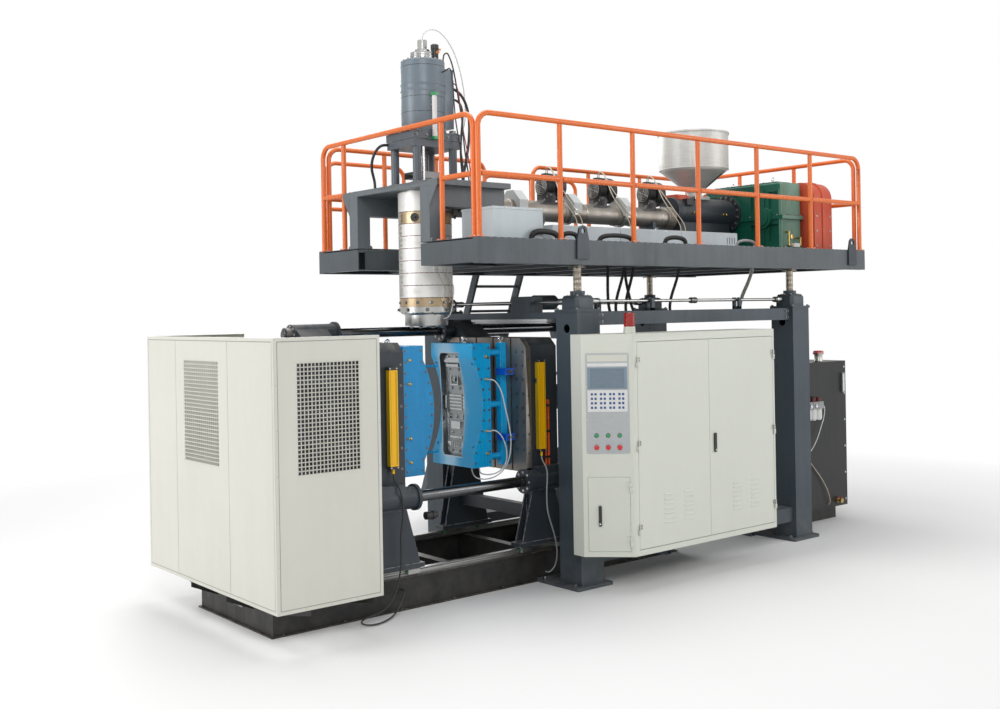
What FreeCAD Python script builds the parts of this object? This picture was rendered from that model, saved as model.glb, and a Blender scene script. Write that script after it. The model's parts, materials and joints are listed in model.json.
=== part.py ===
"""Extrusion blow moulding machine with an accumulator head and a two tie bar clamp.

Millimetres, +Z up. The origin is the point of the floor under the axis of the die head:
X = 0 is the parting plane of the mould, Y = 0 is the centre line of the machine.
+X runs from the clamp to the drive of the extruder, -Y is the operator's side.
"""
import FreeCAD, Part
import math
import os

V = FreeCAD.Vector
os.makedirs("parts", exist_ok=True)

# ---------------------------------------------------------------- driving dimensions

# clearances shared by every mate
RUNNING = 0.05            # radial, a shaft in its own bore
SEAT_GAP = 0.3            # between faces that only face each other
SLIDE_GAP = 0.5           # between a block and its rail

# clamp base and rails
BASE_LEFT = -1965
BASE_RIGHT = 2620
BASE_HALF_WIDTH = 640
BASE_HEIGHT = 275
BASE_FLANGE = 90
BASE_PLATE = 12
BASE_CROSS_COUNT = 6
RAIL_Y = 590
RAIL_WIDTH = 45
RAIL_HEIGHT = 48
RAIL_END_MARGIN = 60

# main frame
FRAME_LEFT = 808
FRAME_RIGHT = 4235
FRAME_HALF_WIDTH = 1170
FRAME_TOP = 2480
COLUMN_SIZE = 280
COLUMN_WALL = 12
FOOT_PLATE_THICKNESS = 30
FOOT_PLATE_MARGIN = 80
FOOT_BOLT_RADIUS = 14
COLUMN_HOLE_RADIUS = 40
COLUMN_HOLE_DROP = 150
BEAM_HEIGHT = 124
BEAM_WIDTH = 200
CROSS_BEAM_HEIGHT = 60
BEAM_WALL = 8
LOW_BEAM_BOTTOM = 200
LOW_BEAM_HEIGHT = 150

# clamp: tie bars stand on one diagonal of the platens
STROKE = 275              # travel of each platen, half the daylight between the moulds
PLATEN_FACE = 740         # casting face from the parting plane, mould open
PLATEN_DEPTH = 320
PLATEN_HALF_WIDTH = 600
PLATEN_HALF_HEIGHT = 620
PLATEN_CORNER = 80
PLATEN_WALL = 34
PLATEN_FRONT_WALL = 60
CLAMP_CENTRE_Z = 1625
TIE_BAR_Y = 630
TIE_BAR_RISE = 690
TIE_BAR_RADIUS = 48
HUB_RADIUS = 95
LOBE_REACH = 1.3          # of the hub radius, along the side of the platen
HUB_LENGTH = 475
HUB_INNER_END = 600
HUB_RING_RADIUS = 112
HUB_RING_LENGTH = 28
TIE_NUT_RADIUS = 66
TIE_NUT_LENGTH = 60
TIE_BAR_PROUD = 12
MOULD_PLATE_THICKNESS = 60
T_SLOT_COUNT = 4
T_SLOT_PITCH = 260
T_SLOT_WIDTH = 22
T_SLOT_HEAD = 38
T_SLOT_DEPTH = 22
REAR_PLATE_X = 2150
REAR_PLATE_THICKNESS = 100
REAR_TIE_END = 2340

# carriages
SHOE_HALF_LENGTH = 310
SHOE_CENTRE_X = 840
SHOE_WIDTH = 130
SHOE_THICKNESS = 40
BLOCK_LENGTH = 120
BLOCK_WIDTH = 96
BLOCK_HEIGHT = 60
BLOCK_PITCH = 420
FOOT_TOP_HALF_LENGTH = 140
FOOT_PLATE = 15
FOOT_BOX_WIDTH = 110
CARRIAGE_BEAM_TOP = 685
CARRIAGE_BEAM_HEIGHT = 115
CARRIAGE_BEAM_DEPTH = 80

# mould
MOULD_BACK = 490
MOULD_HALF_WIDTH = 320
MOULD_BOTTOM = 1055
MOULD_TOP = 2205
MOULD_BULGE = 112
MOULD_LAND = 130
CAVITY_DEPTH = 45
CAVITY_MARGIN = 95
CAVITY_BOW = 90
GUIDE_PIN_RADIUS = 11
GUIDE_PIN_LENGTH = 75
GUIDE_PIN_INSET_Y = 45
GUIDE_PIN_INSET_Z = 190
STAND_OFF_RADIUS = 30
STAND_OFF_INSET = 90
MOULD_BAR_SIZE = 70
MOULD_CLAMP_SIZE = 60
MOULD_CLAMP_REACH = 110

# light curtains on the operator's side of the platens
CURTAIN_HEIGHT = 850
CURTAIN_WIDTH = 85
CURTAIN_DEPTH = 50
CURTAIN_BOTTOM = 1195
CURTAIN_STAND = 12
CURTAIN_OFFSET = 85

# clamp cylinder
CYLINDER_FRONT = 1400
CYLINDER_RADIUS = 125
CYLINDER_BORE = 80
ROD_RADIUS = 55
GLAND_LENGTH = 90
PISTON_LENGTH = 80
PISTON_END_GAP = 10

# sheet metal cover at the clamp end
COVER_LEFT = -2200
COVER_RIGHT = -1285
COVER_HALF_WIDTH = 1160
COVER_BOTTOM = 312
COVER_TOP = 2330
SHEET = 3
COVER_FOLD = 40
COVER_BRACKET = 10
VENT_HEIGHT = 830
VENT_TOP_DROP = 190
VENT_WIDTH = 540
END_VENT_WIDTH = 640
END_VENT_Y = 78
VENT_COLUMNS = 6
VENT_ROWS = 10
VENT_BAR = 14

# control cabinet
CABINET_DEPTH = 450
CABINET_SIDE_DEPTH = 133
CABINET_OVERHANG = 88
CABINET_CORNER_WIDTH = 322
CABINET_LENGTH = 2305
CABINET_LEFT = FRAME_LEFT - CABINET_OVERHANG
CABINET_CORNER = CABINET_LEFT + CABINET_CORNER_WIDTH
CABINET_RIGHT = CABINET_LEFT + CABINET_LENGTH
CABINET_BACK = -FRAME_HALF_WIDTH
CABINET_FRONT = CABINET_BACK - CABINET_DEPTH
CABINET_SIDE_Y = CABINET_BACK - CABINET_SIDE_DEPTH
CABINET_BOTTOM = 330
BEARER_LEFT_INSET = 780
BEARER_RIGHT_INSET = 325
BEARER_X = (CABINET_LEFT + BEARER_LEFT_INSET, CABINET_RIGHT - BEARER_RIGHT_INSET)
BEARER_SIZE = 60
BEARER_INSET = 60
CABINET_TOP = 2280
DOOR_THICKNESS = 22
DOOR_MARGIN = 50
DOOR_TOP_MARGIN = 70
DOOR_GAP = 4
DUCT_SIZE = 60
DUCT_ROWS = 4
SWITCHGEAR_COLUMNS = 5
SWITCHGEAR_HEIGHT = 220
SWITCHGEAR_DEPTH = 70
LOUVER_COUNT = 7
LOUVER_LENGTH = 120
LOUVER_PITCH = 42
LOUVER_RISE = 12
LOUVER_BASE_Z = 200
HINGE_RADIUS = 9
HINGE_HEIGHT = 90
HINGE_STAND = 12
HINGE_GAP = 2
HINGE_PIN_RADIUS = 4.5
HANDLE_LENGTH = 150
HANDLE_WIDTH = 28
HANDLE_DEPTH = 16
HANDLE_Z = 1330
PANEL_WIDTH = 380
PANEL_HEIGHT = 880
PANEL_TOP_DROP = 165
SCREEN_DROP = 125
PANEL_THICKNESS = 4
KEYPAD_HEIGHT = 190
SCREEN_HEIGHT = 190
SERVICE_DOOR_WIDTH = 370
SERVICE_DOOR_HEIGHT = 655
SERVICE_HANDLE_X = -80
SERVICE_DOOR_RISE = 45
BUTTON_RADIUS = 15
MUSHROOM_RADIUS = 22
BUTTON_PITCH = 101
START_BUTTON_Z = 1395
STOP_BUTTON_Z = 1290
BUTTON_STEM_RADIUS = 9
BUTTON_TRAVEL = 5
BEACON_X = CABINET_CORNER + 190
BEACON_Y = CABINET_FRONT + 220
BEACON_RADIUS = 55
BEACON_HEIGHT = 185
BEACON_BASE_HEIGHT = 60

# oil tank behind the frame
TANK_GAP = 10
TANK_LENGTH = 1250
TANK_LEFT = FRAME_RIGHT + TANK_GAP
TANK_RIGHT = TANK_LEFT + TANK_LENGTH
TANK_NEAR = -780
TANK_FAR = 780
TANK_BOTTOM = 160
TANK_TOP = 1850
TANK_WALL = 5
BREATHER_X = TANK_LEFT + 821
BREATHER_Y = TANK_NEAR + 80
BREATHER_RADIUS = 62
BREATHER_NECK = 46
BREATHER_FLANGE = 12
BREATHER_RISE = 86
BREATHER_HEIGHT = 130
GAUGE_INSET = 110
GAUGE_WIDTH = 45
GAUGE_DEPTH = 25
GAUGE_DROP = 140
GAUGE_HEIGHT = 230
AIR_UNIT_X = TANK_LEFT + 415
AIR_UNIT_Z = 1330
AIR_UNIT_DEPTH = 100
AIR_UNIT_COUNT = 3
AIR_BOWL = 130

# lift: four screw jacks on the columns
JACK_BODY = 230
JACK_BODY_HEIGHT = 125
JACK_BASE = 300
JACK_BASE_HEIGHT = 24
JACK_SHAFT_RISE = 95
SCREW_RADIUS = 40
SCREW_HEAD_RADIUS = 75
SCREW_HEAD_HEIGHT = 20
SHAFT_RADIUS = 15
SHAFT_GAP = 6
COUPLING_LENGTH = 80
JACK_BOSS = 40
SCREW_RESERVE = 150
LIFT_MOTOR_Y = -320
LIFT_UP = 200

# platform
PLATFORM_LEFT = -330
PLATFORM_RIGHT = 5250
PLATFORM_NEAR = -FRAME_HALF_WIDTH - 45
PLATFORM_FAR = FRAME_HALF_WIDTH + 195
PLATFORM_BOTTOM = 2900
PLATFORM_TOP = 3120
PLATFORM_FLANGE = 80
PLATFORM_WEB = 10
DECK_THICKNESS = 6
DECK_BEAM_COUNT = 5
NOTCH_NEAR = -390
NOTCH_FAR = 640
NOTCH_END = 450
WALKWAY_FAR = PLATFORM_FAR + 915
WALKWAY_LEFT = 250
WALKWAY_RIGHT = 4050
WALKWAY_BOTTOM = 2980
LUG_X = (840, 4985)
LUG_THICKNESS = 20
LUG_WIDTH = 150
LUG_HEIGHT = 300
LUG_DROP = 170

# guard rails
RAIL_TUBE = 24
GUARD_TOP = 4184
GUARD_BEND = 120
GUARD_EDGE = 40
GUARD_BAYS = 6
GUARD_END_BAYS = 3
HEAD_POST_NEAR = -665
HEAD_POST_FAR = 935
GUARD_CORNER_GAP = 65
GATE_LEFT = 1770
GATE_RIGHT = 2480
OUTER_RAIL_RIGHT = 1310

# ladder through the walkway
LADDER_X = 1735
LADDER_WIDTH = 680
LADDER_TOP_Y = PLATFORM_FAR + 85
LADDER_LEAN = 67
LADDER_FOOT_Z = 260
STILE_WIDTH = 90
STILE_THICKNESS = 30
RUNG_PITCH = 280

# die head, on the gantry
HEAD_RADIUS = 232
BAND_RADIUS = 247
DIE_RADIUS = 200
HEAD_TOP = 3600
HEAD_BOTTOM = 2475
HEAD_CAP = 10
HEAD_CHAMFER = 20
DIE_BOTTOM = 2372
DIE_PIN_RADIUS = 60
DIE_LIP = 8
TOP_BAND = 182            # heights of the heater bands and clamp rings, from the top down
PORT_BAND = 110
BAND_COUNT = 6
CLAMP_RING = 83
FOOT_RING = 49
BARE_FOOT = 25
BAND_GAP = 3
GANTRY_TOP = 3660
GANTRY_PLATE = 50
GANTRY_BEAM = 180
POST_WIDTH = 140
POST_DEPTH = 140
FLARE_REACH = 119
TOP_PLATE_REACH = 95
GANTRY_RIGHT = 520
YOKE_COLUMN_X = 203
YOKE_COLUMN_Y = 175
YOKE_COLUMN_RADIUS = 38
YOKE_PLATE_X = 272
YOKE_PLATE_Y = 216
YOKE_BOTTOM = 4000
YOKE_PLATE = 70
YOKE_STEP = 6
ACCU_RADIUS = 206
ACCU_TOP = 4815
ACCU_COLLAR_RADIUS = 115
ACCU_COLLAR_HEIGHT = 80
ACCU_NECK_RADIUS = 71
ACCU_NECK_HEIGHT = 30
ACCU_CAP_HEIGHT = 90
ACCU_EDGE = 4
ACCU_RING_DROPS = (295, 235)
ACCU_RING_HEIGHT = 20
ACCU_RING_STEP = 6
MANIFOLD_RIGHT = 256
MANIFOLD_Y = (-130, 30)
MANIFOLD_Z = (4200, 4750)
ACCU_CAP_RADIUS = 46
RAM_STROKE = 150
RAM_ROD_RADIUS = 45
RAM_PLATE = 60
RAM_PLATE_INSET = 60
RAM_REST_RISE = 70
PUSH_ROD_RADIUS = 24
PUSH_ROD_X = 100

# extruder
BARREL_Z = 3495
BARREL_RADIUS = 102
BARREL_LEFT = 262
BARREL_FLANGE_RADIUS = 112
BARREL_FLANGE = 70
BARREL_RING_RADIUS = 130
BARREL_RING = 110
BARREL_RIB_COUNT = 5
JACKET_RING_RADIUS = 110
JACKET_RING_WIDTH = 24
JACKET_RING_GAP = 590
STAND_INSETS = (1110, 350)
STAND_BASE = 120
STAND_PLATE = 14
SADDLE_WRAP = 0.5
INLET_RADIUS = 55
INLET_DEPTH = 40
THROAT_LEFT = 3330
THROAT_RIGHT = 4310
THROAT_RADIUS = 172
THROAT_Z = 3574
THROAT_TAPER = 60
THROAT_NECK = 220
FLANGE_RADIUS = 224
FLANGE_THICKNESS = 36
SEAT_PLATE = 30
SEAT_PLATE_WIDTH = 250
HOPPER_X = 3755
HOPPER_RADIUS = 390
HOPPER_TOP = 4470
HOPPER_CONE_TOP = 4060
HOPPER_CONE_BOTTOM = 3810
HOPPER_OUTLET = 80
HOPPER_NECK = 60
HOPPER_FLANGE = 40
HOPPER_FLANGE_THICKNESS = 10
HOPPER_RIM = 10
HOPPER_RIM_HEIGHT = 20
HOPPER_SHEET = 4
BLOWER_X = (1557, 2282, 3029)
BLOWER_RISE = 255         # axis of the fan above the axis of the barrel
BLOWER_RADIUS = 134
BLOWER_WIDTH = 120
BLOWER_MOTOR_RADIUS = 105
BLOWER_MOTOR_LENGTH = 120
BLOWER_EDGE = 12
BLOWER_DUCT_FOOT = (-320, -35)   # along the barrel, from the seam of the fan
BLOWER_DUCT_HEAD = (-105, 60)
BLOWER_DUCT_HALF_DEPTH = 80
HOOD_LENGTH = 110
HOOD_GAP = 420
HOOD_HALF_WIDTH = 150
HOOD_CHAMFER = 100
HOOD_HEIGHT = 190
HOOD_FOOT = 10
GEARBOX_LEFT = 4335
GEARBOX_RIGHT = 4680
GEARBOX_NEAR = -770
GEARBOX_FAR = 330
GEARBOX_TOP = 3890
GEARBOX_SPLIT = 3500
GEARBOX_FOOT = 40
GEARBOX_FOOT_REACH = 30
GEARBOX_CORNER = 24
GEARBOX_FLANGE = 20
GEARBOX_RIB = 18
WINDOW_DEPTH = 30
WINDOW_WIDTH = 120
WINDOW_HEIGHT = 190
WINDOW_Y = (-650, -400, 210)
SIDE_WINDOW_WIDTH = 86
SIDE_WINDOW_HEIGHT = 125
SCALLOP_RADIUS = 620
SCALLOP_DEPTH = 26
BEARING_CAP_RADIUS = 120
BEARING_CAP_Y = -525
COVER_PLATE = 16
GUARD_BOX_LEFT = 4705
GUARD_BOX_RIGHT = 5060
GUARD_BOX_NEAR = -940
GUARD_BOX_FAR = 820
GUARD_BOX_TOP = 3915
GUARD_SHOULDER = 200
GUARD_SEAM = 12
MOTOR_RADIUS = 240
MOTOR_LENGTH = 620
MOTOR_GAP = 90
MOTOR_RISE = 60
MOTOR_SHAFT_RADIUS = 45
MOTOR_FIN_COUNT = 9
MOTOR_FIN = 14
TERMINAL_BOX = (150, 120, 70)

# boxes on the deck
JUNCTION_LEFT = -60
JUNCTION_RIGHT = 500
JUNCTION_NEAR = PLATFORM_NEAR + 135
JUNCTION_FAR = JUNCTION_NEAR + 440
JUNCTION_HEIGHT = 275
LID_HEIGHT = 22
LID_LIP = 4
TRAY_LEFT = 900
TRAY_RIGHT = 3560
TRAY_NEAR = PLATFORM_NEAR + 455
TRAY_FAR = TRAY_NEAR + 200
TRAY_HEIGHT = 170
TRAY_SLOT_COUNT = 4
TRAY_SLOT_PITCH = 40
TRAY_SLOT_WIDTH = 10
TRAY_SLOT_HEIGHT = 70

# ---------------------------------------------------------------- derived places

JACK_LEFT_X = FRAME_LEFT + COLUMN_SIZE / 2
JACK_RIGHT_X = FRAME_RIGHT - COLUMN_SIZE / 2
JACK_Y = FRAME_HALF_WIDTH - COLUMN_SIZE / 2
SHAFT_Z = FRAME_TOP + JACK_SHAFT_RISE
RAIL_TOP = BASE_HEIGHT + RAIL_HEIGHT
SHOE_BOTTOM = BASE_HEIGHT + BLOCK_HEIGHT + SLIDE_GAP * 2
TIE_BARS = ((-TIE_BAR_Y, CLAMP_CENTRE_Z - TIE_BAR_RISE), (TIE_BAR_Y, CLAMP_CENTRE_Z + TIE_BAR_RISE))
MOULD_FACE = STROKE
MOULD_CENTRE_Z = (MOULD_BOTTOM + MOULD_TOP) / 2
PLATE_FACE = PLATEN_FACE - MOULD_PLATE_THICKNESS
GUARD_MID = (PLATFORM_TOP + GUARD_TOP) / 2
ACCU_CREST = ACCU_TOP + ACCU_COLLAR_HEIGHT + ACCU_NECK_HEIGHT + ACCU_CAP_HEIGHT + ACCU_EDGE
BEAM_INNER_Y = BEAM_WIDTH / 2 - JACK_Y
LADDER_SLOPE = math.tan(math.radians(LADDER_LEAN))


# ---------------------------------------------------------------- shape helpers

def block(x_span, y_span, z_span):
    """Box between the two ends of each span."""
    size = V(x_span[1] - x_span[0], y_span[1] - y_span[0], z_span[1] - z_span[0])
    return Part.makeBox(size.x, size.y, size.z, V(x_span[0], y_span[0], z_span[0]))


def rod(start, direction, radius, length):
    """Round bar from a start point."""
    return Part.makeCylinder(radius, length, V(*start), V(*direction))


def ring(start, direction, outer, inner, length):
    """Round tube from a start point."""
    return rod(start, direction, outer, length).cut(rod(start, direction, inner, length))


def outline(points):
    """Closed face through points that all lie in one plane."""
    corners = [V(*point) for point in points]
    return Part.Face(Part.makePolygon(corners + corners[:1]))


def prism_x(yz_points, x_start, length):
    """Profile in the YZ plane, pushed along X."""
    return outline([(x_start, y, z) for y, z in yz_points]).extrude(V(length, 0, 0))


def prism_y(xz_points, y_start, length):
    """Profile in the XZ plane, pushed along Y."""
    return outline([(x, y_start, z) for x, z in xz_points]).extrude(V(0, length, 0))


def prism_z(xy_points, z_start, length):
    """Profile in the XY plane, pushed along Z."""
    return outline([(x, y, z_start) for x, y in xy_points]).extrude(V(0, 0, length))


def turned(rz_points, x=0, y=0):
    """Body of revolution about a vertical axis, from (radius, height) corners."""
    face = outline([(r, 0, z) for r, z in rz_points])
    body = face.revolve(V(0, 0, 0), V(0, 0, 1), 360)
    body.translate(V(x, y, 0))
    return body


def turned_x(xr_points, y=0, z=0):
    """Body of revolution about an axis along X, from (x, radius) corners."""
    face = outline([(x, 0, r) for x, r in xr_points])
    body = face.revolve(V(0, 0, 0), V(1, 0, 0), 360)
    body.translate(V(0, y, z))
    return body


def fused(shapes):
    """One solid out of touching or crossing shapes."""
    first, rest = shapes[0], shapes[1:]
    return first.multiFuse(rest).removeSplitter() if rest else first


def without(shape, tools):
    """The shape after cutting every tool away."""
    return shape.cut(Part.makeCompound(tools)) if tools else shape


def mirrored_x(shape):
    return shape.mirror(V(0, 0, 0), V(1, 0, 0))


def mirrored_y(shape):
    return shape.mirror(V(0, 0, 0), V(0, 1, 0))


def both_sides(shape):
    """The shape and its mirror image across the centre line."""
    return [shape, mirrored_y(shape)]


def square_tube(x_span, y_span, z_span, wall, axis):
    """Rectangular tube open at both ends of its axis."""
    spans = [x_span, y_span, z_span]
    inner = [span if index == "xyz".index(axis) else (span[0] + wall, span[1] - wall)
             for index, span in enumerate(spans)]
    return block(*spans).cut(block(*inner))


def channel_x(x_span, web_y, inward, z_span, flange, wall):
    """U channel along X. Its web stands at web_y and its flanges point inward (+1 or -1)."""
    bottom, top = z_span
    tip = web_y + inward * flange
    inner = web_y + inward * wall
    profile = [(web_y, bottom), (tip, bottom), (tip, bottom + wall), (inner, bottom + wall),
               (inner, top - wall), (tip, top - wall), (tip, top), (web_y, top)]
    return prism_x(profile, x_span[0], x_span[1] - x_span[0])


def channel_y(y_span, web_x, inward, z_span, flange, wall):
    """U channel along Y. Its web stands at web_x and its flanges point inward (+1 or -1)."""
    bottom, top = z_span
    tip = web_x + inward * flange
    inner = web_x + inward * wall
    profile = [(web_x, bottom), (tip, bottom), (tip, bottom + wall), (inner, bottom + wall),
               (inner, top - wall), (tip, top - wall), (tip, top), (web_x, top)]
    return prism_y(profile, y_span[0], y_span[1] - y_span[0])


def spaced(first, last, count):
    """Evenly spaced values that include both ends."""
    return [first + (last - first) * index / (count - 1) for index in range(count)]


def bent_path(points, bend):
    """Wire of straight runs with a tangent arc at each inner corner."""
    corners = [V(*point) for point in points]
    edges = []
    start = corners[0]
    for before, corner, after in zip(corners, corners[1:], corners[2:]):
        to_before = (before - corner).normalize()
        to_after = (after - corner).normalize()
        half = to_before.getAngle(to_after) / 2
        reach = bend / math.tan(half)
        arc_start = corner + to_before * reach
        arc_end = corner + to_after * reach
        middle_way = (to_before + to_after).normalize()
        arc_middle = corner + middle_way * (bend / math.sin(half) - bend)
        edges.append(Part.LineSegment(start, arc_start).toShape())
        edges.append(Part.Arc(arc_start, arc_middle, arc_end).toShape())
        start = arc_end
    edges.append(Part.LineSegment(start, corners[-1]).toShape())
    return Part.Wire(edges)


def tube_along(wire, radius):
    """Round solid swept along a wire."""
    start = wire.Edges[0].firstVertex().Point
    direction = wire.Edges[0].tangentAt(wire.Edges[0].FirstParameter)
    section = Part.Wire(Part.Circle(start, direction, radius).toShape())
    return wire.makePipeShell([section], True, False)


def widened(span, margin):
    return (span[0] - margin, span[1] + margin)


def sheet_box(x_span, y_span, z_span, wall=SHEET):
    """Closed box of sheet metal, hollow inside."""
    inside = block(widened(x_span, -wall), widened(y_span, -wall), widened(z_span, -wall))
    return block(x_span, y_span, z_span).cut(inside)


def save(node, *shapes):
    """Write one node: a solid, or a group of separate solids."""
    solids = [solid for shape in shapes for solid in shape.Solids]
    whole = solids[0] if len(solids) == 1 else Part.makeCompound(solids)
    whole.exportStep("parts/" + node + ".step")


# ---------------------------------------------------------------- base and rails

def base_frame():
    height = (0, BASE_HEIGHT)
    side = channel_x((BASE_LEFT, BASE_RIGHT), -BASE_HALF_WIDTH, 1, height, BASE_FLANGE, BASE_PLATE)
    pieces = both_sides(side)
    inner = BASE_HALF_WIDTH - BASE_PLATE
    span = (-inner, inner)
    end_height = (BASE_PLATE, BASE_HEIGHT - BASE_PLATE)
    slot = slot_y(BASE_LEFT - BASE_PLATE, 0, BASE_HEIGHT * 0.6, 260, 60, 3 * BASE_PLATE)
    end = channel_y(span, BASE_LEFT, 1, end_height, BASE_FLANGE, BASE_PLATE).cut(slot)
    pieces.append(end)
    for x in spaced(BASE_LEFT, BASE_RIGHT, BASE_CROSS_COUNT)[1:-1]:
        pieces.append(channel_y(span, x, 1, end_height, BASE_FLANGE, BASE_PLATE))
    pieces.append(channel_y(span, BASE_RIGHT, -1, end_height, BASE_FLANGE, BASE_PLATE))
    pieces.append(datum_plate())
    pieces += cover_brackets()
    save("base_frame", *pieces)


def datum_plate():
    """Floor plate under the die axis, where the machine is set out from."""
    inner = BASE_HALF_WIDTH - BASE_FLANGE
    return block((-BASE_FLANGE, BASE_FLANGE), (-inner, inner), (0, BASE_PLATE))


def slot_y(x, y, z, length, width, depth):
    """Cutter for a slot lying along Y in a wall across X."""
    straight = (length - width) / 2
    body = block((x, x + depth), (y - straight, y + straight), (z - width / 2, z + width / 2))
    ends = [rod((x, y + side * straight, z), (1, 0, 0), width / 2, depth) for side in (-1, 1)]
    return fused([body] + ends)


def cover_brackets():
    """Gusset brackets that carry the sheet metal cover off the base channels."""
    web = BASE_HALF_WIDTH
    tip = COVER_HALF_WIDTH - SHEET
    seat = COVER_BOTTOM
    drop = 2 * SHEET
    profile = [(web, BASE_HEIGHT * 0.6), (web, BASE_HEIGHT), (web + COVER_FOLD, seat - drop),
               (tip, seat - drop), (tip, seat - COVER_FOLD - drop),
               (web + 3 * COVER_FOLD, seat - 3 * COVER_FOLD)]
    seats = [BASE_LEFT + COVER_FOLD, COVER_RIGHT - 2 * COVER_FOLD]
    brackets = []
    for x in seats:
        gusset = prism_x(profile, x, COVER_BRACKET)
        shelf = block((x, x + COVER_FOLD), (web + COVER_FOLD, tip), (seat - drop, seat))
        brackets += both_sides(fused([gusset, shelf]))
    end_seat = [(COVER_LEFT + SHEET, seat - drop), (BASE_LEFT, seat - drop), (BASE_LEFT, BASE_HEIGHT * 0.6),
                (COVER_LEFT + SHEET, seat - COVER_FOLD - drop)]
    for y in (-BASE_HALF_WIDTH / 2, BASE_HALF_WIDTH / 2):
        gusset = prism_y(end_seat, y, COVER_BRACKET)
        shelf = block((COVER_LEFT + SHEET, BASE_LEFT - SHEET), (y, y + COVER_FOLD), (seat - drop, seat))
        brackets.append(fused([gusset, shelf]))
    return brackets


def guide_rails():
    half = RAIL_WIDTH / 2
    waist = half * 0.72
    profile = [(-half, 0), (half, 0), (half, RAIL_HEIGHT * 0.35), (waist, RAIL_HEIGHT * 0.5),
               (waist, RAIL_HEIGHT * 0.68), (half, RAIL_HEIGHT * 0.8), (half, RAIL_HEIGHT),
               (-half, RAIL_HEIGHT), (-half, RAIL_HEIGHT * 0.8), (-waist, RAIL_HEIGHT * 0.68),
               (-waist, RAIL_HEIGHT * 0.5), (-half, RAIL_HEIGHT * 0.35)]
    placed = [(y - RAIL_Y, z + BASE_HEIGHT) for y, z in profile]
    length = BASE_RIGHT - BASE_LEFT - 2 * RAIL_END_MARGIN
    save("guide_rails", *both_sides(prism_x(placed, BASE_LEFT + RAIL_END_MARGIN, length)))


# ---------------------------------------------------------------- main frame

def column(x, side):
    """Square tube with the seat of a screw jack for its cap, and the foot plate under it."""
    outer = side * FRAME_HALF_WIDTH
    inner = side * (FRAME_HALF_WIDTH - COLUMN_SIZE)
    y_span = (min(outer, inner), max(outer, inner))
    x_span = (x, x + COLUMN_SIZE)
    cap = COLUMN_WALL
    tube = square_tube(x_span, y_span, (FOOT_PLATE_THICKNESS, FRAME_TOP - cap), COLUMN_WALL, "z")
    top = block(x_span, y_span, (FRAME_TOP - cap, FRAME_TOP))
    centre_y = side * JACK_Y
    screw_way = rod((x + COLUMN_SIZE / 2, centre_y, FRAME_TOP - cap), (0, 0, 1), SCREW_RADIUS + cap, cap)
    window = rod((x, centre_y, FRAME_TOP - COLUMN_HOLE_DROP), (1, 0, 0), COLUMN_HOLE_RADIUS, COLUMN_WALL)
    return [without(fused([tube, top]), [screw_way, window]), foot_plate(x_span, side)]


def foot_plate(x_span, side):
    """Floor plate of a column, with a hole for an anchor bolt near each corner."""
    inner = side * (BASE_HALF_WIDTH + SEAT_GAP)
    outer = side * (FRAME_HALF_WIDTH + FOOT_PLATE_MARGIN / 2)
    y_span = (min(inner, outer), max(inner, outer))
    reach = widened(x_span, FOOT_PLATE_MARGIN)
    foot = block(reach, y_span, (0, FOOT_PLATE_THICKNESS))
    foot = foot.makeFillet(FOOT_PLATE_MARGIN / 4, vertical_edges(foot))
    holes = [rod((x, y, 0), (0, 0, 1), FOOT_BOLT_RADIUS, FOOT_PLATE_THICKNESS)
             for x in widened(reach, -FOOT_PLATE_MARGIN / 2) for y in widened(y_span, -FOOT_PLATE_MARGIN)]
    return without(foot, holes)


def vertical_edges(shape):
    return [edge for edge in shape.Edges if abs(edge.tangentAt(edge.FirstParameter).z) > 0.99]


def frame_columns():
    right = FRAME_RIGHT - COLUMN_SIZE
    pieces = [piece for x in (FRAME_LEFT, right) for side in (-1, 1) for piece in column(x, side)]
    save("frame_columns", *pieces)


def frame_beams():
    near = (-JACK_Y - BEAM_WIDTH / 2, -JACK_Y + BEAM_WIDTH / 2)
    long_span = (FRAME_LEFT + COLUMN_SIZE, FRAME_RIGHT - COLUMN_SIZE)
    cross_span = (-FRAME_HALF_WIDTH + COLUMN_SIZE, FRAME_HALF_WIDTH - COLUMN_SIZE)
    left_x = (JACK_LEFT_X - BEAM_WIDTH / 2, JACK_LEFT_X + BEAM_WIDTH / 2)
    right_x = (JACK_RIGHT_X - BEAM_WIDTH / 2, JACK_RIGHT_X + BEAM_WIDTH / 2)
    top_z = (FRAME_TOP - BEAM_HEIGHT, FRAME_TOP)
    low_z = (LOW_BEAM_BOTTOM, LOW_BEAM_BOTTOM + LOW_BEAM_HEIGHT)
    beams = both_sides(square_tube(long_span, near, top_z, BEAM_WALL, "x"))
    beams += both_sides(square_tube(long_span, near, low_z, BEAM_WALL, "x"))
    shallow = (FRAME_TOP - CROSS_BEAM_HEIGHT, FRAME_TOP)
    beams.append(square_tube(left_x, cross_span, shallow, BEAM_WALL, "y"))
    beams.append(square_tube(right_x, cross_span, top_z, BEAM_WALL, "y"))
    beams.append(square_tube(right_x, cross_span, low_z, BEAM_WALL, "y"))
    for x in BEARER_X:
        bearer_y = (CABINET_FRONT + BEARER_INSET, near[0])
        bearer_z = (CABINET_BOTTOM - BEARER_SIZE, CABINET_BOTTOM)
        beams.append(square_tube((x, x + BEARER_SIZE), bearer_y, bearer_z, BEAM_WALL / 2, "y"))
    save("frame_beams", *beams)


# ---------------------------------------------------------------- clamp

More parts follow.
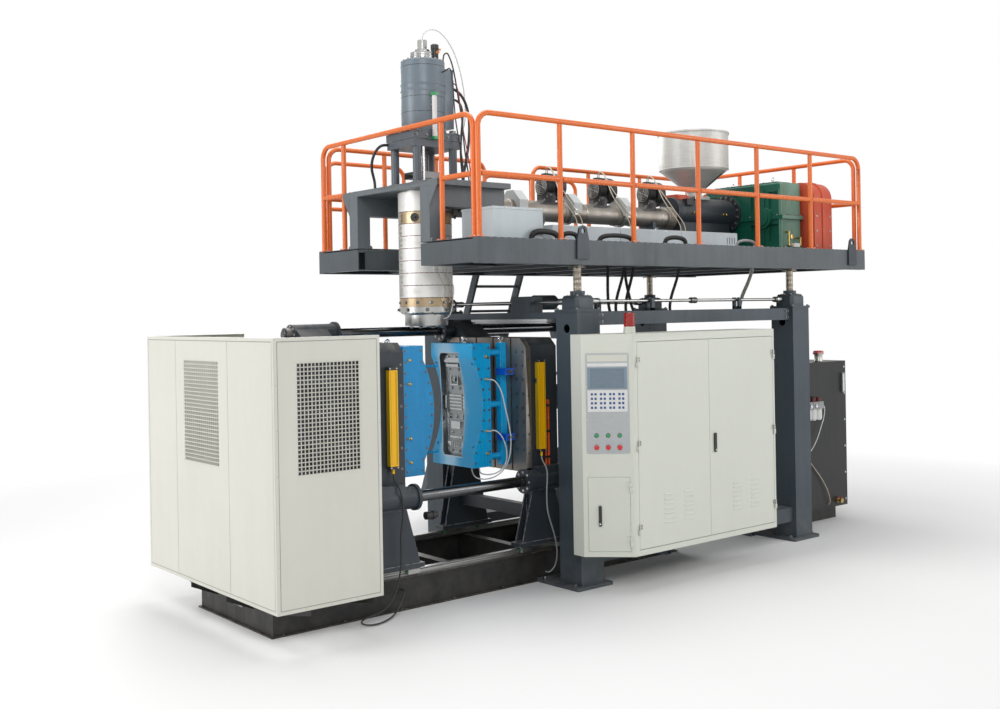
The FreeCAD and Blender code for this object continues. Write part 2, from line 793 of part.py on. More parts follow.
def diagonal_plate(x_start, depth, half_width, half_height):
    """Chamfered square plate with a lobe out to each tie bar."""
    low, high = CLAMP_CENTRE_Z - half_height, CLAMP_CENTRE_Z + half_height
    cut = PLATEN_CORNER
    corners = [(-half_width, low), (half_width, low), (half_width, high - cut), (half_width - cut, high),
               (-half_width + cut, high), (-half_width, high - cut)]
    shapes = [prism_x(corners, x_start, depth)]
    for y, z in TIE_BARS:
        side = 1 if y > 0 else -1
        reach = HUB_RADIUS * LOBE_REACH
        lobe = [(y - side * HUB_RADIUS * 3, z - side * HUB_RADIUS),
                (y - side * HUB_RADIUS * 0.2, z + side * HUB_RADIUS * 0.97),
                (y + side * HUB_RADIUS * 0.97, z + side * HUB_RADIUS * 0.2),
                (y + side * HUB_RADIUS * 0.6, z - side * reach),
                (y - side * HUB_RADIUS * 3, z - side * reach)]
        shapes.append(prism_x(lobe, x_start, depth))
        shapes.append(rod((x_start, y, z), (1, 0, 0), HUB_RADIUS, depth))
    low_y, low_z = TIE_BARS[0]
    seat_y = (low_y - FOOT_BOX_WIDTH / 2, low_y + FOOT_BOX_WIDTH)
    shapes.append(block((x_start, x_start + depth), seat_y, (low_z - HUB_RADIUS, low_z)))
    return fused(shapes)


def bar_bores(x_start, length):
    return [rod((x_start, y, z), (1, 0, 0), TIE_BAR_RADIUS + RUNNING, length) for y, z in TIE_BARS]


def platen():
    """Right platen: a ribbed casting, open at its back, with a long hub round each tie bar."""
    x = PLATEN_FACE
    body = diagonal_plate(x, PLATEN_DEPTH, PLATEN_HALF_WIDTH, PLATEN_HALF_HEIGHT)
    cell_count = 4
    floor_x = x + PLATEN_FRONT_WALL
    width = 2 * (PLATEN_HALF_WIDTH - PLATEN_CORNER)
    height = 2 * (PLATEN_HALF_HEIGHT - PLATEN_CORNER)
    pitch_y, pitch_z = width / cell_count, height / cell_count
    pockets = []
    for column_index in range(cell_count):
        for row_index in range(cell_count):
            y = -width / 2 + column_index * pitch_y
            z = CLAMP_CENTRE_Z - height / 2 + row_index * pitch_z
            half_wall = PLATEN_WALL / 2
            pockets.append(block((floor_x, x + PLATEN_DEPTH), (y + half_wall, y + pitch_y - half_wall),
                                 (z + half_wall, z + pitch_z - half_wall)))
    boss = rod((x, 0, CLAMP_CENTRE_Z), (1, 0, 0), ROD_RADIUS * 2, PLATEN_DEPTH)
    hubs = [rod((HUB_INNER_END, y, z), (1, 0, 0), HUB_RADIUS, HUB_LENGTH) for y, z in TIE_BARS]
    rings = [rod((HUB_INNER_END, y, z), (1, 0, 0), HUB_RING_RADIUS, HUB_RING_LENGTH) for y, z in TIE_BARS]
    casting = fused([without(body, pockets), boss] + hubs + rings)
    return without(casting, bar_bores(HUB_INNER_END, HUB_LENGTH + PLATEN_DEPTH))


def mould_plate():
    """Steel plate with vertical T slots that the mould is clamped to."""
    low, high = CLAMP_CENTRE_Z - PLATEN_HALF_HEIGHT, CLAMP_CENTRE_Z + PLATEN_HALF_HEIGHT
    half, cut = PLATEN_HALF_WIDTH, PLATEN_CORNER
    corners = [(-half, low), (half, low), (half, high - cut), (half - cut, high), (-half + cut, high),
               (-half, high - cut)]
    plate = prism_x(corners, PLATE_FACE, MOULD_PLATE_THICKNESS)
    first = -T_SLOT_PITCH * (T_SLOT_COUNT - 1) / 2
    slots = []
    for index in range(T_SLOT_COUNT):
        y = first + index * T_SLOT_PITCH
        neck = (y - T_SLOT_WIDTH / 2, y + T_SLOT_WIDTH / 2)
        head = (y - T_SLOT_HEAD / 2, y + T_SLOT_HEAD / 2)
        slots.append(block((PLATE_FACE, PLATE_FACE + T_SLOT_DEPTH), neck, (low, high)))
        slots.append(block((PLATE_FACE + T_SLOT_DEPTH / 2, PLATE_FACE + T_SLOT_DEPTH), head, (low, high)))
    clear = [rod((PLATE_FACE, y, z), (1, 0, 0), HUB_RING_RADIUS + SEAT_GAP, MOULD_PLATE_THICKNESS) for y,
             z in TIE_BARS]
    return without(plate, slots + clear)


def foot_weldment(top_z):
    """Trapezoid box foot of a carriage, on its shoe, at the near rail."""
    bottom = SHOE_BOTTOM + SHOE_THICKNESS
    x = SHOE_CENTRE_X
    profile = [(x - SHOE_HALF_LENGTH + SHOE_THICKNESS, bottom),
               (x + SHOE_HALF_LENGTH - SHOE_THICKNESS, bottom),
               (x + FOOT_TOP_HALF_LENGTH, top_z), (x - FOOT_TOP_HALF_LENGTH, top_z)]
    cheek = prism_y(profile, -RAIL_Y - FOOT_BOX_WIDTH / 2, FOOT_PLATE)
    other = prism_y(profile, -RAIL_Y + FOOT_BOX_WIDTH / 2 - FOOT_PLATE, FOOT_PLATE)
    web_y = (-RAIL_Y - FOOT_BOX_WIDTH / 2 + FOOT_PLATE, -RAIL_Y + FOOT_BOX_WIDTH / 2 - FOOT_PLATE)
    webs = [block((web_x - FOOT_PLATE / 2, web_x + FOOT_PLATE / 2), web_y, (bottom, top_z))
            for web_x in (x - FOOT_TOP_HALF_LENGTH + FOOT_PLATE, x, x + FOOT_TOP_HALF_LENGTH - FOOT_PLATE)]
    shoe = block((x - SHOE_HALF_LENGTH, x + SHOE_HALF_LENGTH),
                 (-RAIL_Y - SHOE_WIDTH / 2, -RAIL_Y + SHOE_WIDTH / 2),
                 (SHOE_BOTTOM, bottom))
    return fused([shoe, cheek, other] + webs)


def bearing_block(x, side):
    """Ball bearing block that wraps the head of its rail."""
    half = BLOCK_WIDTH / 2
    gap = RAIL_WIDTH / 2 + SLIDE_GAP
    low = BASE_HEIGHT + RAIL_HEIGHT * 0.25
    top = SHOE_BOTTOM
    ceiling = RAIL_TOP + SLIDE_GAP
    profile = [(-half, low), (-gap, low), (-gap, ceiling), (gap, ceiling), (gap, low), (half, low),
               (half, top - half * 0.2), (half * 0.8, top), (-half * 0.8, top), (-half, top - half * 0.2)]
    placed = [(y + side * RAIL_Y, z) for y, z in profile]
    return prism_x(placed, x - BLOCK_LENGTH / 2, BLOCK_LENGTH)


def carriage():
    """Feet, shoes, bearing blocks and cross beam of the right carriage."""
    near_top = CLAMP_CENTRE_Z - TIE_BAR_RISE - HUB_RADIUS - SEAT_GAP
    far_top = CLAMP_CENTRE_Z - PLATEN_HALF_HEIGHT - SEAT_GAP
    pieces = [foot_weldment(near_top), mirrored_y(foot_weldment(far_top))]
    for side in (-1, 1):
        for x in (SHOE_CENTRE_X - BLOCK_PITCH / 2, SHOE_CENTRE_X + BLOCK_PITCH / 2):
            pieces.append(bearing_block(x, side))
    inner = RAIL_Y - FOOT_BOX_WIDTH / 2
    beam_z = (CARRIAGE_BEAM_TOP - CARRIAGE_BEAM_HEIGHT, CARRIAGE_BEAM_TOP)
    beam_x = SHOE_CENTRE_X - CARRIAGE_BEAM_DEPTH
    pieces.append(channel_y((-inner, inner), beam_x, 1, beam_z, CARRIAGE_BEAM_DEPTH, BEAM_WALL))
    return pieces


def tie_bars():
    pieces = []
    left_end = -HUB_INNER_END - HUB_LENGTH - TIE_NUT_LENGTH - TIE_BAR_PROUD
    right_end = REAR_TIE_END
    for y, z in TIE_BARS:
        pieces.append(rod((left_end, y, z), (1, 0, 0), TIE_BAR_RADIUS, right_end - left_end))
        for nut_x in (left_end + TIE_BAR_PROUD, REAR_PLATE_X + REAR_PLATE_THICKNESS):
            pieces.append(ring((nut_x, y, z), (1, 0, 0), TIE_NUT_RADIUS, TIE_BAR_RADIUS + RUNNING,
                               TIE_NUT_LENGTH))
    save("tie_bars", *pieces)


def rear_plate():
    """Plate that carries the clamp cylinder and draws the tie bars, on its own feet."""
    plate = diagonal_plate(REAR_PLATE_X, REAR_PLATE_THICKNESS, PLATEN_HALF_WIDTH, PLATEN_HALF_HEIGHT)
    bore = rod((REAR_PLATE_X, 0, CLAMP_CENTRE_Z), (1, 0, 0), CYLINDER_RADIUS, REAR_PLATE_THICKNESS)
    plate = without(plate, bar_bores(REAR_PLATE_X, REAR_PLATE_THICKNESS) + [bore])
    body = rod((CYLINDER_FRONT, 0, CLAMP_CENTRE_Z), (1, 0, 0), CYLINDER_RADIUS,
               REAR_PLATE_X + REAR_PLATE_THICKNESS - CYLINDER_FRONT)
    collar = rod((REAR_PLATE_X - GLAND_LENGTH, 0, CLAMP_CENTRE_Z), (1, 0, 0), CYLINDER_RADIUS * 1.35,
                 GLAND_LENGTH)
    head = rod((CYLINDER_FRONT, 0, CLAMP_CENTRE_Z), (1, 0, 0), CYLINDER_RADIUS * 1.15, GLAND_LENGTH)
    bore_length = REAR_PLATE_X - CYLINDER_FRONT
    cylinder_bore = rod((CYLINDER_FRONT + GLAND_LENGTH, 0, CLAMP_CENTRE_Z), (1, 0, 0), CYLINDER_BORE,
                        bore_length - GLAND_LENGTH)
    gland = rod((CYLINDER_FRONT, 0, CLAMP_CENTRE_Z), (1, 0, 0), ROD_RADIUS + RUNNING, GLAND_LENGTH)
    cylinder = without(fused([body, collar, head]), [cylinder_bore, gland])
    pieces = [plate, cylinder]
    foot_x = (REAR_PLATE_X, REAR_PLATE_X + REAR_PLATE_THICKNESS)
    bottom = SHOE_BOTTOM
    near_top = CLAMP_CENTRE_Z - TIE_BAR_RISE - HUB_RADIUS
    far_top = CLAMP_CENTRE_Z - PLATEN_HALF_HEIGHT
    for side, top in ((-1, near_top), (1, far_top)):
        y_span = (side * RAIL_Y - SHOE_WIDTH / 2, side * RAIL_Y + SHOE_WIDTH / 2)
        pieces.append(block(foot_x, y_span, (bottom, top - SEAT_GAP)))
        pieces.append(bearing_block(REAR_PLATE_X + REAR_PLATE_THICKNESS / 2, side))
    save("rear_plate", *pieces)


def clamp_rod():
    """Piston and rod, from the boss of the right platen into the cylinder."""
    start = PLATEN_FACE + PLATEN_DEPTH
    piston_x = REAR_PLATE_X - PISTON_END_GAP
    shaft = rod((start, 0, CLAMP_CENTRE_Z), (1, 0, 0), ROD_RADIUS, piston_x - start)
    piston = rod((piston_x - PISTON_LENGTH, 0, CLAMP_CENTRE_Z), (1, 0, 0), CYLINDER_BORE - SLIDE_GAP,
                 PISTON_LENGTH)
    flange = rod((start, 0, CLAMP_CENTRE_Z), (1, 0, 0), ROD_RADIUS * 1.8, PLATEN_WALL)
    save("clamp_rod", fused([shaft, piston, flange]))


def parting_profile(face, back, bulge):
    """XZ outline of a mould half: flat lands above and below a bowed parting line."""
    low, high = MOULD_BOTTOM, MOULD_TOP
    land_low, land_high = low + MOULD_LAND, high - MOULD_LAND
    corner = [V(back, 0, low), V(face, 0, low), V(face, 0, land_low)]
    edges = [Part.LineSegment(a, b).toShape() for a, b in zip(corner, corner[1:])]
    middle = V(face + bulge, 0, MOULD_CENTRE_Z)
    edges.append(Part.Arc(V(face, 0, land_low), middle, V(face, 0, land_high)).toShape())
    corner = [V(face, 0, land_high), V(face, 0, high), V(back, 0, high), V(back, 0, low)]
    edges += [Part.LineSegment(a, b).toShape() for a, b in zip(corner, corner[1:])]
    return Part.Face(Part.Wire(edges))


def cavity_outline(x):
    """Bowed panel outline in the YZ plane, wider at its waist."""
    low, high = MOULD_BOTTOM + CAVITY_MARGIN, MOULD_TOP - CAVITY_MARGIN
    half = MOULD_HALF_WIDTH - 2 * CAVITY_MARGIN
    bow = CAVITY_BOW
    left_low, left_high = V(x, -half - bow * 0.2, low), V(x, -half + bow * 0.2, high)
    right_high, right_low = V(x, half + bow * 0.4, high), V(x, half, low)
    edges = [Part.Arc(left_low, V(x, -half + bow, MOULD_CENTRE_Z), left_high).toShape(),
             Part.LineSegment(left_high, right_high).toShape(),
             Part.Arc(right_high, V(x, half + 2 * bow, MOULD_CENTRE_Z), right_low).toShape(),
             Part.LineSegment(right_low, left_low).toShape()]
    return Part.Face(Part.Wire(edges))


def mould_half(face, back, bulge, into):
    """Mould block with its cavity. into is the way from the parting face into the block."""
    width = 2 * MOULD_HALF_WIDTH
    start = V(0, -MOULD_HALF_WIDTH, 0)
    blank = parting_profile(face, back, bulge).translated(start).extrude(V(0, width, 0))
    sunk = parting_profile(face + into * CAVITY_DEPTH, back, bulge).translated(start).extrude(V(0, width, 0))
    shell = blank.cut(sunk)
    reach = (MOULD_BACK + STROKE) * 2
    punch = cavity_outline(-reach / 2).extrude(V(reach, 0, 0))
    return blank.cut(shell.common(punch))


def stand_offs():
    """Tubes and upright bars between the right mould half and its plate."""
    bar_x = (PLATE_FACE - MOULD_BAR_SIZE, PLATE_FACE)
    pieces = []
    bar_y = -MOULD_HALF_WIDTH + MOULD_BAR_SIZE / 2
    bar = block(bar_x, (bar_y - MOULD_BAR_SIZE / 2, bar_y + MOULD_BAR_SIZE / 2), (MOULD_BOTTOM, MOULD_TOP))
    pieces.append(bar)
    for z in spaced(MOULD_BOTTOM + STAND_OFF_INSET, MOULD_TOP - STAND_OFF_INSET, 3):
        pieces.append(rod((MOULD_BACK, bar_y, z), (1, 0, 0), STAND_OFF_RADIUS, bar_x[0] - MOULD_BACK))
    return [solid for piece in pieces for solid in both_sides(piece)]


def mould_clamps():
    """Strap clamps that hold the near bar of the mould to its plate."""
    outer = -MOULD_HALF_WIDTH
    strap_x = PLATE_FACE - MOULD_BAR_SIZE - MOULD_CLAMP_SIZE / 2
    profile = [(strap_x, outer + MOULD_BAR_SIZE / 2), (strap_x, outer - MOULD_CLAMP_REACH),
               (PLATE_FACE, outer - MOULD_CLAMP_REACH),
               (PLATE_FACE, outer - MOULD_CLAMP_REACH / 2),
               (strap_x + MOULD_CLAMP_SIZE / 2, outer - SEAT_GAP),
               (strap_x + MOULD_CLAMP_SIZE / 2, outer + MOULD_BAR_SIZE / 2)]
    heights = spaced(MOULD_BOTTOM + 3 * STAND_OFF_INSET, MOULD_TOP - 3 * STAND_OFF_INSET, 2)
    clamps = [prism_z(profile, z - MOULD_CLAMP_SIZE / 2, MOULD_CLAMP_SIZE) for z in heights]
    return [solid for clamp in clamps for solid in both_sides(clamp)]


def guide_pins():
    """Guide pins on the left mould half."""
    pins = []
    for z in (MOULD_BOTTOM + GUIDE_PIN_INSET_Z, MOULD_TOP - GUIDE_PIN_INSET_Z):
        for side in (-1, 1):
            y = side * (MOULD_HALF_WIDTH - GUIDE_PIN_INSET_Y)
            pins.append((y, z))
    return pins


def mould_halves():
    pin_reach = GUIDE_PIN_LENGTH + MOULD_BULGE
    left = mould_half(-MOULD_FACE, -MOULD_BACK, MOULD_BULGE, -1)
    studs = [rod((-MOULD_BACK, y, z), (1, 0, 0), GUIDE_PIN_RADIUS, MOULD_BACK - MOULD_FACE + pin_reach)
             for y, z in guide_pins()]
    left = fused([left] + studs)
    save("left_mould", left, *[mirrored_x(piece) for piece in stand_offs() + mould_clamps()])
    right = mould_half(MOULD_FACE, MOULD_BACK, MOULD_BULGE, 1)
    bores = [rod((MOULD_FACE - MOULD_BULGE, y, z), (1, 0, 0), GUIDE_PIN_RADIUS + SLIDE_GAP, MOULD_BACK)
             for y, z in guide_pins()]
    save("right_mould", without(right, bores), *stand_offs())
    save("mould_clamps", *mould_clamps())


def light_curtain():
    """Safety light curtain on the near side of the right platen, with its brackets."""
    x = PLATEN_FACE + CURTAIN_OFFSET
    platen_side = -PLATEN_HALF_WIDTH
    y_span = (platen_side - CURTAIN_STAND - CURTAIN_DEPTH, platen_side - CURTAIN_STAND)
    z_span = (CURTAIN_BOTTOM, CURTAIN_BOTTOM + CURTAIN_HEIGHT)
    half = CURTAIN_WIDTH / 2
    housing = block((x - half, x + half), y_span, z_span)
    window = block((x - half * 0.5, x + half * 0.5), (y_span[0], y_span[0] + SHEET),
                   (z_span[0] + half, z_span[1] - half))
    brackets = [block((x - half * 0.6, x + half * 0.6), (y_span[1], platen_side), (z, z + half))
                for z in (z_span[0] + half, z_span[1] - 2 * half)]
    gland = rod((x, sum(y_span) / 2, z_span[0] - half), (0, 0, 1), half * 0.3, half)
    return fused([housing.cut(window), gland] + brackets)


def clamp_unit():
    right = platen()
    save("right_platen", right)
    save("left_platen", mirrored_x(right), mirrored_x(mould_plate()))
    save("right_mould_plate", mould_plate())
    right_carriage = carriage()
    save("right_carriage", *right_carriage)
    save("left_carriage", *[mirrored_x(piece) for piece in right_carriage])
    curtain = light_curtain()
    save("right_light_curtain", curtain)
    save("left_light_curtain", mirrored_x(curtain))
    tie_bars()
    rear_plate()
    clamp_rod()
    mould_halves()


# ---------------------------------------------------------------- clamp cover

def vent_cutters(centre_u, width, top, height, along):
    """Square holes of a perforated vent, in a wall along x or y."""
    pitch_u = width / VENT_COLUMNS
    pitch_z = height / VENT_ROWS
    cutters = []
    for row in range(VENT_ROWS):
        for column_index in range(VENT_COLUMNS):
            u = centre_u - width / 2 + column_index * pitch_u
            z = top - height + row * pitch_z
            u_span = (u + VENT_BAR / 2, u + pitch_u - VENT_BAR / 2)
            z_span = (z + VENT_BAR / 2, z + pitch_z - VENT_BAR / 2)
            if along == "x":
                cutters.append(block(u_span, (-COVER_HALF_WIDTH, -COVER_HALF_WIDTH + SHEET), z_span))
            else:
                cutters.append(block((COVER_LEFT, COVER_LEFT + SHEET), u_span, z_span))
    return cutters


def clamp_cover():
    """Folded sheet walls round the clamp end: a near door panel, an end wall and a far wall."""
    z_span = (COVER_BOTTOM, COVER_TOP)
    vent_top = COVER_TOP - VENT_TOP_DROP
    centre_x = (COVER_LEFT + COVER_RIGHT) / 2
    near_y = (-COVER_HALF_WIDTH, -COVER_HALF_WIDTH + SHEET)
    near_x = (COVER_LEFT + SHEET, COVER_RIGHT)
    near = folded_wall_x(near_x, near_y, z_span)
    far = mirrored_y(near)
    near = without(near, vent_cutters(centre_x, VENT_WIDTH, vent_top, VENT_HEIGHT, "x"))
    end = block((COVER_LEFT, COVER_LEFT + SHEET), (-COVER_HALF_WIDTH, COVER_HALF_WIDTH), z_span)
    lip_x = (COVER_LEFT + SHEET, COVER_LEFT + COVER_FOLD)
    lip_y = (-COVER_HALF_WIDTH + COVER_FOLD + SHEET, COVER_HALF_WIDTH - COVER_FOLD - SHEET)
    lips = [block(lip_x, lip_y, (COVER_TOP - SHEET, COVER_TOP)),
            block(lip_x, lip_y, (COVER_BOTTOM, COVER_BOTTOM + SHEET))]
    end = without(fused([end] + lips), vent_cutters(END_VENT_Y, END_VENT_WIDTH, vent_top, VENT_HEIGHT, "y"))
    save("clamp_cover", near, far, end)


def folded_wall_x(x_span, y_span, z_span):
    """Sheet wall along X with its top, bottom and free edge folded inwards."""
    wall = block(x_span, y_span, z_span)
    fold_y = (y_span[1], y_span[1] + COVER_FOLD - SHEET)
    folds = [block(x_span, fold_y, (z_span[1] - SHEET, z_span[1])),
             block(x_span, fold_y, (z_span[0], z_span[0] + SHEET)),
             block((x_span[1] - SHEET, x_span[1]), fold_y, z_span)]
    return fused([wall] + folds)


# ---------------------------------------------------------------- control cabinet

OPERATOR_TURN = math.degrees(math.atan2(CABINET_FRONT - CABINET_SIDE_Y, CABINET_CORNER - CABINET_LEFT))
OPERATOR_X = (CABINET_LEFT + CABINET_CORNER) / 2
OPERATOR_Y = (CABINET_FRONT + CABINET_SIDE_Y) / 2
DOOR_BOTTOM = CABINET_BOTTOM + DOOR_MARGIN
DOOR_TOP = CABINET_TOP - DOOR_TOP_MARGIN
DOOR_LEFT = CABINET_CORNER + DOOR_MARGIN
DOOR_RIGHT = CABINET_RIGHT - DOOR_MARGIN / 2
DOOR_MEETING = (DOOR_LEFT + DOOR_RIGHT) / 2
SERVICE_DOOR_BOTTOM = CABINET_BOTTOM + SERVICE_DOOR_RISE
HINGE_HEIGHTS = spaced(DOOR_BOTTOM + 2 * HINGE_HEIGHT, DOOR_TOP - 2 * HINGE_HEIGHT, 3)
SERVICE_HINGE_HEIGHTS = spaced(SERVICE_DOOR_BOTTOM + HINGE_HEIGHT,
                               SERVICE_DOOR_BOTTOM + SERVICE_DOOR_HEIGHT - HINGE_HEIGHT, 2)


def on_operator_face(shape):
    """Move a shape drawn with x along the face and -y out of it onto the slanted face."""
    placed = shape.copy()
    placed.rotate(V(0, 0, 0), V(0, 0, 1), OPERATOR_TURN)
    placed.translate(V(OPERATOR_X, OPERATOR_Y, 0))
    return placed


def fixed_hinge(x, face_y, side, z):
    """Lower half of a lift-off hinge with its pin. side is the way from the pin to the frame."""
    pin_y = face_y - HINGE_STAND
    low = z - HINGE_HEIGHT / 2
    leaf = block(sorted((x, x + side * 2.5 * HINGE_RADIUS)), (pin_y, face_y), (low, z - HINGE_GAP))
    knuckle = rod((x, pin_y, low), (0, 0, 1), HINGE_RADIUS, z - HINGE_GAP - low)
    pin = rod((x, pin_y, low), (0, 0, 1), HINGE_PIN_RADIUS, HINGE_HEIGHT)
    return fused([leaf, knuckle, pin])


def door_hinge(x, face_y, side, z):
    """Upper half of the same hinge, to fuse to a door, and the cutter for its pin."""
    pin_y = face_y - HINGE_STAND
    low, high = z + HINGE_GAP, z + HINGE_HEIGHT / 2
    leaf = block(sorted((x, x - side * 3 * HINGE_RADIUS)), (pin_y, face_y), (low, high))
    knuckle = rod((x, pin_y, low), (0, 0, 1), HINGE_RADIUS, high - low)
    pin_way = rod((x, pin_y, low), (0, 0, 1), HINGE_PIN_RADIUS + RUNNING, high - low)
    return fused([leaf, knuckle]), pin_way


def hung(leaf, hinges):
    """A door leaf with the upper halves of its hinges."""
    return without(fused([leaf] + [half for half, _ in hinges]), [pin_way for _, pin_way in hinges])


def cabinet_shell():
    plan = outline([(CABINET_LEFT, CABINET_BACK, CABINET_BOTTOM),
                    (CABINET_LEFT, CABINET_SIDE_Y, CABINET_BOTTOM),
                    (CABINET_CORNER, CABINET_FRONT, CABINET_BOTTOM),
                    (CABINET_RIGHT, CABINET_FRONT, CABINET_BOTTOM),
                    (CABINET_RIGHT, CABINET_BACK, CABINET_BOTTOM)])
    height = CABINET_TOP - CABINET_BOTTOM
    inner = plan.makeOffset2D(-SHEET).translated(V(0, 0, SHEET)).extrude(V(0, 0, height - 2 * SHEET))
    shell = plan.extrude(V(0, 0, height)).cut(inner)
    doorway = block((DOOR_LEFT, DOOR_RIGHT), (CABINET_FRONT, CABINET_FRONT + SHEET), (DOOR_BOTTOM, DOOR_TOP))
    service = block((-SERVICE_DOOR_WIDTH / 2, SERVICE_DOOR_WIDTH / 2), (-SHEET, 2 * SHEET),
                    (SERVICE_DOOR_BOTTOM, SERVICE_DOOR_BOTTOM + SERVICE_DOOR_HEIGHT))
    stems = []
    for x, z, radius in BUTTONS:
        stems.append(rod((x, -PANEL_THICKNESS, z), (0, 1, 0), BUTTON_STEM_RADIUS + RUNNING, 4 * SHEET))
    shell = without(shell, [doorway] + [on_operator_face(cutter) for cutter in [service] + stems])
    leaves = [fixed_hinge(x, CABINET_FRONT, side, z) for z in HINGE_HEIGHTS
              for x, side in ((DOOR_LEFT, -1), (DOOR_RIGHT, 1))]
    leaves += [on_operator_face(fixed_hinge(SERVICE_DOOR_WIDTH / 2, 0, 1, z)) for z in SERVICE_HINGE_HEIGHTS]
    save("cabinet_shell", fused([shell] + leaves))


def cabinet_plate():
    """Mounting plate with switchgear blocks and cable ducts, on the back wall of the cabinet."""
    back = CABINET_BACK - SHEET
    plate_x = (CABINET_CORNER + DOOR_MARGIN, CABINET_RIGHT - DOOR_MARGIN)
    plate_z = (DOOR_BOTTOM + DOOR_MARGIN, DOOR_TOP - DOOR_MARGIN)
    shapes = [block(plate_x, (back - SHEET, back), plate_z)]
    face = back - SHEET
    ducts = spaced(plate_z[0] + DUCT_SIZE, plate_z[1] - DUCT_SIZE, DUCT_ROWS)
    duct_x = (plate_x[0] + DUCT_SIZE, plate_x[1] - DUCT_SIZE)
    for z in ducts:
        shapes.append(block(duct_x, (face - DUCT_SIZE, face), (z - DUCT_SIZE / 2, z + DUCT_SIZE / 2)))
    pitch = (duct_x[1] - duct_x[0]) / SWITCHGEAR_COLUMNS
    for low, high in zip(ducts, ducts[1:]):
        middle = (low + high) / 2
        for index in range(SWITCHGEAR_COLUMNS):
            x = duct_x[0] + pitch * index
            depth = SWITCHGEAR_DEPTH * (1 + index % 2)
            shapes.append(block((x + DUCT_SIZE / 2, x + pitch - DUCT_SIZE / 2), (face - depth, face),
                                (middle - SWITCHGEAR_HEIGHT / 2, middle + SWITCHGEAR_HEIGHT / 2)))
    save("cabinet_plate", fused(shapes))


def louvers(centre_x, face_y):
    """Pressed louvers that shed outwards, and the slots behind them."""
    lips = []
    half = LOUVER_LENGTH / 2
    for index in range(LOUVER_COUNT):
        z = DOOR_BOTTOM + LOUVER_BASE_Z + index * LOUVER_PITCH
        profile = [(face_y, z + LOUVER_RISE), (face_y - LOUVER_RISE * 0.8, z), (face_y, z)]
        lip = outline([(centre_x - half, y, h) for y, h in profile]).extrude(V(LOUVER_LENGTH, 0, 0))
        lips.append(lip)
    return lips


def main_door(side):
    """Door leaf of the cabinet: side -1 hangs on the left, +1 on the right."""
    x_span = (DOOR_LEFT + DOOR_GAP, DOOR_MEETING - DOOR_GAP / 2)
    if side > 0:
        x_span = (DOOR_MEETING + DOOR_GAP / 2, DOOR_RIGHT - DOOR_GAP)
    y_span = (CABINET_FRONT, CABINET_FRONT + DOOR_THICKNESS)
    z_span = (DOOR_BOTTOM + DOOR_GAP, DOOR_TOP - DOOR_GAP)
    leaf = block(x_span, y_span, z_span)
    tray = block((x_span[0] + SHEET, x_span[1] - SHEET), (y_span[0] + SHEET, y_span[1]),
                 (z_span[0] + SHEET, z_span[1] - SHEET))
    leaf = leaf.cut(tray)
    width = x_span[1] - x_span[0]
    shapes = [leaf]
    for share in (0.4, 0.68):
        shapes += louvers(x_span[0] + share * width, CABINET_FRONT)
    hinge_x = DOOR_LEFT if side < 0 else DOOR_RIGHT
    return hung(fused(shapes), [door_hinge(hinge_x, CABINET_FRONT, side, z) for z in HINGE_HEIGHTS])


def swing_handle(x, y, z):
    """Flat swing handle on a spindle through the door skin. It turns about the spindle."""
    bar = block((x - HANDLE_WIDTH / 2, x + HANDLE_WIDTH / 2), (y - HANDLE_DEPTH, y - SEAT_GAP),
                (z - HANDLE_WIDTH, z + HANDLE_LENGTH))
    bar = bar.makeFillet(HANDLE_WIDTH * 0.3,
                         [edge for edge in bar.Edges if abs(edge.tangentAt(edge.FirstParameter).y) > 0.99])
    spindle = rod((x, y - SEAT_GAP, z), (0, 1, 0), HANDLE_WIDTH * 0.25, DOOR_THICKNESS)
    return fused([bar, spindle])


def spindle_way(x, y, z):
    return rod((x, y - SHEET, z), (0, 1, 0), HANDLE_WIDTH * 0.25 + RUNNING, DOOR_THICKNESS)


def cabinet_doors():
    save("cabinet_door_left", main_door(-1))
    handle_x = DOOR_MEETING + 2.5 * HANDLE_WIDTH
    handle_z = HANDLE_Z - HANDLE_LENGTH
    save("cabinet_door_right", main_door(1).cut(spindle_way(handle_x, CABINET_FRONT, handle_z)))
    save("door_handle", swing_handle(handle_x, CABINET_FRONT, handle_z))
    half = SERVICE_DOOR_WIDTH / 2 - DOOR_GAP / 2
    z_span = (SERVICE_DOOR_BOTTOM + DOOR_GAP / 2, SERVICE_DOOR_BOTTOM + SERVICE_DOOR_HEIGHT - DOOR_GAP / 2)
    leaf = block((-half, half), (0, DOOR_THICKNESS), z_span)
    leaf = leaf.cut(block((-half + SHEET, half - SHEET), (SHEET, DOOR_THICKNESS),
                          (z_span[0] + SHEET, z_span[1] - SHEET)))
    handle_z = sum(z_span) / 2 - HANDLE_LENGTH / 2
    leaf = leaf.cut(spindle_way(SERVICE_HANDLE_X, 0, handle_z))
    leaf = hung(leaf, [door_hinge(SERVICE_DOOR_WIDTH / 2, 0, 1, z) for z in SERVICE_HINGE_HEIGHTS])
    save("service_door", on_operator_face(leaf))
    save("service_door_handle", on_operator_face(swing_handle(SERVICE_HANDLE_X, 0, handle_z)))


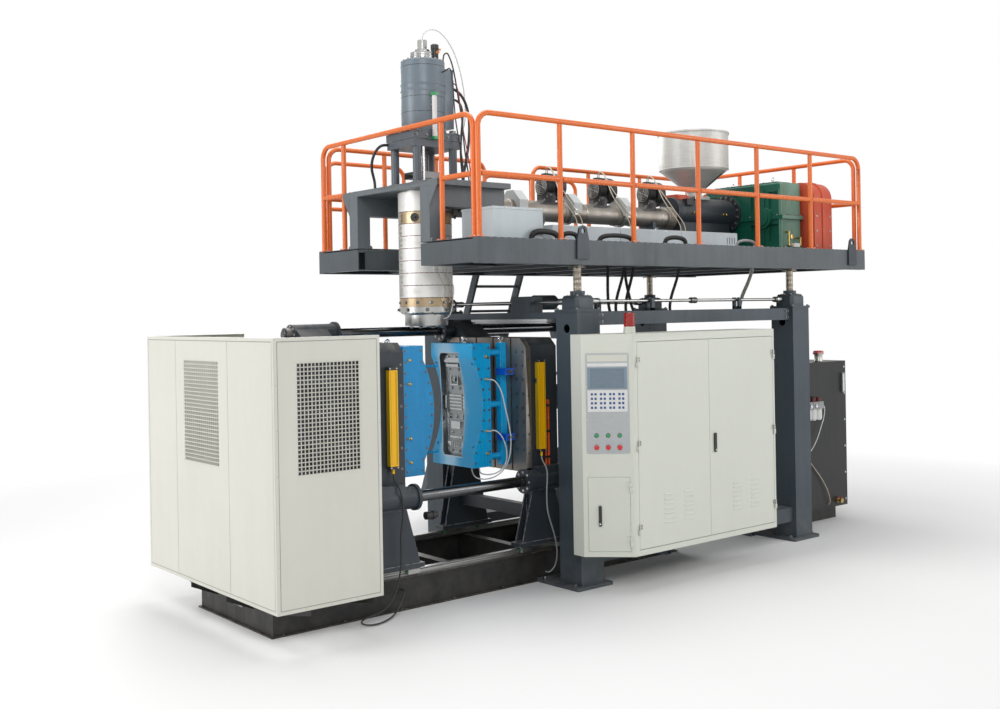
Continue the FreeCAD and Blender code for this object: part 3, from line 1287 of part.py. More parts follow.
def operator_panel():
    """Aluminium face plate with a screen pane and a membrane keypad set on it."""
    top = CABINET_TOP - PANEL_TOP_DROP
    bottom = top - PANEL_HEIGHT
    half = PANEL_WIDTH / 2
    plate = block((-half, half), (-PANEL_THICKNESS, 0), (bottom, top))
    ways = [rod((x, -PANEL_THICKNESS, z), (0, 1, 0), BUTTON_STEM_RADIUS + RUNNING, PANEL_THICKNESS) for x,
            z, radius in BUTTONS]
    plate = without(plate, ways)
    screen_top = top - SCREEN_DROP
    edge = half - PANEL_THICKNESS * 4
    screen = block((-edge, edge), (-1.5 * PANEL_THICKNESS, -PANEL_THICKNESS),
                   (screen_top - SCREEN_HEIGHT, screen_top))
    keypad_top = screen_top - SCREEN_HEIGHT - 2 * PANEL_THICKNESS
    keypad = block((-edge, edge), (-1.5 * PANEL_THICKNESS, -PANEL_THICKNESS),
                   (keypad_top - KEYPAD_HEIGHT, keypad_top))
    save("operator_panel", *[on_operator_face(piece) for piece in (plate, screen, keypad)])


def push_buttons():
    """Three flat start buttons over three mushroom stop buttons, each on its own stem."""
    face = -PANEL_THICKNESS
    for index, (x, z, radius) in enumerate(BUTTONS):
        proud = BUTTON_TRAVEL + radius * 0.3
        cap_start = face - proud - radius * 0.5
        cap = rod((x, cap_start, z), (0, 1, 0), radius, proud + radius * 0.5 - BUTTON_TRAVEL - SEAT_GAP)
        cap = cap.makeFillet(radius * 0.2,
                             [edge for edge in cap.Edges if edge.Curve.TypeId == "Part::GeomCircle"
                                            and abs(edge.CenterOfMass.y - cap_start) < SEAT_GAP])
        stem = rod((x, face - BUTTON_TRAVEL - SEAT_GAP, z), (0, 1, 0), BUTTON_STEM_RADIUS,
                   4 * SHEET + BUTTON_TRAVEL)
        name = "start_button_" if index < 3 else "stop_button_"
        save(name + str(index % 3 + 1), on_operator_face(fused([cap, stem])))


def beacon():
    """Warning beacon: a base and a ribbed lens on the cabinet roof."""
    x, y = BEACON_X, BEACON_Y
    z = CABINET_TOP
    base = turned([(0, z), (BEACON_RADIUS, z), (BEACON_RADIUS * 0.94, z + BEACON_BASE_HEIGHT),
                   (0, z + BEACON_BASE_HEIGHT)], x, y)
    top = z + BEACON_HEIGHT
    lens_foot = z + BEACON_BASE_HEIGHT
    ribs = [(0, lens_foot), (BEACON_RADIUS * 0.9, lens_foot)]
    for share in (0.25, 0.5, 0.75):
        height = lens_foot + (top - lens_foot) * share
        ribs += [(BEACON_RADIUS * 0.9, height - SHEET), (BEACON_RADIUS * 0.84, height)]
    ribs += [(BEACON_RADIUS * 0.86, top - 2 * SHEET), (BEACON_RADIUS * 0.7, top), (0, top)]
    save("beacon", base, turned(ribs, x, y))


# ---------------------------------------------------------------- oil tank

def oil_tank():
    body = block((TANK_LEFT, TANK_RIGHT), (TANK_NEAR, TANK_FAR), (TANK_BOTTOM, TANK_TOP))
    body = body.makeFillet(4 * TANK_WALL, vertical_edges(body))
    inside = block((TANK_LEFT + TANK_WALL, TANK_RIGHT - TANK_WALL),
                   (TANK_NEAR + TANK_WALL, TANK_FAR - TANK_WALL),
                   (TANK_BOTTOM + TANK_WALL, TANK_TOP - TANK_WALL))
    body = body.cut(inside)
    foot_width = 16 * TANK_WALL
    feet = [block((TANK_LEFT + foot_width, TANK_RIGHT - foot_width),
                  (y - foot_width / 2, y + foot_width / 2), (0, TANK_BOTTOM))
            for y in (TANK_NEAR + 2 * foot_width, TANK_FAR - 2 * foot_width)]
    z = TANK_TOP
    neck_top, cap_top = z + BREATHER_RISE, z + BREATHER_HEIGHT
    breather = turned([(0, z), (BREATHER_RADIUS, z), (BREATHER_RADIUS, z + BREATHER_FLANGE),
                       (BREATHER_NECK, z + BREATHER_FLANGE), (BREATHER_NECK, neck_top),
                       (BREATHER_RADIUS, neck_top),
                       (BREATHER_RADIUS, cap_top - BREATHER_FLANGE), (BREATHER_NECK, cap_top), (0, cap_top)],
                      BREATHER_X, BREATHER_Y)
    gauge = block((TANK_RIGHT - GAUGE_INSET, TANK_RIGHT - GAUGE_INSET + GAUGE_WIDTH),
                  (TANK_NEAR - GAUGE_DEPTH, TANK_NEAR),
                  (TANK_TOP - GAUGE_DROP - GAUGE_HEIGHT, TANK_TOP - GAUGE_DROP))
    save("oil_tank", body, *feet, breather, gauge, *air_unit())


def air_unit():
    """Filter, regulator and lubricator on the near wall of the tank."""
    pieces = []
    y = TANK_NEAR - AIR_UNIT_DEPTH / 2
    for index in range(AIR_UNIT_COUNT):
        x = AIR_UNIT_X + index * AIR_UNIT_DEPTH
        half = AIR_UNIT_DEPTH / 2
        head = block((x - half * 0.94, x + half * 0.94), (y - half * 0.9, y + half),
                     (AIR_UNIT_Z, AIR_UNIT_Z + AIR_UNIT_DEPTH * 0.8))
        bowl = turned([(0, AIR_UNIT_Z - AIR_BOWL), (half * 0.6, AIR_UNIT_Z - AIR_BOWL),
                       (half * 0.84, AIR_UNIT_Z - AIR_BOWL * 0.85),
                       (half * 0.84, AIR_UNIT_Z), (0, AIR_UNIT_Z)], x, y)
        knob_foot = AIR_UNIT_Z + AIR_UNIT_DEPTH * 0.8
        knob = turned([(0, knob_foot), (half * 0.6, knob_foot), (half * 0.7, knob_foot + half),
                       (0, knob_foot + half)], x, y)
        pieces.append(fused([head, bowl, knob]))
    return pieces


# ---------------------------------------------------------------- lift

def jack_gearbox(x, y):
    """Screw jack housing: flange, chamfered body and nut boss, bored for the lifting screw."""
    base = JACK_BASE / 2
    flange = block((x - base, x + base), (y - base, y + base), (FRAME_TOP, FRAME_TOP + JACK_BASE_HEIGHT))
    body_foot = FRAME_TOP + JACK_BASE_HEIGHT
    half = JACK_BODY / 2
    body = block((x - half, x + half), (y - half, y + half), (body_foot, body_foot + JACK_BODY_HEIGHT))
    top_edges = [edge for edge in body.Edges if edge.BoundBox.ZMin > body_foot + JACK_BODY_HEIGHT - SEAT_GAP]
    body = body.makeChamfer(half * 0.25, top_edges + vertical_edges(body))
    boss = rod((x, y, body_foot + JACK_BODY_HEIGHT), (0, 0, 1), SCREW_RADIUS * 1.7, JACK_BOSS)
    bore = rod((x, y, FRAME_TOP), (0, 0, 1), SCREW_RADIUS + RUNNING,
               JACK_BASE_HEIGHT + JACK_BODY_HEIGHT + JACK_BOSS)
    return fused([flange, body, boss]).cut(bore)


def jack_gearboxes():
    boxes = []
    stub = SHAFT_RADIUS + RUNNING
    depth = JACK_BODY / 4
    for x in (JACK_LEFT_X, JACK_RIGHT_X):
        for y in (-JACK_Y, JACK_Y):
            box = jack_gearbox(x, y)
            inward_x = 1 if x == JACK_LEFT_X else -1
            inward_y = 1 if y < 0 else -1
            box = box.cut(rod((x + inward_x * (JACK_BODY / 2 - depth), y, SHAFT_Z), (inward_x, 0, 0), stub,
                              depth))
            if x == JACK_LEFT_X:
                box = box.cut(rod((x, y + inward_y * (JACK_BODY / 2 - depth), SHAFT_Z), (0, inward_y, 0),
                                  stub, depth))
            boxes.append(box)
    save("jack_gearboxes", *boxes, lift_gearmotor())


def lift_gearmotor():
    """Bevel gearbox with its motor, on the left cross beam, through which the cross shaft runs."""
    half = JACK_BODY / 2
    x, y = JACK_LEFT_X, LIFT_MOTOR_Y
    body = block((x - half * 0.8, x + half * 0.8), (y - half * 1.2, y + half * 1.2),
                 (FRAME_TOP, SHAFT_Z + half * 0.5))
    body = body.makeFillet(half * 0.2, vertical_edges(body))
    motor = turned_x([(x + half * 0.8, 0), (x + half * 0.8, half * 0.62), (x + half * 3, half * 0.62),
                      (x + half * 3.1, half * 0.5),
                      (x + half * 3.1, 0)], y, SHAFT_Z)
    way = rod((x, y - half * 1.2, SHAFT_Z), (0, 1, 0), SHAFT_RADIUS + RUNNING, half * 2.4)
    return fused([body, motor]).cut(way)


def lift_shaft(start, direction, length, name):
    """Line shaft with a clamp coupling near each end, reaching into both gearboxes."""
    step = V(*direction)
    origin = V(*start)
    shapes = [rod(origin, direction, SHAFT_RADIUS, length)]
    reach = JACK_BODY / 4 + COUPLING_LENGTH / 2
    for distance in (reach, length - reach - COUPLING_LENGTH):
        shapes.append(rod(origin + step * distance, direction, SHAFT_RADIUS * 2, COUPLING_LENGTH))
    save(name, fused(shapes))


def lift_shafts():
    stub = JACK_BODY / 4 - SHAFT_GAP
    left = JACK_LEFT_X + JACK_BODY / 2 - stub
    long_length = JACK_RIGHT_X - JACK_BODY / 2 + stub - left
    lift_shaft((left, -JACK_Y, SHAFT_Z), (1, 0, 0), long_length, "lift_shaft_near")
    lift_shaft((left, JACK_Y, SHAFT_Z), (1, 0, 0), long_length, "lift_shaft_far")
    near = -JACK_Y + JACK_BODY / 2 - stub
    lift_shaft((JACK_LEFT_X, near, SHAFT_Z), (0, 1, 0), -2 * near, "lift_shaft_cross")


def jack_screws():
    screws = []
    bottom = FRAME_TOP - LIFT_UP - SCREW_RESERVE
    for x in (JACK_LEFT_X, JACK_RIGHT_X):
        for y in (-JACK_Y, JACK_Y):
            head_foot = PLATFORM_BOTTOM - SCREW_HEAD_HEIGHT
            screws.append(turned([(0, bottom), (SCREW_RADIUS, bottom), (SCREW_RADIUS, head_foot),
                                  (SCREW_HEAD_RADIUS, head_foot),
                                  (SCREW_HEAD_RADIUS, PLATFORM_BOTTOM), (0, PLATFORM_BOTTOM)], x, y))
    save("jack_screws", *screws)


# ---------------------------------------------------------------- platform

def platform_frame():
    z_span = (PLATFORM_BOTTOM, PLATFORM_TOP - DECK_THICKNESS)
    web, flange = PLATFORM_WEB, PLATFORM_FLANGE
    near, far = PLATFORM_NEAR, PLATFORM_FAR
    length = (PLATFORM_LEFT, PLATFORM_RIGHT)
    pieces = [channel_x(length, near, 1, z_span, flange, web),
              channel_x(length, far, -1, z_span, flange, web)]
    between = (PLATFORM_BOTTOM + web, PLATFORM_TOP - DECK_THICKNESS - web)
    pieces.append(channel_y((near + web, far - web), PLATFORM_RIGHT, -1, between, flange, web))
    pieces.append(channel_y((near + web, NOTCH_NEAR), PLATFORM_LEFT, 1, between, flange, web))
    pieces.append(channel_y((NOTCH_FAR, far - web), PLATFORM_LEFT, 1, between, flange, web))
    arm_start = PLATFORM_LEFT + flange
    pieces.append(channel_x((arm_start, NOTCH_END), NOTCH_NEAR, -1, between, flange, web))
    pieces.append(channel_x((arm_start, NOTCH_END), NOTCH_FAR, 1, between, flange, web))
    inner = (near + flange, far - flange)
    pieces.append(channel_y(inner, NOTCH_END, 1, between, flange, web))
    for x in spaced(JACK_LEFT_X, JACK_RIGHT_X, DECK_BEAM_COUNT):
        pieces.append(channel_y(inner, x - flange / 2, 1, z_span, flange, web))
    pieces += deck_plates()
    pieces += walkway()
    pieces += lifting_lugs()
    save("platform_frame", *pieces)


def deck_plates():
    z_span = (PLATFORM_TOP - DECK_THICKNESS, PLATFORM_TOP)
    return [block((NOTCH_END, PLATFORM_RIGHT), (PLATFORM_NEAR, PLATFORM_FAR), z_span),
            block((PLATFORM_LEFT, NOTCH_END), (PLATFORM_NEAR, NOTCH_NEAR), z_span),
            block((PLATFORM_LEFT, NOTCH_END), (NOTCH_FAR, PLATFORM_FAR), z_span)]


def walkway():
    """Narrow gallery along the far side, with a hatch over the ladder."""
    near, far = PLATFORM_FAR, WALKWAY_FAR
    z_span = (WALKWAY_BOTTOM, PLATFORM_TOP - DECK_THICKNESS)
    web, flange = PLATFORM_WEB, PLATFORM_FLANGE
    pieces = [channel_x((WALKWAY_LEFT, WALKWAY_RIGHT), far, -1, z_span, flange, web)]
    reach = (near, far - flange)
    hatch = (LADDER_X - flange, LADDER_X + LADDER_WIDTH + flange)
    for x, inward in ((WALKWAY_LEFT, 1), (hatch[0], -1), (hatch[1], 1), (WALKWAY_RIGHT, -1)):
        pieces.append(channel_y(reach, x, inward, z_span, flange, web))
    deck_z = (PLATFORM_TOP - DECK_THICKNESS, PLATFORM_TOP)
    notch_y = (near, near + LUG_THICKNESS + SEAT_GAP)
    notches = [block((x - LUG_WIDTH / 2 - SEAT_GAP, x + LUG_WIDTH / 2 + SEAT_GAP), notch_y, deck_z)
               for x in LUG_X]
    pieces.append(without(block((WALKWAY_LEFT, hatch[0]), (near, far), deck_z), notches))
    pieces.append(block((hatch[1], WALKWAY_RIGHT), (near, far), deck_z))
    pieces.append(block(hatch, (far - flange, far), deck_z))
    return pieces


def lifting_lugs():
    """Plate eyes welded outside the side channels, over the jacks."""
    lugs = []
    for x in LUG_X:
        top = PLATFORM_TOP + LUG_HEIGHT - LUG_DROP
        eye_z = top - LUG_WIDTH * 0.35
        low = PLATFORM_TOP - LUG_DROP
        profile = [(x - LUG_WIDTH / 2, low), (x + LUG_WIDTH / 2, low), (x + LUG_WIDTH * 0.48, PLATFORM_TOP),
                   (x + LUG_WIDTH * 0.34, eye_z), (x - LUG_WIDTH * 0.34, eye_z),
                   (x - LUG_WIDTH * 0.48, PLATFORM_TOP)]
        for y in (PLATFORM_NEAR - LUG_THICKNESS, PLATFORM_FAR):
            plate = prism_y(profile, y, LUG_THICKNESS)
            crown = rod((x, y, eye_z), (0, 1, 0), LUG_WIDTH * 0.34, LUG_THICKNESS)
            eye = rod((x, y, eye_z), (0, 1, 0), LUG_WIDTH * 0.16, LUG_THICKNESS)
            lugs.append(fused([plate, crown]).cut(eye))
    return lugs


def post(x, y, top):
    """Upright of a guard rail, scribed under the rail it carries."""
    foot = rod((x, y, PLATFORM_TOP), (0, 0, 1), RAIL_TUBE * 1.3, DECK_THICKNESS)
    return fused([foot, rod((x, y, PLATFORM_TOP), (0, 0, 1), RAIL_TUBE,
                            top - PLATFORM_TOP - RAIL_TUBE - SEAT_GAP)])


def straight_rail(start, end, trim=0):
    """Tube between two points, shortened by trim at both ends."""
    a, b = V(*start), V(*end)
    way = (b - a).normalize()
    length = (b - a).Length - 2 * trim
    return rod(a + way * trim, way, RAIL_TUBE, length)


def elbow(corner, along):
    """Quarter bend from a vertical post to a level rail that leaves along the given way."""
    top = V(*corner)
    way = V(*along)
    down = V(0, 0, -1)
    path = bent_path([top + down * GUARD_BEND, top, top + way * GUARD_BEND], GUARD_BEND - SEAT_GAP)
    return tube_along(path, RAIL_TUBE)


def guard_panel(start, end, stations, mid_spans=None):
    """One welded panel: posts, a top rail with a bend at each end, and mid rails."""
    a, b = V(start[0], start[1], GUARD_TOP - RAIL_TUBE), V(end[0], end[1], GUARD_TOP - RAIL_TUBE)
    way = (b - a).normalize()
    pieces = [elbow(a, way), elbow(b, way * -1), straight_rail(a + way * GUARD_BEND, b - way * GUARD_BEND)]
    post_top = GUARD_TOP - RAIL_TUBE - GUARD_BEND
    length = (V(end[0], end[1], 0) - V(start[0], start[1], 0)).Length
    places = [a + way * (length * share) for share in stations]
    for place in places:
        at_end = place.isEqual(a, 1) or place.isEqual(b, 1)
        top = post_top + RAIL_TUBE + SEAT_GAP if at_end else GUARD_TOP - RAIL_TUBE
        pieces.append(post(place.x, place.y, top))
    for left, right in mid_spans or list(zip(places, places[1:])):
        low_left, low_right = V(left.x, left.y, GUARD_MID), V(right.x, right.y, GUARD_MID)
        pieces.append(straight_rail(low_left, low_right, RAIL_TUBE + SEAT_GAP))
    return pieces


def guard_rails():
    left, right = PLATFORM_LEFT + GUARD_EDGE, PLATFORM_RIGHT - GUARD_EDGE
    near, far = PLATFORM_NEAR + GUARD_EDGE, PLATFORM_FAR - GUARD_EDGE
    gap = GUARD_CORNER_GAP
    pieces = guard_panel((left, near), (right, near), spaced(0, 1, GUARD_BAYS + 1))
    length = far - near - gap
    places = [near + gap, HEAD_POST_NEAR, HEAD_POST_FAR, far]
    shares = [(place - places[0]) / length for place in places]
    spans = [(V(left, places[0], 0), V(left, places[1], 0)), (V(left, places[2], 0), V(left, places[3], 0))]
    pieces += guard_panel((left, near + gap), (left, far), shares, spans)
    pieces += guard_panel((right, near + gap), (right, far), spaced(0, 1, GUARD_END_BAYS + 1))
    pieces += guard_panel((left + gap, far), (GATE_LEFT, far), spaced(0, 1, GUARD_END_BAYS + 1))
    pieces += guard_panel((GATE_RIGHT, far), (right - gap, far), spaced(0, 1, GUARD_END_BAYS + 1))
    outer = WALKWAY_FAR - GUARD_EDGE
    outer_left, outer_right = WALKWAY_LEFT + GUARD_EDGE, WALKWAY_RIGHT - GUARD_EDGE
    pieces += guard_panel((outer_left, outer), (OUTER_RAIL_RIGHT, outer), (0, 1))
    pieces += guard_panel((GATE_RIGHT, outer), (outer_right, outer), spaced(0, 1, GUARD_END_BAYS))
    save("guard_rails", *pieces)


def ladder():
    """Steep ladder up to the walkway hatch: two flat stiles with rungs let into them."""
    drop = WALKWAY_BOTTOM - LADDER_FOOT_Z
    lean = drop / LADDER_SLOPE
    top_y = LADDER_TOP_Y
    half = STILE_WIDTH / 2 / math.sin(math.radians(LADDER_LEAN))
    profile = [(top_y - half, WALKWAY_BOTTOM), (top_y + half, WALKWAY_BOTTOM),
               (top_y + lean + half, LADDER_FOOT_Z),
               (top_y + lean - half, LADDER_FOOT_Z)]
    inner_x = (LADDER_X + STILE_THICKNESS, LADDER_X + LADDER_WIDTH - STILE_THICKNESS)
    stiles = [prism_x(profile, LADDER_X, STILE_THICKNESS), prism_x(profile, inner_x[1], STILE_THICKNESS)]
    rungs = []
    count = int(drop // RUNG_PITCH)
    for index in range(count):
        z = WALKWAY_BOTTOM - RUNG_PITCH * (index + 0.7)
        y = top_y + (WALKWAY_BOTTOM - z) / LADDER_SLOPE
        rungs.append(block(inner_x, (y - STILE_WIDTH * 0.3, y + STILE_WIDTH * 0.3),
                           (z - STILE_THICKNESS / 2, z + STILE_THICKNESS / 2)))
    hook_x = (LADDER_X, LADDER_X + LADDER_WIDTH)
    seat = block(hook_x, (PLATFORM_FAR, top_y + half), (WALKWAY_BOTTOM, WALKWAY_BOTTOM + STILE_THICKNESS))
    save("ladder", *stiles, *rungs, seat)


# ---------------------------------------------------------------- head

def head_gantry():
    """Portal over the notch of the platform that the head and its cylinder hang in."""
    plate_z = (GANTRY_TOP - GANTRY_PLATE, GANTRY_TOP)
    near_post = (NOTCH_NEAR - POST_WIDTH, NOTCH_NEAR)
    far_post = (NOTCH_FAR, NOTCH_FAR + POST_WIDTH)
    pieces = []
    post_z = (PLATFORM_TOP, plate_z[0])
    for y_span, outward in ((near_post, -1), (far_post, 1)):
        for x in (PLATFORM_LEFT, GANTRY_RIGHT - POST_DEPTH):
            pieces.append(square_tube((x, x + POST_DEPTH), y_span, post_z, PLATFORM_WEB, "z"))
        beam_x = (PLATFORM_LEFT + POST_DEPTH, GANTRY_RIGHT - POST_DEPTH)
        pieces.append(square_tube(beam_x, y_span, (plate_z[0] - GANTRY_BEAM, plate_z[0]), PLATFORM_WEB, "x"))
        edge = y_span[0] if outward < 0 else y_span[1]
        tip = edge + outward * FLARE_REACH
        flare = [(edge, GANTRY_TOP), (tip, GANTRY_TOP), (tip, plate_z[0]), (edge, plate_z[0] - GANTRY_BEAM)]
        pieces.append(prism_x(flare, PLATFORM_LEFT, PLATFORM_WEB))
    web_x = GANTRY_RIGHT - POST_DEPTH
    web = block((web_x, web_x + PLATFORM_WEB), (NOTCH_NEAR, NOTCH_FAR),
                (plate_z[0] - GANTRY_BEAM, plate_z[0]))
    arch = rod((web_x, 0, BARREL_Z), (1, 0, 0), BARREL_RADIUS + COLUMN_WALL, PLATFORM_WEB)
    pieces.append(web.cut(arch))
    behind_flares = PLATFORM_LEFT + PLATFORM_WEB
    wings = block((behind_flares, GANTRY_RIGHT),
                  (near_post[0] - TOP_PLATE_REACH, far_post[1] + TOP_PLATE_REACH), plate_z)
    middle = block((PLATFORM_LEFT, behind_flares), (near_post[0], far_post[1]), plate_z)
    pieces.append(without(fused([wings, middle]), push_rod_ways(plate_z[0], GANTRY_PLATE)))
    save("head_gantry", *pieces)


def push_rod_ways(z, length):
    return [rod((x, 0, z), (0, 0, 1), PUSH_ROD_RADIUS + RUNNING, length) for x in (-PUSH_ROD_X, PUSH_ROD_X)]


def die_head():
    """Accumulator head with its inlet and push rod ways, and the die below it."""
    top = HEAD_TOP + HEAD_CAP
    core = turned([(0, HEAD_BOTTOM), (DIE_RADIUS, HEAD_BOTTOM), (HEAD_RADIUS, HEAD_BOTTOM + HEAD_CHAMFER),
                   (HEAD_RADIUS, top), (0, top)])
    way_length = 2 * RAM_STROKE + GANTRY_PLATE
    ways = push_rod_ways(top - way_length, way_length)
    inlet = rod((HEAD_RADIUS - INLET_DEPTH, 0, BARREL_Z), (1, 0, 0), INLET_RADIUS + RUNNING, 2 * INLET_DEPTH)
    core = without(core, ways + [inlet])
    die = turned([(0, DIE_BOTTOM), (DIE_PIN_RADIUS, DIE_BOTTOM), (DIE_RADIUS * 0.7, DIE_BOTTOM - DIE_LIP),
                  (DIE_RADIUS, DIE_BOTTOM + DIE_LIP), (DIE_RADIUS, HEAD_BOTTOM), (0, HEAD_BOTTOM)])
    save("die_head", core, die)


def heater_bands():
    """Heater bands and clamp rings round the head, from the top down."""
    inner = HEAD_RADIUS + SEAT_GAP
    ends = TOP_BAND + PORT_BAND + CLAMP_RING + FOOT_RING
    middle = HEAD_TOP - HEAD_BOTTOM - BARE_FOOT - ends
    heights = [TOP_BAND, PORT_BAND] + [middle / BAND_COUNT] * BAND_COUNT + [CLAMP_RING, FOOT_RING]
    inlet = rod((0, 0, BARREL_Z), (1, 0, 0), INLET_RADIUS + SLIDE_GAP, BAND_RADIUS * 2)
    rings = []
    low = HEAD_TOP
    for height in heights:
        low -= height
        foot = (0, 0, low + BAND_GAP / 2)
        rings.append(ring(foot, (0, 0, 1), BAND_RADIUS, inner, height - BAND_GAP).cut(inlet))
    save("heater_bands", *rings)


def head_yoke():
    """Four columns on the gantry and the pair of plates that carries the cylinder."""
    columns = [rod((x, y, GANTRY_TOP), (0, 0, 1), YOKE_COLUMN_RADIUS, YOKE_BOTTOM - GANTRY_TOP)
               for x in (-YOKE_COLUMN_X, YOKE_COLUMN_X) for y in (-YOKE_COLUMN_Y, YOKE_COLUMN_Y)]
    plates = []
    for index, step in enumerate((YOKE_STEP, 0)):
        z = YOKE_BOTTOM + index * YOKE_PLATE
        half_x, half_y = YOKE_PLATE_X - step, YOKE_PLATE_Y - step
        plate = block((-half_x, half_x), (-half_y, half_y), (z, z + YOKE_PLATE))
        plates.append(plate.cut(rod((0, 0, z), (0, 0, 1), RAM_ROD_RADIUS + RUNNING, YOKE_PLATE)))
    save("head_yoke", *columns, *plates)


def accumulator_cylinder():
    """Cylinder on the yoke: joint rings, end cap with its transducer, and an oil manifold."""
    foot = YOKE_BOTTOM + 2 * YOKE_PLATE
    r, edge = ACCU_RADIUS, ACCU_EDGE
    profile = [(0, foot), (r, foot)]
    for drop in ACCU_RING_DROPS:
        low, high = ACCU_TOP - drop, ACCU_TOP - drop + ACCU_RING_HEIGHT
        profile += [(r, low), (r + ACCU_RING_STEP, low + edge), (r + ACCU_RING_STEP, high - edge), (r, high)]
    collar_top = ACCU_TOP + ACCU_COLLAR_HEIGHT
    neck_top = collar_top + ACCU_NECK_HEIGHT
    profile += [(r, ACCU_TOP - 2 * edge), (r - 2 * edge, ACCU_TOP), (ACCU_COLLAR_RADIUS, ACCU_TOP),
                (ACCU_COLLAR_RADIUS, collar_top), (ACCU_NECK_RADIUS, collar_top + edge),
                (ACCU_NECK_RADIUS, neck_top),
                (ACCU_CAP_RADIUS, neck_top + edge), (ACCU_CAP_RADIUS, ACCU_CREST - edge), (0, ACCU_CREST)]
    manifold = block((0, MANIFOLD_RIGHT), MANIFOLD_Y, MANIFOLD_Z)
    way = rod((0, 0, foot), (0, 0, 1), RAM_ROD_RADIUS + RUNNING, 2 * RAM_STROKE + YOKE_PLATE)
    save("accumulator_cylinder", fused([turned(profile), manifold]).cut(way))


def accumulator_ram():
    """Rod, crosshead and push rods that drive the annular plunger in the head."""
    plate_z = GANTRY_TOP + RAM_REST_RISE
    rod_top = YOKE_BOTTOM + 2 * YOKE_PLATE + RAM_STROKE
    half_x, half_y = YOKE_COLUMN_X - RAM_PLATE_INSET, YOKE_COLUMN_Y - RAM_PLATE_INSET
    shapes = [rod((0, 0, plate_z), (0, 0, 1), RAM_ROD_RADIUS, rod_top - plate_z),
              block((-half_x, half_x), (-half_y, half_y), (plate_z, plate_z + RAM_PLATE))]
    rod_foot = HEAD_TOP + HEAD_CAP - RAM_STROKE - GANTRY_PLATE
    for x in (-PUSH_ROD_X, PUSH_ROD_X):
        shapes.append(rod((x, 0, rod_foot), (0, 0, 1), PUSH_ROD_RADIUS, plate_z - rod_foot))
    save("accumulator_ram", fused(shapes))


# ---------------------------------------------------------------- extruder

def barrel():
    """Barrel in its jacket, from the spigot in the head to the throat, with its stands and hoods."""
    r = BARREL_RADIUS
    spigot_left = HEAD_RADIUS - INLET_DEPTH
    flange_right = BARREL_LEFT + BARREL_FLANGE
    profile = [(spigot_left, 0), (spigot_left, INLET_RADIUS), (BARREL_LEFT, INLET_RADIUS),
               (BARREL_LEFT, BARREL_FLANGE_RADIUS), (flange_right, BARREL_FLANGE_RADIUS), (flange_right, r)]
    high = JACKET_RING_RADIUS
    for x in [blower_x - JACKET_RING_GAP for blower_x in BLOWER_X]:
        profile += [(x, r), (x, high), (x + JACKET_RING_WIDTH, high), (x + JACKET_RING_WIDTH, r)]
    rib = BARREL_RING / (2 * BARREL_RIB_COUNT)
    for index in range(BARREL_RIB_COUNT):
        x = THROAT_LEFT - BARREL_RING + 2 * rib * index
        low = (r + BARREL_RING_RADIUS) / 2 if index else r
        profile += [(x, low), (x, BARREL_RING_RADIUS), (x + rib, BARREL_RING_RADIUS),
                    (x + rib, (r + BARREL_RING_RADIUS) / 2)]
    profile += [(THROAT_LEFT, (r + BARREL_RING_RADIUS) / 2), (THROAT_LEFT, 0)]
    pieces = [turned_x(profile, 0, BARREL_Z)]
    for x in (BARREL_LEFT + STAND_INSETS[0], THROAT_LEFT - STAND_INSETS[1]):
        pieces.append(barrel_stand(x))
    pieces += [hood(x - HOOD_GAP) for x in BLOWER_X]
    save("barrel", *pieces)


def barrel_stand(x):
    """Plate stand with a saddle that wraps the underside of the barrel."""
    r = BARREL_RADIUS
    base_x = (x - STAND_BASE / 2, x + STAND_BASE / 2)
    web_x = (x - STAND_PLATE / 2, x + STAND_PLATE / 2)
    saddle_z = (BARREL_Z - r - 2 * STAND_PLATE, BARREL_Z - r * SADDLE_WRAP)
    base = block(base_x, (-r * 1.2, r * 1.2), (PLATFORM_TOP, PLATFORM_TOP + STAND_PLATE))
    web = block(web_x, (-r, r), (PLATFORM_TOP, saddle_z[1]))
    saddle = block(widened(web_x, STAND_PLATE), (-r, r), saddle_z)
    return fused([base, web, saddle]).cut(barrel_way(base_x))


def barrel_way(x_span):
    return rod((x_span[0], 0, BARREL_Z), (1, 0, 0), BARREL_RADIUS + SEAT_GAP, x_span[1] - x_span[0])


def blower(x):
    """Fan with its motor to the left, on a duct that blows down on the barrel."""
    z = BARREL_Z + BLOWER_RISE
    edge, r, motor_r = BLOWER_EDGE, BLOWER_RADIUS, BLOWER_MOTOR_RADIUS
    left, right = x - BLOWER_MOTOR_LENGTH, x + BLOWER_WIDTH
    fan = turned_x([(left, 0), (left, motor_r * 0.55), (left + edge, motor_r * 0.6),
                    (left + edge, motor_r - edge),
                    (left + 2 * edge, motor_r), (x - edge, motor_r), (x - edge, motor_r - edge),
                    (x, motor_r - edge),
                    (x, r - edge), (x + edge, r), (right - edge, r), (right, r - edge), (right, r * 0.5),
                    (right - edge, r * 0.45), (right - edge, 0)], 0, z)
    foot, head = [[x + offset for offset in span] for span in (BLOWER_DUCT_FOOT, BLOWER_DUCT_HEAD)]
    profile = [(foot[0], BARREL_Z), (foot[1], BARREL_Z), (head[1], z - edge), (head[1], z), (head[0], z),
               (head[0], z - r)]
    duct = prism_y(profile, -BLOWER_DUCT_HALF_DEPTH, 2 * BLOWER_DUCT_HALF_DEPTH)
    return fused([fan, duct]).cut(barrel_way((foot[0], right)))


def hood(right):
    """Chamfered sheet hood over the barrel, that ends at the given place along it."""
    low, high = BARREL_Z - HOOD_FOOT, BARREL_Z + HOOD_HEIGHT
    half, cut = HOOD_HALF_WIDTH, HOOD_CHAMFER
    profile = [(-half, low), (-half, high - cut), (cut - half, high), (half - cut, high),
               (half, high - cut), (half, low)]
    x_span = (right - HOOD_LENGTH, right)
    return prism_x(profile, x_span[0], HOOD_LENGTH).cut(barrel_way(x_span))


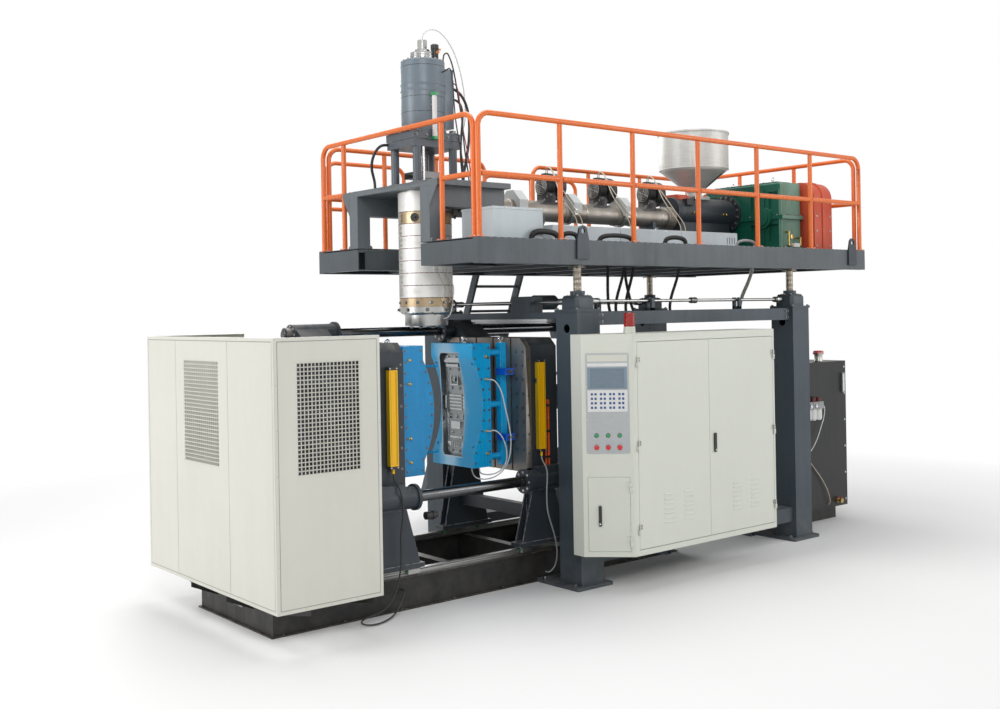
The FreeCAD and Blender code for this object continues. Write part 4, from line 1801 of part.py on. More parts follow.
def blowers():
    save("blowers", *[blower(x) for x in BLOWER_X])


def feed_throat():
    """Cast feed section between the barrel and the gearbox, with the hopper seat on top."""
    r, flange_r = THROAT_RADIUS, FLANGE_RADIUS
    flange_left = THROAT_RIGHT - FLANGE_THICKNESS
    body = turned_x([(THROAT_LEFT, 0), (THROAT_LEFT, r * 0.9), (THROAT_LEFT + THROAT_TAPER, r),
                     (flange_left, r),
                     (flange_left, flange_r), (THROAT_RIGHT, flange_r), (THROAT_RIGHT, 0)], 0, THROAT_Z)
    seat_top = HOPPER_CONE_BOTTOM - HOPPER_NECK
    half_neck, half_seat = THROAT_NECK / 2, SEAT_PLATE_WIDTH / 2
    neck = block((HOPPER_X - half_neck, HOPPER_X + half_neck), (-half_neck, half_neck), (THROAT_Z, seat_top))
    seat = block((HOPPER_X - half_seat, HOPPER_X + half_seat), (-half_seat, half_seat),
                 (seat_top - SEAT_PLATE, seat_top))
    well = rod((HOPPER_X, 0, BARREL_Z), (0, 0, 1), HOPPER_OUTLET * 0.8, seat_top - BARREL_Z)
    foot_x = (THROAT_LEFT + THROAT_TAPER, flange_left - THROAT_TAPER)
    foot = block(foot_x, (-r * 0.7, r * 0.7), (PLATFORM_TOP, THROAT_Z))
    sole = block(widened(foot_x, SEAT_PLATE), (-r, r), (PLATFORM_TOP, PLATFORM_TOP + SEAT_PLATE))
    save("feed_throat", fused([body, neck, seat, foot, sole]).cut(well))


def hopper():
    """Round sheet metal hopper with a cone, an outlet neck on a flange and a rolled rim."""
    sheet, neck, r = HOPPER_SHEET, HOPPER_OUTLET, HOPPER_RADIUS
    low, mid, top = HOPPER_CONE_BOTTOM, HOPPER_CONE_TOP, HOPPER_TOP
    foot = low - HOPPER_NECK
    flange_top = foot + HOPPER_FLANGE_THICKNESS
    rim_foot = top - HOPPER_RIM_HEIGHT
    profile = [(neck, foot), (neck + HOPPER_FLANGE, foot), (neck + HOPPER_FLANGE, flange_top),
               (neck + sheet, flange_top),
               (neck + sheet, low), (r, mid), (r, rim_foot), (r + HOPPER_RIM, rim_foot),
               (r + HOPPER_RIM, top),
               (r - sheet, top), (r - sheet, mid + sheet), (neck, low + sheet)]
    save("hopper", turned(profile, HOPPER_X, 0))


def gearbox():
    """Parallel shaft reducer: a ribbed case in two halves, with windows, bearing caps and a cover."""
    x_span, y_span = (GEARBOX_LEFT, GEARBOX_RIGHT), (GEARBOX_NEAR, GEARBOX_FAR)
    sill = PLATFORM_TOP + GEARBOX_FOOT
    case = block(x_span, y_span, (sill, GEARBOX_TOP))
    case = case.makeFillet(GEARBOX_CORNER, [edge for edge in case.Edges if edge.BoundBox.ZMax > sill + SHEET])
    case = without(case, case_windows(sill))
    split = (GEARBOX_SPLIT - GEARBOX_FLANGE, GEARBOX_SPLIT + GEARBOX_FLANGE)
    pieces = [case, block(widened(x_span, GEARBOX_FLANGE), widened(y_span, GEARBOX_FLANGE), split)]
    reach = GEARBOX_FOOT_REACH
    pieces.append(block(widened(x_span, GEARBOX_RIB), widened(y_span, reach), (PLATFORM_TOP, sill)))
    rib_z = (sill, GEARBOX_TOP - 3 * GEARBOX_CORNER)
    between = [(left + right) / 2 for left, right in zip(WINDOW_Y, WINDOW_Y[1:])]
    for y in [WINDOW_Y[0] - WINDOW_WIDTH * 0.7] + between:
        pieces.append(block(widened(x_span, GEARBOX_RIB), (y - GEARBOX_RIB / 2, y + GEARBOX_RIB / 2), rib_z))
    boss_length = GEARBOX_LEFT - THROAT_RIGHT
    pieces.append(rod((THROAT_RIGHT, 0, THROAT_Z), (1, 0, 0), FLANGE_RADIUS, boss_length))
    cap_start = GEARBOX_LEFT - boss_length
    for share in (1, 0.72):
        cap_start -= GEARBOX_FLANGE * share
        length = GEARBOX_LEFT - cap_start
        pieces.append(rod((cap_start, BEARING_CAP_Y, GEARBOX_SPLIT), (1, 0, 0), BEARING_CAP_RADIUS * share,
                          length))
    lid_y = widened(y_span, -4 * GEARBOX_CORNER)
    pieces.append(block(widened(x_span, -2 * GEARBOX_CORNER), lid_y,
                        (GEARBOX_TOP, GEARBOX_TOP + COVER_PLATE)))
    save("gearbox", fused(pieces))


def case_windows(sill):
    """Cutters for the sunk windows of the case and for the hollow of its near end."""
    low = (sill + GEARBOX_SPLIT) / 2
    high = (GEARBOX_SPLIT + GEARBOX_TOP) / 2
    cutters = []
    for z in (low, high):
        z_span = (z - WINDOW_HEIGHT / 2, z + WINDOW_HEIGHT / 2)
        for y in WINDOW_Y:
            y_span = (y - WINDOW_WIDTH / 2, y + WINDOW_WIDTH / 2)
            cutters.append(block((GEARBOX_LEFT, GEARBOX_LEFT + WINDOW_DEPTH), y_span, z_span))
            cutters.append(block((GEARBOX_RIGHT - WINDOW_DEPTH, GEARBOX_RIGHT), y_span, z_span))
        middle = (GEARBOX_LEFT + GEARBOX_RIGHT) / 2
        x_span = (middle - SIDE_WINDOW_WIDTH / 2, middle + SIDE_WINDOW_WIDTH / 2)
        side_z = (z - SIDE_WINDOW_HEIGHT / 2, z + SIDE_WINDOW_HEIGHT / 2)
        cutters.append(block(x_span, (GEARBOX_NEAR, GEARBOX_NEAR + 2 * WINDOW_DEPTH), side_z))
        cutters.append(block(x_span, (GEARBOX_FAR - WINDOW_DEPTH, GEARBOX_FAR), side_z))
    axis_y = GEARBOX_NEAR + SCALLOP_DEPTH - SCALLOP_RADIUS
    middle = (GEARBOX_LEFT + GEARBOX_RIGHT) / 2
    cutters.append(rod((middle, axis_y, sill), (0, 0, 1), SCALLOP_RADIUS, GEARBOX_TOP - sill))
    return cutters


def drive_motor():
    """Main motor beside the gearbox, on the far side, on its own slide base."""
    r = MOTOR_RADIUS
    y = GEARBOX_FAR + MOTOR_GAP + r
    z = PLATFORM_TOP + MOTOR_RISE + r
    x = GUARD_BOX_LEFT - MOTOR_LENGTH - MOTOR_RISE
    end = x + MOTOR_LENGTH
    profile = [(x, 0), (x, r * 0.7), (x + MOTOR_FIN, r * 0.85)]
    for fin_x in spaced(x + 4 * MOTOR_FIN, end - 5 * MOTOR_FIN, MOTOR_FIN_COUNT):
        profile += [(fin_x, r * 0.85), (fin_x, r), (fin_x + MOTOR_FIN, r), (fin_x + MOTOR_FIN, r * 0.85)]
    profile += [(end, r * 0.85), (end, MOTOR_SHAFT_RADIUS), (end + MOTOR_RISE, MOTOR_SHAFT_RADIUS),
                (end + MOTOR_RISE, 0)]
    width, depth, height = TERMINAL_BOX
    box_x, box_top = x + MOTOR_LENGTH / 2, z + r + height
    terminal_box = block((box_x - width / 2, box_x + width / 2), (y - depth / 2, y + depth / 2), (z, box_top))
    base_x = (x + MOTOR_RISE, end - MOTOR_RISE)
    base = block(base_x, (y - r * 0.7, y + r * 0.7), (PLATFORM_TOP, z - r * 0.7))
    slides = block(widened(base_x, MOTOR_RISE / 2), (y - r * 0.9, y + r * 0.9),
                   (PLATFORM_TOP, PLATFORM_TOP + MOTOR_FIN))
    save("drive_motor", fused([turned_x(profile, y, z), terminal_box, base, slides]))


def guard_case(x_span, margin):
    """Box of the belt guard with its two top shoulders rounded, shrunk by a margin."""
    y_span = widened((GUARD_BOX_NEAR, GUARD_BOX_FAR), -margin)
    case = block(widened(x_span, -margin), y_span, (PLATFORM_TOP + margin, GUARD_BOX_TOP - margin))
    shoulders = [edge for edge in case.Edges
                 if edge.BoundBox.ZMin > GUARD_BOX_TOP - margin - SEAT_GAP
                 and abs(edge.tangentAt(edge.FirstParameter).x) > 0.99]
    return case.makeFillet(GUARD_SHOULDER - margin, shoulders)


def belt_guard():
    """Sheet metal guard over the belts, with rounded shoulders and a seam flange round its middle."""
    x_span = (GUARD_BOX_LEFT, GUARD_BOX_RIGHT)
    middle = (GUARD_BOX_LEFT + GUARD_BOX_RIGHT) / 2
    shell = guard_case(x_span, GUARD_SEAM)
    flange = guard_case((middle - 2 * GUARD_SEAM, middle + 2 * GUARD_SEAM), 0)
    save("belt_guard", fused([shell, flange]).cut(guard_case(x_span, GUARD_SEAM + SHEET)))


def deck_boxes():
    """Junction box with its lid, and the long cable tray beside the barrel."""
    z = PLATFORM_TOP
    x_span, y_span = (JUNCTION_LEFT, JUNCTION_RIGHT), (JUNCTION_NEAR, JUNCTION_FAR)
    lid_foot = z + JUNCTION_HEIGHT - LID_HEIGHT
    box = sheet_box(x_span, y_span, (z, lid_foot))
    lid = block(widened(x_span, LID_LIP), widened(y_span, LID_LIP), (lid_foot, z + JUNCTION_HEIGHT))
    tray = sheet_box((TRAY_LEFT, TRAY_RIGHT), (TRAY_NEAR, TRAY_FAR), (z, z + TRAY_HEIGHT))
    slot_z = (z + (TRAY_HEIGHT - TRAY_SLOT_HEIGHT) / 2, z + (TRAY_HEIGHT + TRAY_SLOT_HEIGHT) / 2)
    slots = []
    for index in range(TRAY_SLOT_COUNT):
        x = TRAY_RIGHT - TRAY_SLOT_PITCH * (index + 1)
        slots.append(block((x - TRAY_SLOT_WIDTH, x), (TRAY_NEAR, TRAY_NEAR + SHEET), slot_z))
    save("deck_boxes", box, lid, without(tray, slots))


# ---------------------------------------------------------------- cords

CURTAIN_CABLE_RADIUS = 7
LEFT_CABLE = [(-825, -637, 1152), (-825, -639, 1118), (-824, -684, 1074), (-818, -724, 1028),
              (-808, -739, 960),
              (-800, -738, 880), (-799, -728, 780), (-815, -712, 630), (-803, -706, 470), (-822, -706, 310),
              (-868, -714, 180), (-945, -728, 92), (-1045, -742, 50), (-1150, -754, 44), (-1232, -772, 34),
              (-1282, -818, 24), (-1262, -876, 16), (-1188, -898, 13), (-1095, -872, 13), (-1000, -824, 15),
              (-915, -772, 30), (-845, -730, 75), (-795, -706, 130), (-769, -686, 170), (-765.3, -664, 177.8),
              (-765, -640.3, 178)]
RIGHT_CABLE = [(825, -637, 1152), (825, -639, 1118), (823, -684, 1074), (814, -724, 1028), (803, -739, 960),
               (795, -738, 880), (800, -728, 790), (815, -712, 690), (842, -706, 590), (888, -703, 480),
               (925, -708, 350), (938, -708, 230), (920, -704, 140), (884, -696, 92), (852, -684, 74),
               (848.3, -664, 72), (848, -640.3, 72)]

AIR_HOSE_RADIUS = 5
# x from the right face of the frame
AIR_HOSES = [[(377.7, -830, 1375), (310, -832, 1372), (255, -828, 1320), (220, -822, 1235), (227, -818, 1130),
              (275, -812, 1020), (340, -806, 915), (420, -800, 810), (515, -800, 710), (615, -800, 615),
              (710, -802, 520), (785, -806, 420), (835, -810, 330), (855, -811, 262), (859, -806, 224),
              (860, -793, 205.3), (860, -780.3, 205)],
             [(672.3, -830, 1375), (723, -830.4, 1374), (759, -828, 1318), (745, -822, 1210),
              (690, -818, 1110),
              (615, -836, 1020), (535, -845, 930), (445, -845, 850), (345, -842, 790), (245, -840, 740),
              (155, -848, 708), (85, -872, 692), (43, -912, 690), (0.3, -914, 690)]]

DROP_HOSE_RADIUS = 16
DROP_HOSES = [(1570, 1574, 0), (1805, 1645, 0), (1933, 1782, 0), (1838, 1955, 50), (2600, 2409, 0)]
CONDUIT_RADIUS = 20
CONDUIT = (3775, 3502, 0)
# share of the way along x, y from the inner face of the near beam, z
DROP_POINTS = [(0, 130, PLATFORM_TOP - DECK_THICKNESS - SEAT_GAP), (0, 129.5, 2990), (0.12, 133, 2860),
               (0.36, 140, 2740), (0.66, 141, 2630), (0.86, 134, 2530), (0.97, 110, 2455), (1, 62, 2405.6),
               (1, SEAT_GAP, 2405)]

HEAD_HOSES = [(13, [(MANIFOLD_RIGHT + SEAT_GAP, -50, 4600), (306, -50.6, 4599.2), (385, -62, 4560),
                    (440, -78, 4470),
                    (466, -86, 4360), (472, -88, 4230), (460, -86, 4080), (430, -80, 3920), (404, -76, 3800),
                    (394, -75, 3720), (393, -75, GANTRY_TOP + SEAT_GAP)]),
              (11, [(MANIFOLD_RIGHT + SEAT_GAP, -110, 4480), (300, -110.6, 4479.2), (344, -116, 4448),
                    (364, -121, 4385),
                    (362, -126, 4300), (344, -130, 4180), (324, -138, 4050), (318, -148, 3920),
                    (328, -154, 3790),
                    (330, -155, GANTRY_TOP + SEAT_GAP)]),
              (13, [(-266.3, 200, 4050), (-318, 200, 4050), (-357, 216, 4024), (-381, 246, 3975),
                    (-387, 285, 3905),
                    (-370, 318, 3830), (-340, 336, 3768), (-319, 344.6, 3715),
                    (-318, 345, GANTRY_TOP + SEAT_GAP)]),
              (6, [(0, 0, ACCU_CREST + SEAT_GAP), (2, 0, 5064), (45, -4, 5112), (120, -8, 5140),
                   (205, -12, 5118),
                   (285, -16, 5050), (350, -20, 4960), (400, -24, 4840), (438, -26, 4710), (462, -28, 4570),
                   (472, -30, 4430), (462, -34, 4310), (425, -42, 4210), (370, -56, 4140),
                   (322, -69.3, 4105.5),
                   (YOKE_PLATE_X + SEAT_GAP, -70, 4105)])]


def cord_path(points):
    """Straight runs with an arc at each inner point, as large as its two runs allow."""
    corners = [V(*point) for point in points]
    edges, radii = [], []
    start = corners[0]
    for before, corner, after in zip(corners, corners[1:], corners[2:]):
        to_before, to_after = (before - corner), (after - corner)
        reach = 0.45 * min(to_before.Length, to_after.Length)
        to_before.normalize()
        to_after.normalize()
        half_turn = (math.pi - to_before.getAngle(to_after)) / 2
        radius = reach / math.tan(half_turn)
        arc_start, arc_end = corner + to_before * reach, corner + to_after * reach
        bow = radius / math.cos(half_turn) - radius
        middle = corner + (to_before + to_after).normalize() * bow
        edges.append(Part.LineSegment(start, arc_start).toShape())
        edges.append(Part.Arc(arc_start, middle, arc_end).toShape())
        radii.append(radius)
        start = arc_end
    edges.append(Part.LineSegment(start, corners[-1]).toShape())
    return Part.Wire(edges), radii


def cord(name, radius, points):
    """Solid tube along a cord's route. Its length and bend radii are printed."""
    path, radii = cord_path(points)
    tube = tube_along(path, radius)
    expected = math.pi * radius ** 2 * path.Length
    print(name, "length", round(path.Length), "volume ratio", round(tube.Volume / expected, 3),
          "radii", [round(bend) for bend in radii])
    return tube


def drop_hose_route(top_x, bottom_x, behind):
    """Route from the deck down to the inside of the near beam. It hangs back by the last value."""
    points = [(top_x + (bottom_x - top_x) * share, BEAM_INNER_Y + y + behind, z) for share, y,
              z in DROP_POINTS]
    end_x, end_y, end_z = points[-1]
    return points[:-1] + [(end_x, end_y - behind, end_z)]


def cords():
    save("curtain_cable_left", cord("left curtain cable", CURTAIN_CABLE_RADIUS, LEFT_CABLE))
    save("curtain_cable_right", cord("right curtain cable", CURTAIN_CABLE_RADIUS, RIGHT_CABLE))
    air_routes = [[(FRAME_RIGHT + x, y, z) for x, y, z in route] for route in AIR_HOSES]
    save("air_hoses", *[cord("air hose", AIR_HOSE_RADIUS, route) for route in air_routes])
    hoses = [cord("drop hose", DROP_HOSE_RADIUS, drop_hose_route(*ends)) for ends in DROP_HOSES]
    hoses.append(cord("conduit", CONDUIT_RADIUS, drop_hose_route(*CONDUIT)))
    hoses += [cord("head hose", radius, route) for radius, route in HEAD_HOSES]
    save("platform_hoses", *hoses)


# ---------------------------------------------------------------- all nodes

BUTTONS = [(index * BUTTON_PITCH, START_BUTTON_Z, BUTTON_RADIUS) for index in (-1, 0, 1)]
BUTTONS += [(index * BUTTON_PITCH, STOP_BUTTON_Z, MUSHROOM_RADIUS) for index in (-1, 0, 1)]

base_frame()
guide_rails()
frame_columns()
frame_beams()
clamp_unit()
clamp_cover()
cabinet_shell()
cabinet_plate()
cabinet_doors()
operator_panel()
push_buttons()
beacon()
oil_tank()
jack_gearboxes()
lift_shafts()
jack_screws()
platform_frame()
guard_rails()
ladder()
head_gantry()
die_head()
heater_bands()
head_yoke()
accumulator_cylinder()
accumulator_ram()
barrel()
blowers()
feed_throat()
hopper()
gearbox()
drive_motor()
belt_guard()
deck_boxes()
cords()
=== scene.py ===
"""Finishes and fittings of an extrusion blow moulding machine, built round its CAD frame, in metres.

+X runs from the clamp cover to the extruder drive, +Z is up and -Y is the operator's side. The places and sizes of
the pieces are written in millimetres.
"""
import json
import math
import sys

import bmesh
import bpy
from mathutils import Matrix, Vector
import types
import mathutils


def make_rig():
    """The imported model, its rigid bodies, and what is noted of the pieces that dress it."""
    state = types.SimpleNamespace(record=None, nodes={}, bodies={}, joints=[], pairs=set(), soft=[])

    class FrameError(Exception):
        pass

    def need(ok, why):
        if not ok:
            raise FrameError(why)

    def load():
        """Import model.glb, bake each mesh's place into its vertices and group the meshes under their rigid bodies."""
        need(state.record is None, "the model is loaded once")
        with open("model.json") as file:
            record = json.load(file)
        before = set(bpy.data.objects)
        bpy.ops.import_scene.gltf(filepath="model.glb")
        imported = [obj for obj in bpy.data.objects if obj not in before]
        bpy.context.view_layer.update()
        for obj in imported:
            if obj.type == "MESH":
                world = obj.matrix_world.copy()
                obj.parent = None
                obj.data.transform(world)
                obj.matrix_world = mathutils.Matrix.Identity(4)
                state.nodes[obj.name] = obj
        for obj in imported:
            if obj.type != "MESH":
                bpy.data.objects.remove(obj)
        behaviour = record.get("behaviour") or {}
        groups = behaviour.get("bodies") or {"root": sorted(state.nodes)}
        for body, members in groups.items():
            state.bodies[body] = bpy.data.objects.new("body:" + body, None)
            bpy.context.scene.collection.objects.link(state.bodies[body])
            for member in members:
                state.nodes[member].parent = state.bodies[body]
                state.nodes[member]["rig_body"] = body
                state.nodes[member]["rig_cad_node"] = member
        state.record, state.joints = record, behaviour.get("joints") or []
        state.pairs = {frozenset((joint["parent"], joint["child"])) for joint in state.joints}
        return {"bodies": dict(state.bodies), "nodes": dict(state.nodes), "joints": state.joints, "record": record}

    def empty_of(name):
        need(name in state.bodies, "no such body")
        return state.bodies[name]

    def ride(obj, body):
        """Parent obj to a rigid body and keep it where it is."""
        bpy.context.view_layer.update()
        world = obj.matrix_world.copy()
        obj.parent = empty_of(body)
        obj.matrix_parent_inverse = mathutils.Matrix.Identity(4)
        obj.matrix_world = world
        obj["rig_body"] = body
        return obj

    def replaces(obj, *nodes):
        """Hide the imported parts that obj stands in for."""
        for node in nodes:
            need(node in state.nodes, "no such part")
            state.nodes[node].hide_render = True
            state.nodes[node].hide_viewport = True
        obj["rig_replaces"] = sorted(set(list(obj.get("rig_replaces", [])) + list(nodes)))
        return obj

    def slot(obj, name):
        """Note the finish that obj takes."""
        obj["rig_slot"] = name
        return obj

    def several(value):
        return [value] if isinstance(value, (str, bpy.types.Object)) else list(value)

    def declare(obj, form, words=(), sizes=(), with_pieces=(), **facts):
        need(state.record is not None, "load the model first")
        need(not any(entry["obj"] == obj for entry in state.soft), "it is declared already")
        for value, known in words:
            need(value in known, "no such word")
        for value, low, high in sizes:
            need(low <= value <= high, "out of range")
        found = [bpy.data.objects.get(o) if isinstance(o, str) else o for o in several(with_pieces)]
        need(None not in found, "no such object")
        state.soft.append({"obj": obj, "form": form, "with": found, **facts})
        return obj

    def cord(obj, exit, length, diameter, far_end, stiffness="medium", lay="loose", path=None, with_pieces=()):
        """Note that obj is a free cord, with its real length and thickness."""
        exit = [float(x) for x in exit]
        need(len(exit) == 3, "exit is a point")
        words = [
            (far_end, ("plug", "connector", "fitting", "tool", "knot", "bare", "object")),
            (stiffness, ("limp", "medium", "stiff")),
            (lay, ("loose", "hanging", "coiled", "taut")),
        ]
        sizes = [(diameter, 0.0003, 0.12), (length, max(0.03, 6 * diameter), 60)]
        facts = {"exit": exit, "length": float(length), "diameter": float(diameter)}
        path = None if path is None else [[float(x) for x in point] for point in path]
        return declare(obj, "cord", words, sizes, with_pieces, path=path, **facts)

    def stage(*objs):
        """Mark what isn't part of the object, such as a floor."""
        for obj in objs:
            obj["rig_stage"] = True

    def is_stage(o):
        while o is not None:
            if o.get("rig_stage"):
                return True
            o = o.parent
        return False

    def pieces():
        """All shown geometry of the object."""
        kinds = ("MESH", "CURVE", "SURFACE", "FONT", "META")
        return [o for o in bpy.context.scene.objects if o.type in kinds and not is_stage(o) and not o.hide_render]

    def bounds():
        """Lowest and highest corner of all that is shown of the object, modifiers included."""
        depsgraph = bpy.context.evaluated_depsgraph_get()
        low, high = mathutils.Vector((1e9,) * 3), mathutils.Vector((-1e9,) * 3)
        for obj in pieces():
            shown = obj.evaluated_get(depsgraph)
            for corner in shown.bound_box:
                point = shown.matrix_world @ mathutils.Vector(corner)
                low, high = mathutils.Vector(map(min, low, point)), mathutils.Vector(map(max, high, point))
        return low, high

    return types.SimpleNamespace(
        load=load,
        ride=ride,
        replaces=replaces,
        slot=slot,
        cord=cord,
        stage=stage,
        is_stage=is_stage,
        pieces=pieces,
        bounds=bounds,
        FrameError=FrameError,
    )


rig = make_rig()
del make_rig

bl_info = {
    "name": "Blow Moulding Machine",
    "version": (1, 0, 0),
    "blender": (4, 5, 0),
    "location": "3D View > Sidebar > Machine",
    "description": "Finishes and fittings of a blow moulding machine round its CAD frame",
    "category": "Add Mesh",
}

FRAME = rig.load()
CAD_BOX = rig.bounds()
SLOT_OF = {part["node"]: part["material_slot"] for part in FRAME["record"]["subparts"]}
BODY_OF = {node: body for body, nodes in FRAME["record"]["behaviour"]["bodies"].items() for node in nodes}
SMOOTH_ANGLE = math.radians(32)
MERGE_DISTANCE = 2e-5
MM = 0.001
FULL_TURN = 2 * math.pi
ANYWHERE = (-1e5, 1e5)
SHARP_EDGE = math.radians(48)
SHORTEST_BROKEN_EDGE = 2.2
FLAT_ENOUGH = math.radians(0.6)
ROUNDED_END = 0.15
UP = (0, 0, 1)
DOWN = (0, 0, -1)
NEAR = (0, -1, 0)
FAR = (0, 1, 0)
RIGHT = (1, 0, 0)
LEFT = (-1, 0, 0)


def linear(colour):
    """Scene linear colour of a display colour."""
    return tuple(c / 12.92 if c <= 0.04045 else ((c + 0.055) / 1.055) ** 2.4 for c in colour)


# ---------------------------------------------------------------- settings

# Display colours: red, green and blue.
PAINTS = {
    "cream": (0.83, 0.84, 0.80), "frame_slate": (0.225, 0.27, 0.305), "platen_slate": (0.175, 0.205, 0.235),
    "platform_grey": (0.30, 0.33, 0.35), "gantry_grey": (0.40, 0.43, 0.45), "base_black": (0.055, 0.055, 0.06),
    "rail_orange": (0.90, 0.44, 0.16), "gear_green": (0.07, 0.38, 0.30), "guard_coral": (0.80, 0.33, 0.22),
    "mould_blue": (0.05, 0.67, 0.92), "mould_deep_blue": (0.03, 0.58, 0.83), "clamp_blue": (0.05, 0.38, 0.85),
    "curtain_yellow": (0.95, 0.72, 0.0), "tank_black": (0.04, 0.046, 0.053), "cylinder_grey": (0.45, 0.50, 0.54),
    "blower_black": (0.075, 0.075, 0.08), "motor_blue": (0.16, 0.30, 0.42),
    "hood_grey": (0.76, 0.78, 0.78), "box_grey": (0.75, 0.795, 0.815), "yoke_grey": (0.33, 0.36, 0.39),
    # The gearbox green made paler: a painted highlight on the near end of the gearbox.
    "cover_green": (0.40, 0.56, 0.49), "pipe_orange": (0.85, 0.33, 0.08), "cover_white": (0.82, 0.82, 0.78),
}


def paint_properties():
    return {name: bpy.props.FloatVectorProperty(
        name=name.replace("_", " ").capitalize(), description="Colour of the " + name.replace("_", " ") + " paint",
        subtype="COLOR", size=3, min=0, max=1, default=linear(colour)) for name, colour in PAINTS.items()}


class MachinePaints(bpy.types.PropertyGroup):
    """Colours of the painted pieces."""
    __annotations__ = paint_properties()


def length_property(name, default, description):
    return bpy.props.FloatProperty(name=name, description=description, default=default, min=0, unit="LENGTH")


class MachineSizes(bpy.types.PropertyGroup):
    """Sizes of fittings that repeat."""
    bolt_radius: length_property("Bolt radius", 0.012, "Radius of an ordinary bolt head")
    screw_radius: length_property("Screw radius", 0.005, "Radius of a small sheet metal screw head")
    vent_bar: length_property("Vent bar", 0.008, "Width of the metal left between two vent holes")
    edge: length_property("Edge", 0.003, "Width of the broken edge of a casting")
    vent_columns: bpy.props.IntProperty(name="Vent columns", description="Holes across a vent", default=17, min=2)
    vent_rows: bpy.props.IntProperty(name="Vent rows", description="Holes up a vent", default=26, min=2)


def paint(name):
    return tuple(getattr(bpy.context.scene.machine_paints, name))


def sizes():
    return bpy.context.scene.machine_sizes


# ---------------------------------------------------------------- node trees

def feed(tree, socket, value):
    """Links a value to an input, or sets it there when it is plain."""
    if isinstance(value, bpy.types.NodeSocket):
        tree.links.new(value, socket)
    else:
        socket.default_value = value


def add_node(tree, kind, inputs=None, **settings):
    """A node with its settings made and each named input linked or given its value."""
    made = tree.nodes.new(kind)
    for key, value in settings.items():
        setattr(made, key, value)
    for key, value in (inputs or {}).items():
        feed(tree, made.inputs[key], value)
    return made


def new_group(name, kind, inputs, outputs):
    """An empty node group with its sockets, and its input and output nodes."""
    tree = bpy.data.node_groups.new(name, kind)
    for in_out, sockets in (("INPUT", inputs), ("OUTPUT", outputs)):
        for label, socket_type in sockets:
            tree.interface.new_socket(name=label, in_out=in_out, socket_type="NodeSocket" + socket_type)
    return tree, tree.nodes.new("NodeGroupInput").outputs, tree.nodes.new("NodeGroupOutput").inputs


def math_node(tree, operation, a, b=0.0, clamp=False):
    return add_node(tree, "ShaderNodeMath", {0: a, 1: b}, operation=operation, use_clamp=clamp).outputs[0]


def times(tree, a, b, clamp=False):
    return math_node(tree, "MULTIPLY", a, b, clamp)


def plus(tree, a, b, clamp=False):
    return math_node(tree, "ADD", a, b, clamp)


def less(tree, a, b):
    return math_node(tree, "SUBTRACT", a, b)


def mix_colour(tree, factor, a, b, blend="MIX"):
    made = add_node(tree, "ShaderNodeMix", data_type="RGBA", blend_type=blend)
    for index, value in ((0, factor), (6, a), (7, b)):
        plain = index and not isinstance(value, bpy.types.NodeSocket) and len(value) == 3
        feed(tree, made.inputs[index], (*value, 1) if plain else value)
    return made.outputs[2]


def ramp(tree, value, low, high):
    """The value stretched so that low gives 0 and high gives 1."""
    return add_node(tree, "ShaderNodeMapRange", {"Value": value, "From Min": low, "From Max": high}).outputs[0]


def place(tree, stretch=(1, 1, 1)):
    """Object coordinates, stretched along each axis."""
    where = tree.nodes.new("ShaderNodeTexCoord").outputs["Object"]
    return add_node(tree, "ShaderNodeMapping", {"Vector": where, "Scale": stretch}).outputs[0]


def noise(tree, where, scale, detail=4.0, roughness=0.6):
    return add_node(tree, "ShaderNodeTexNoise", {"Vector": where, "Scale": scale, "Detail": detail,
                                                 "Roughness": roughness}).outputs["Fac"]


def make_mottle():
    """Slow changes of tone, fine speckle and vertical runs over a surface."""
    tree, given, result = new_group("surface mottle", "ShaderNodeTree",
                                    [("Colour", "Color"), ("Amount", "Float"), ("Scale", "Float")],
                                    [("Colour", "Color"), ("Tone", "Float")])
    broad = noise(tree, place(tree), given["Scale"], 3)
    fine = noise(tree, place(tree), times(tree, given["Scale"], 22.0), 2)
    runs = noise(tree, place(tree, (9, 9, 0.7)), given["Scale"], 3)
    tone = plus(tree, times(tree, broad, 0.5), times(tree, runs, 0.35))
    tone = plus(tree, tone, times(tree, fine, 0.15))
    shade = ramp(tree, tone, 0.36, 0.62)
    dark = mix_colour(tree, 1.0, given["Colour"], (0.62, 0.60, 0.57), "MULTIPLY")
    strength = times(tree, less(tree, 1.0, shade), given["Amount"], True)
    tree.links.new(mix_colour(tree, strength, given["Colour"], dark), result["Colour"])
    tree.links.new(shade, result["Tone"])
    return tree


def make_edge_wear():
    """Mask of broken paint along the edges that a piece's edge attribute marks."""
    tree, given, result = new_group("edge wear", "ShaderNodeTree", [("Amount", "Float"), ("Scale", "Float")],
                                    [("Mask", "Float")])
    edge = add_node(tree, "ShaderNodeAttribute", attribute_name="edge").outputs["Fac"]
    chips = noise(tree, place(tree), given["Scale"], 5, 0.7)
    level = less(tree, 0.72, times(tree, given["Amount"], 0.3))
    chips = ramp(tree, less(tree, chips, level), -0.04, 0.04)
    tree.links.new(times(tree, edge, chips, True), result["Mask"])
    return tree


def make_dust():
    """Mask of dust on faces that look up, and of splashed dirt near the floor."""
    tree, given, result = new_group("settled dust", "ShaderNodeTree", [("Amount", "Float")], [("Mask", "Float")])
    normal = tree.nodes.new("ShaderNodeNewGeometry").outputs["Normal"]
    up = ramp(tree, add_node(tree, "ShaderNodeSeparateXYZ", {0: normal}).outputs["Z"], 0.35, 0.95)
    height = add_node(tree, "ShaderNodeSeparateXYZ", {0: place(tree)}).outputs["Z"]
    low = times(tree, ramp(tree, height, 0.5, 0.0), 0.45)
    patches = ramp(tree, noise(tree, place(tree), 7.0, 5), 0.3, 0.75)
    mask = times(tree, math_node(tree, "MAXIMUM", up, low), patches)
    tree.links.new(times(tree, mask, given["Amount"], True), result["Mask"])
    return tree


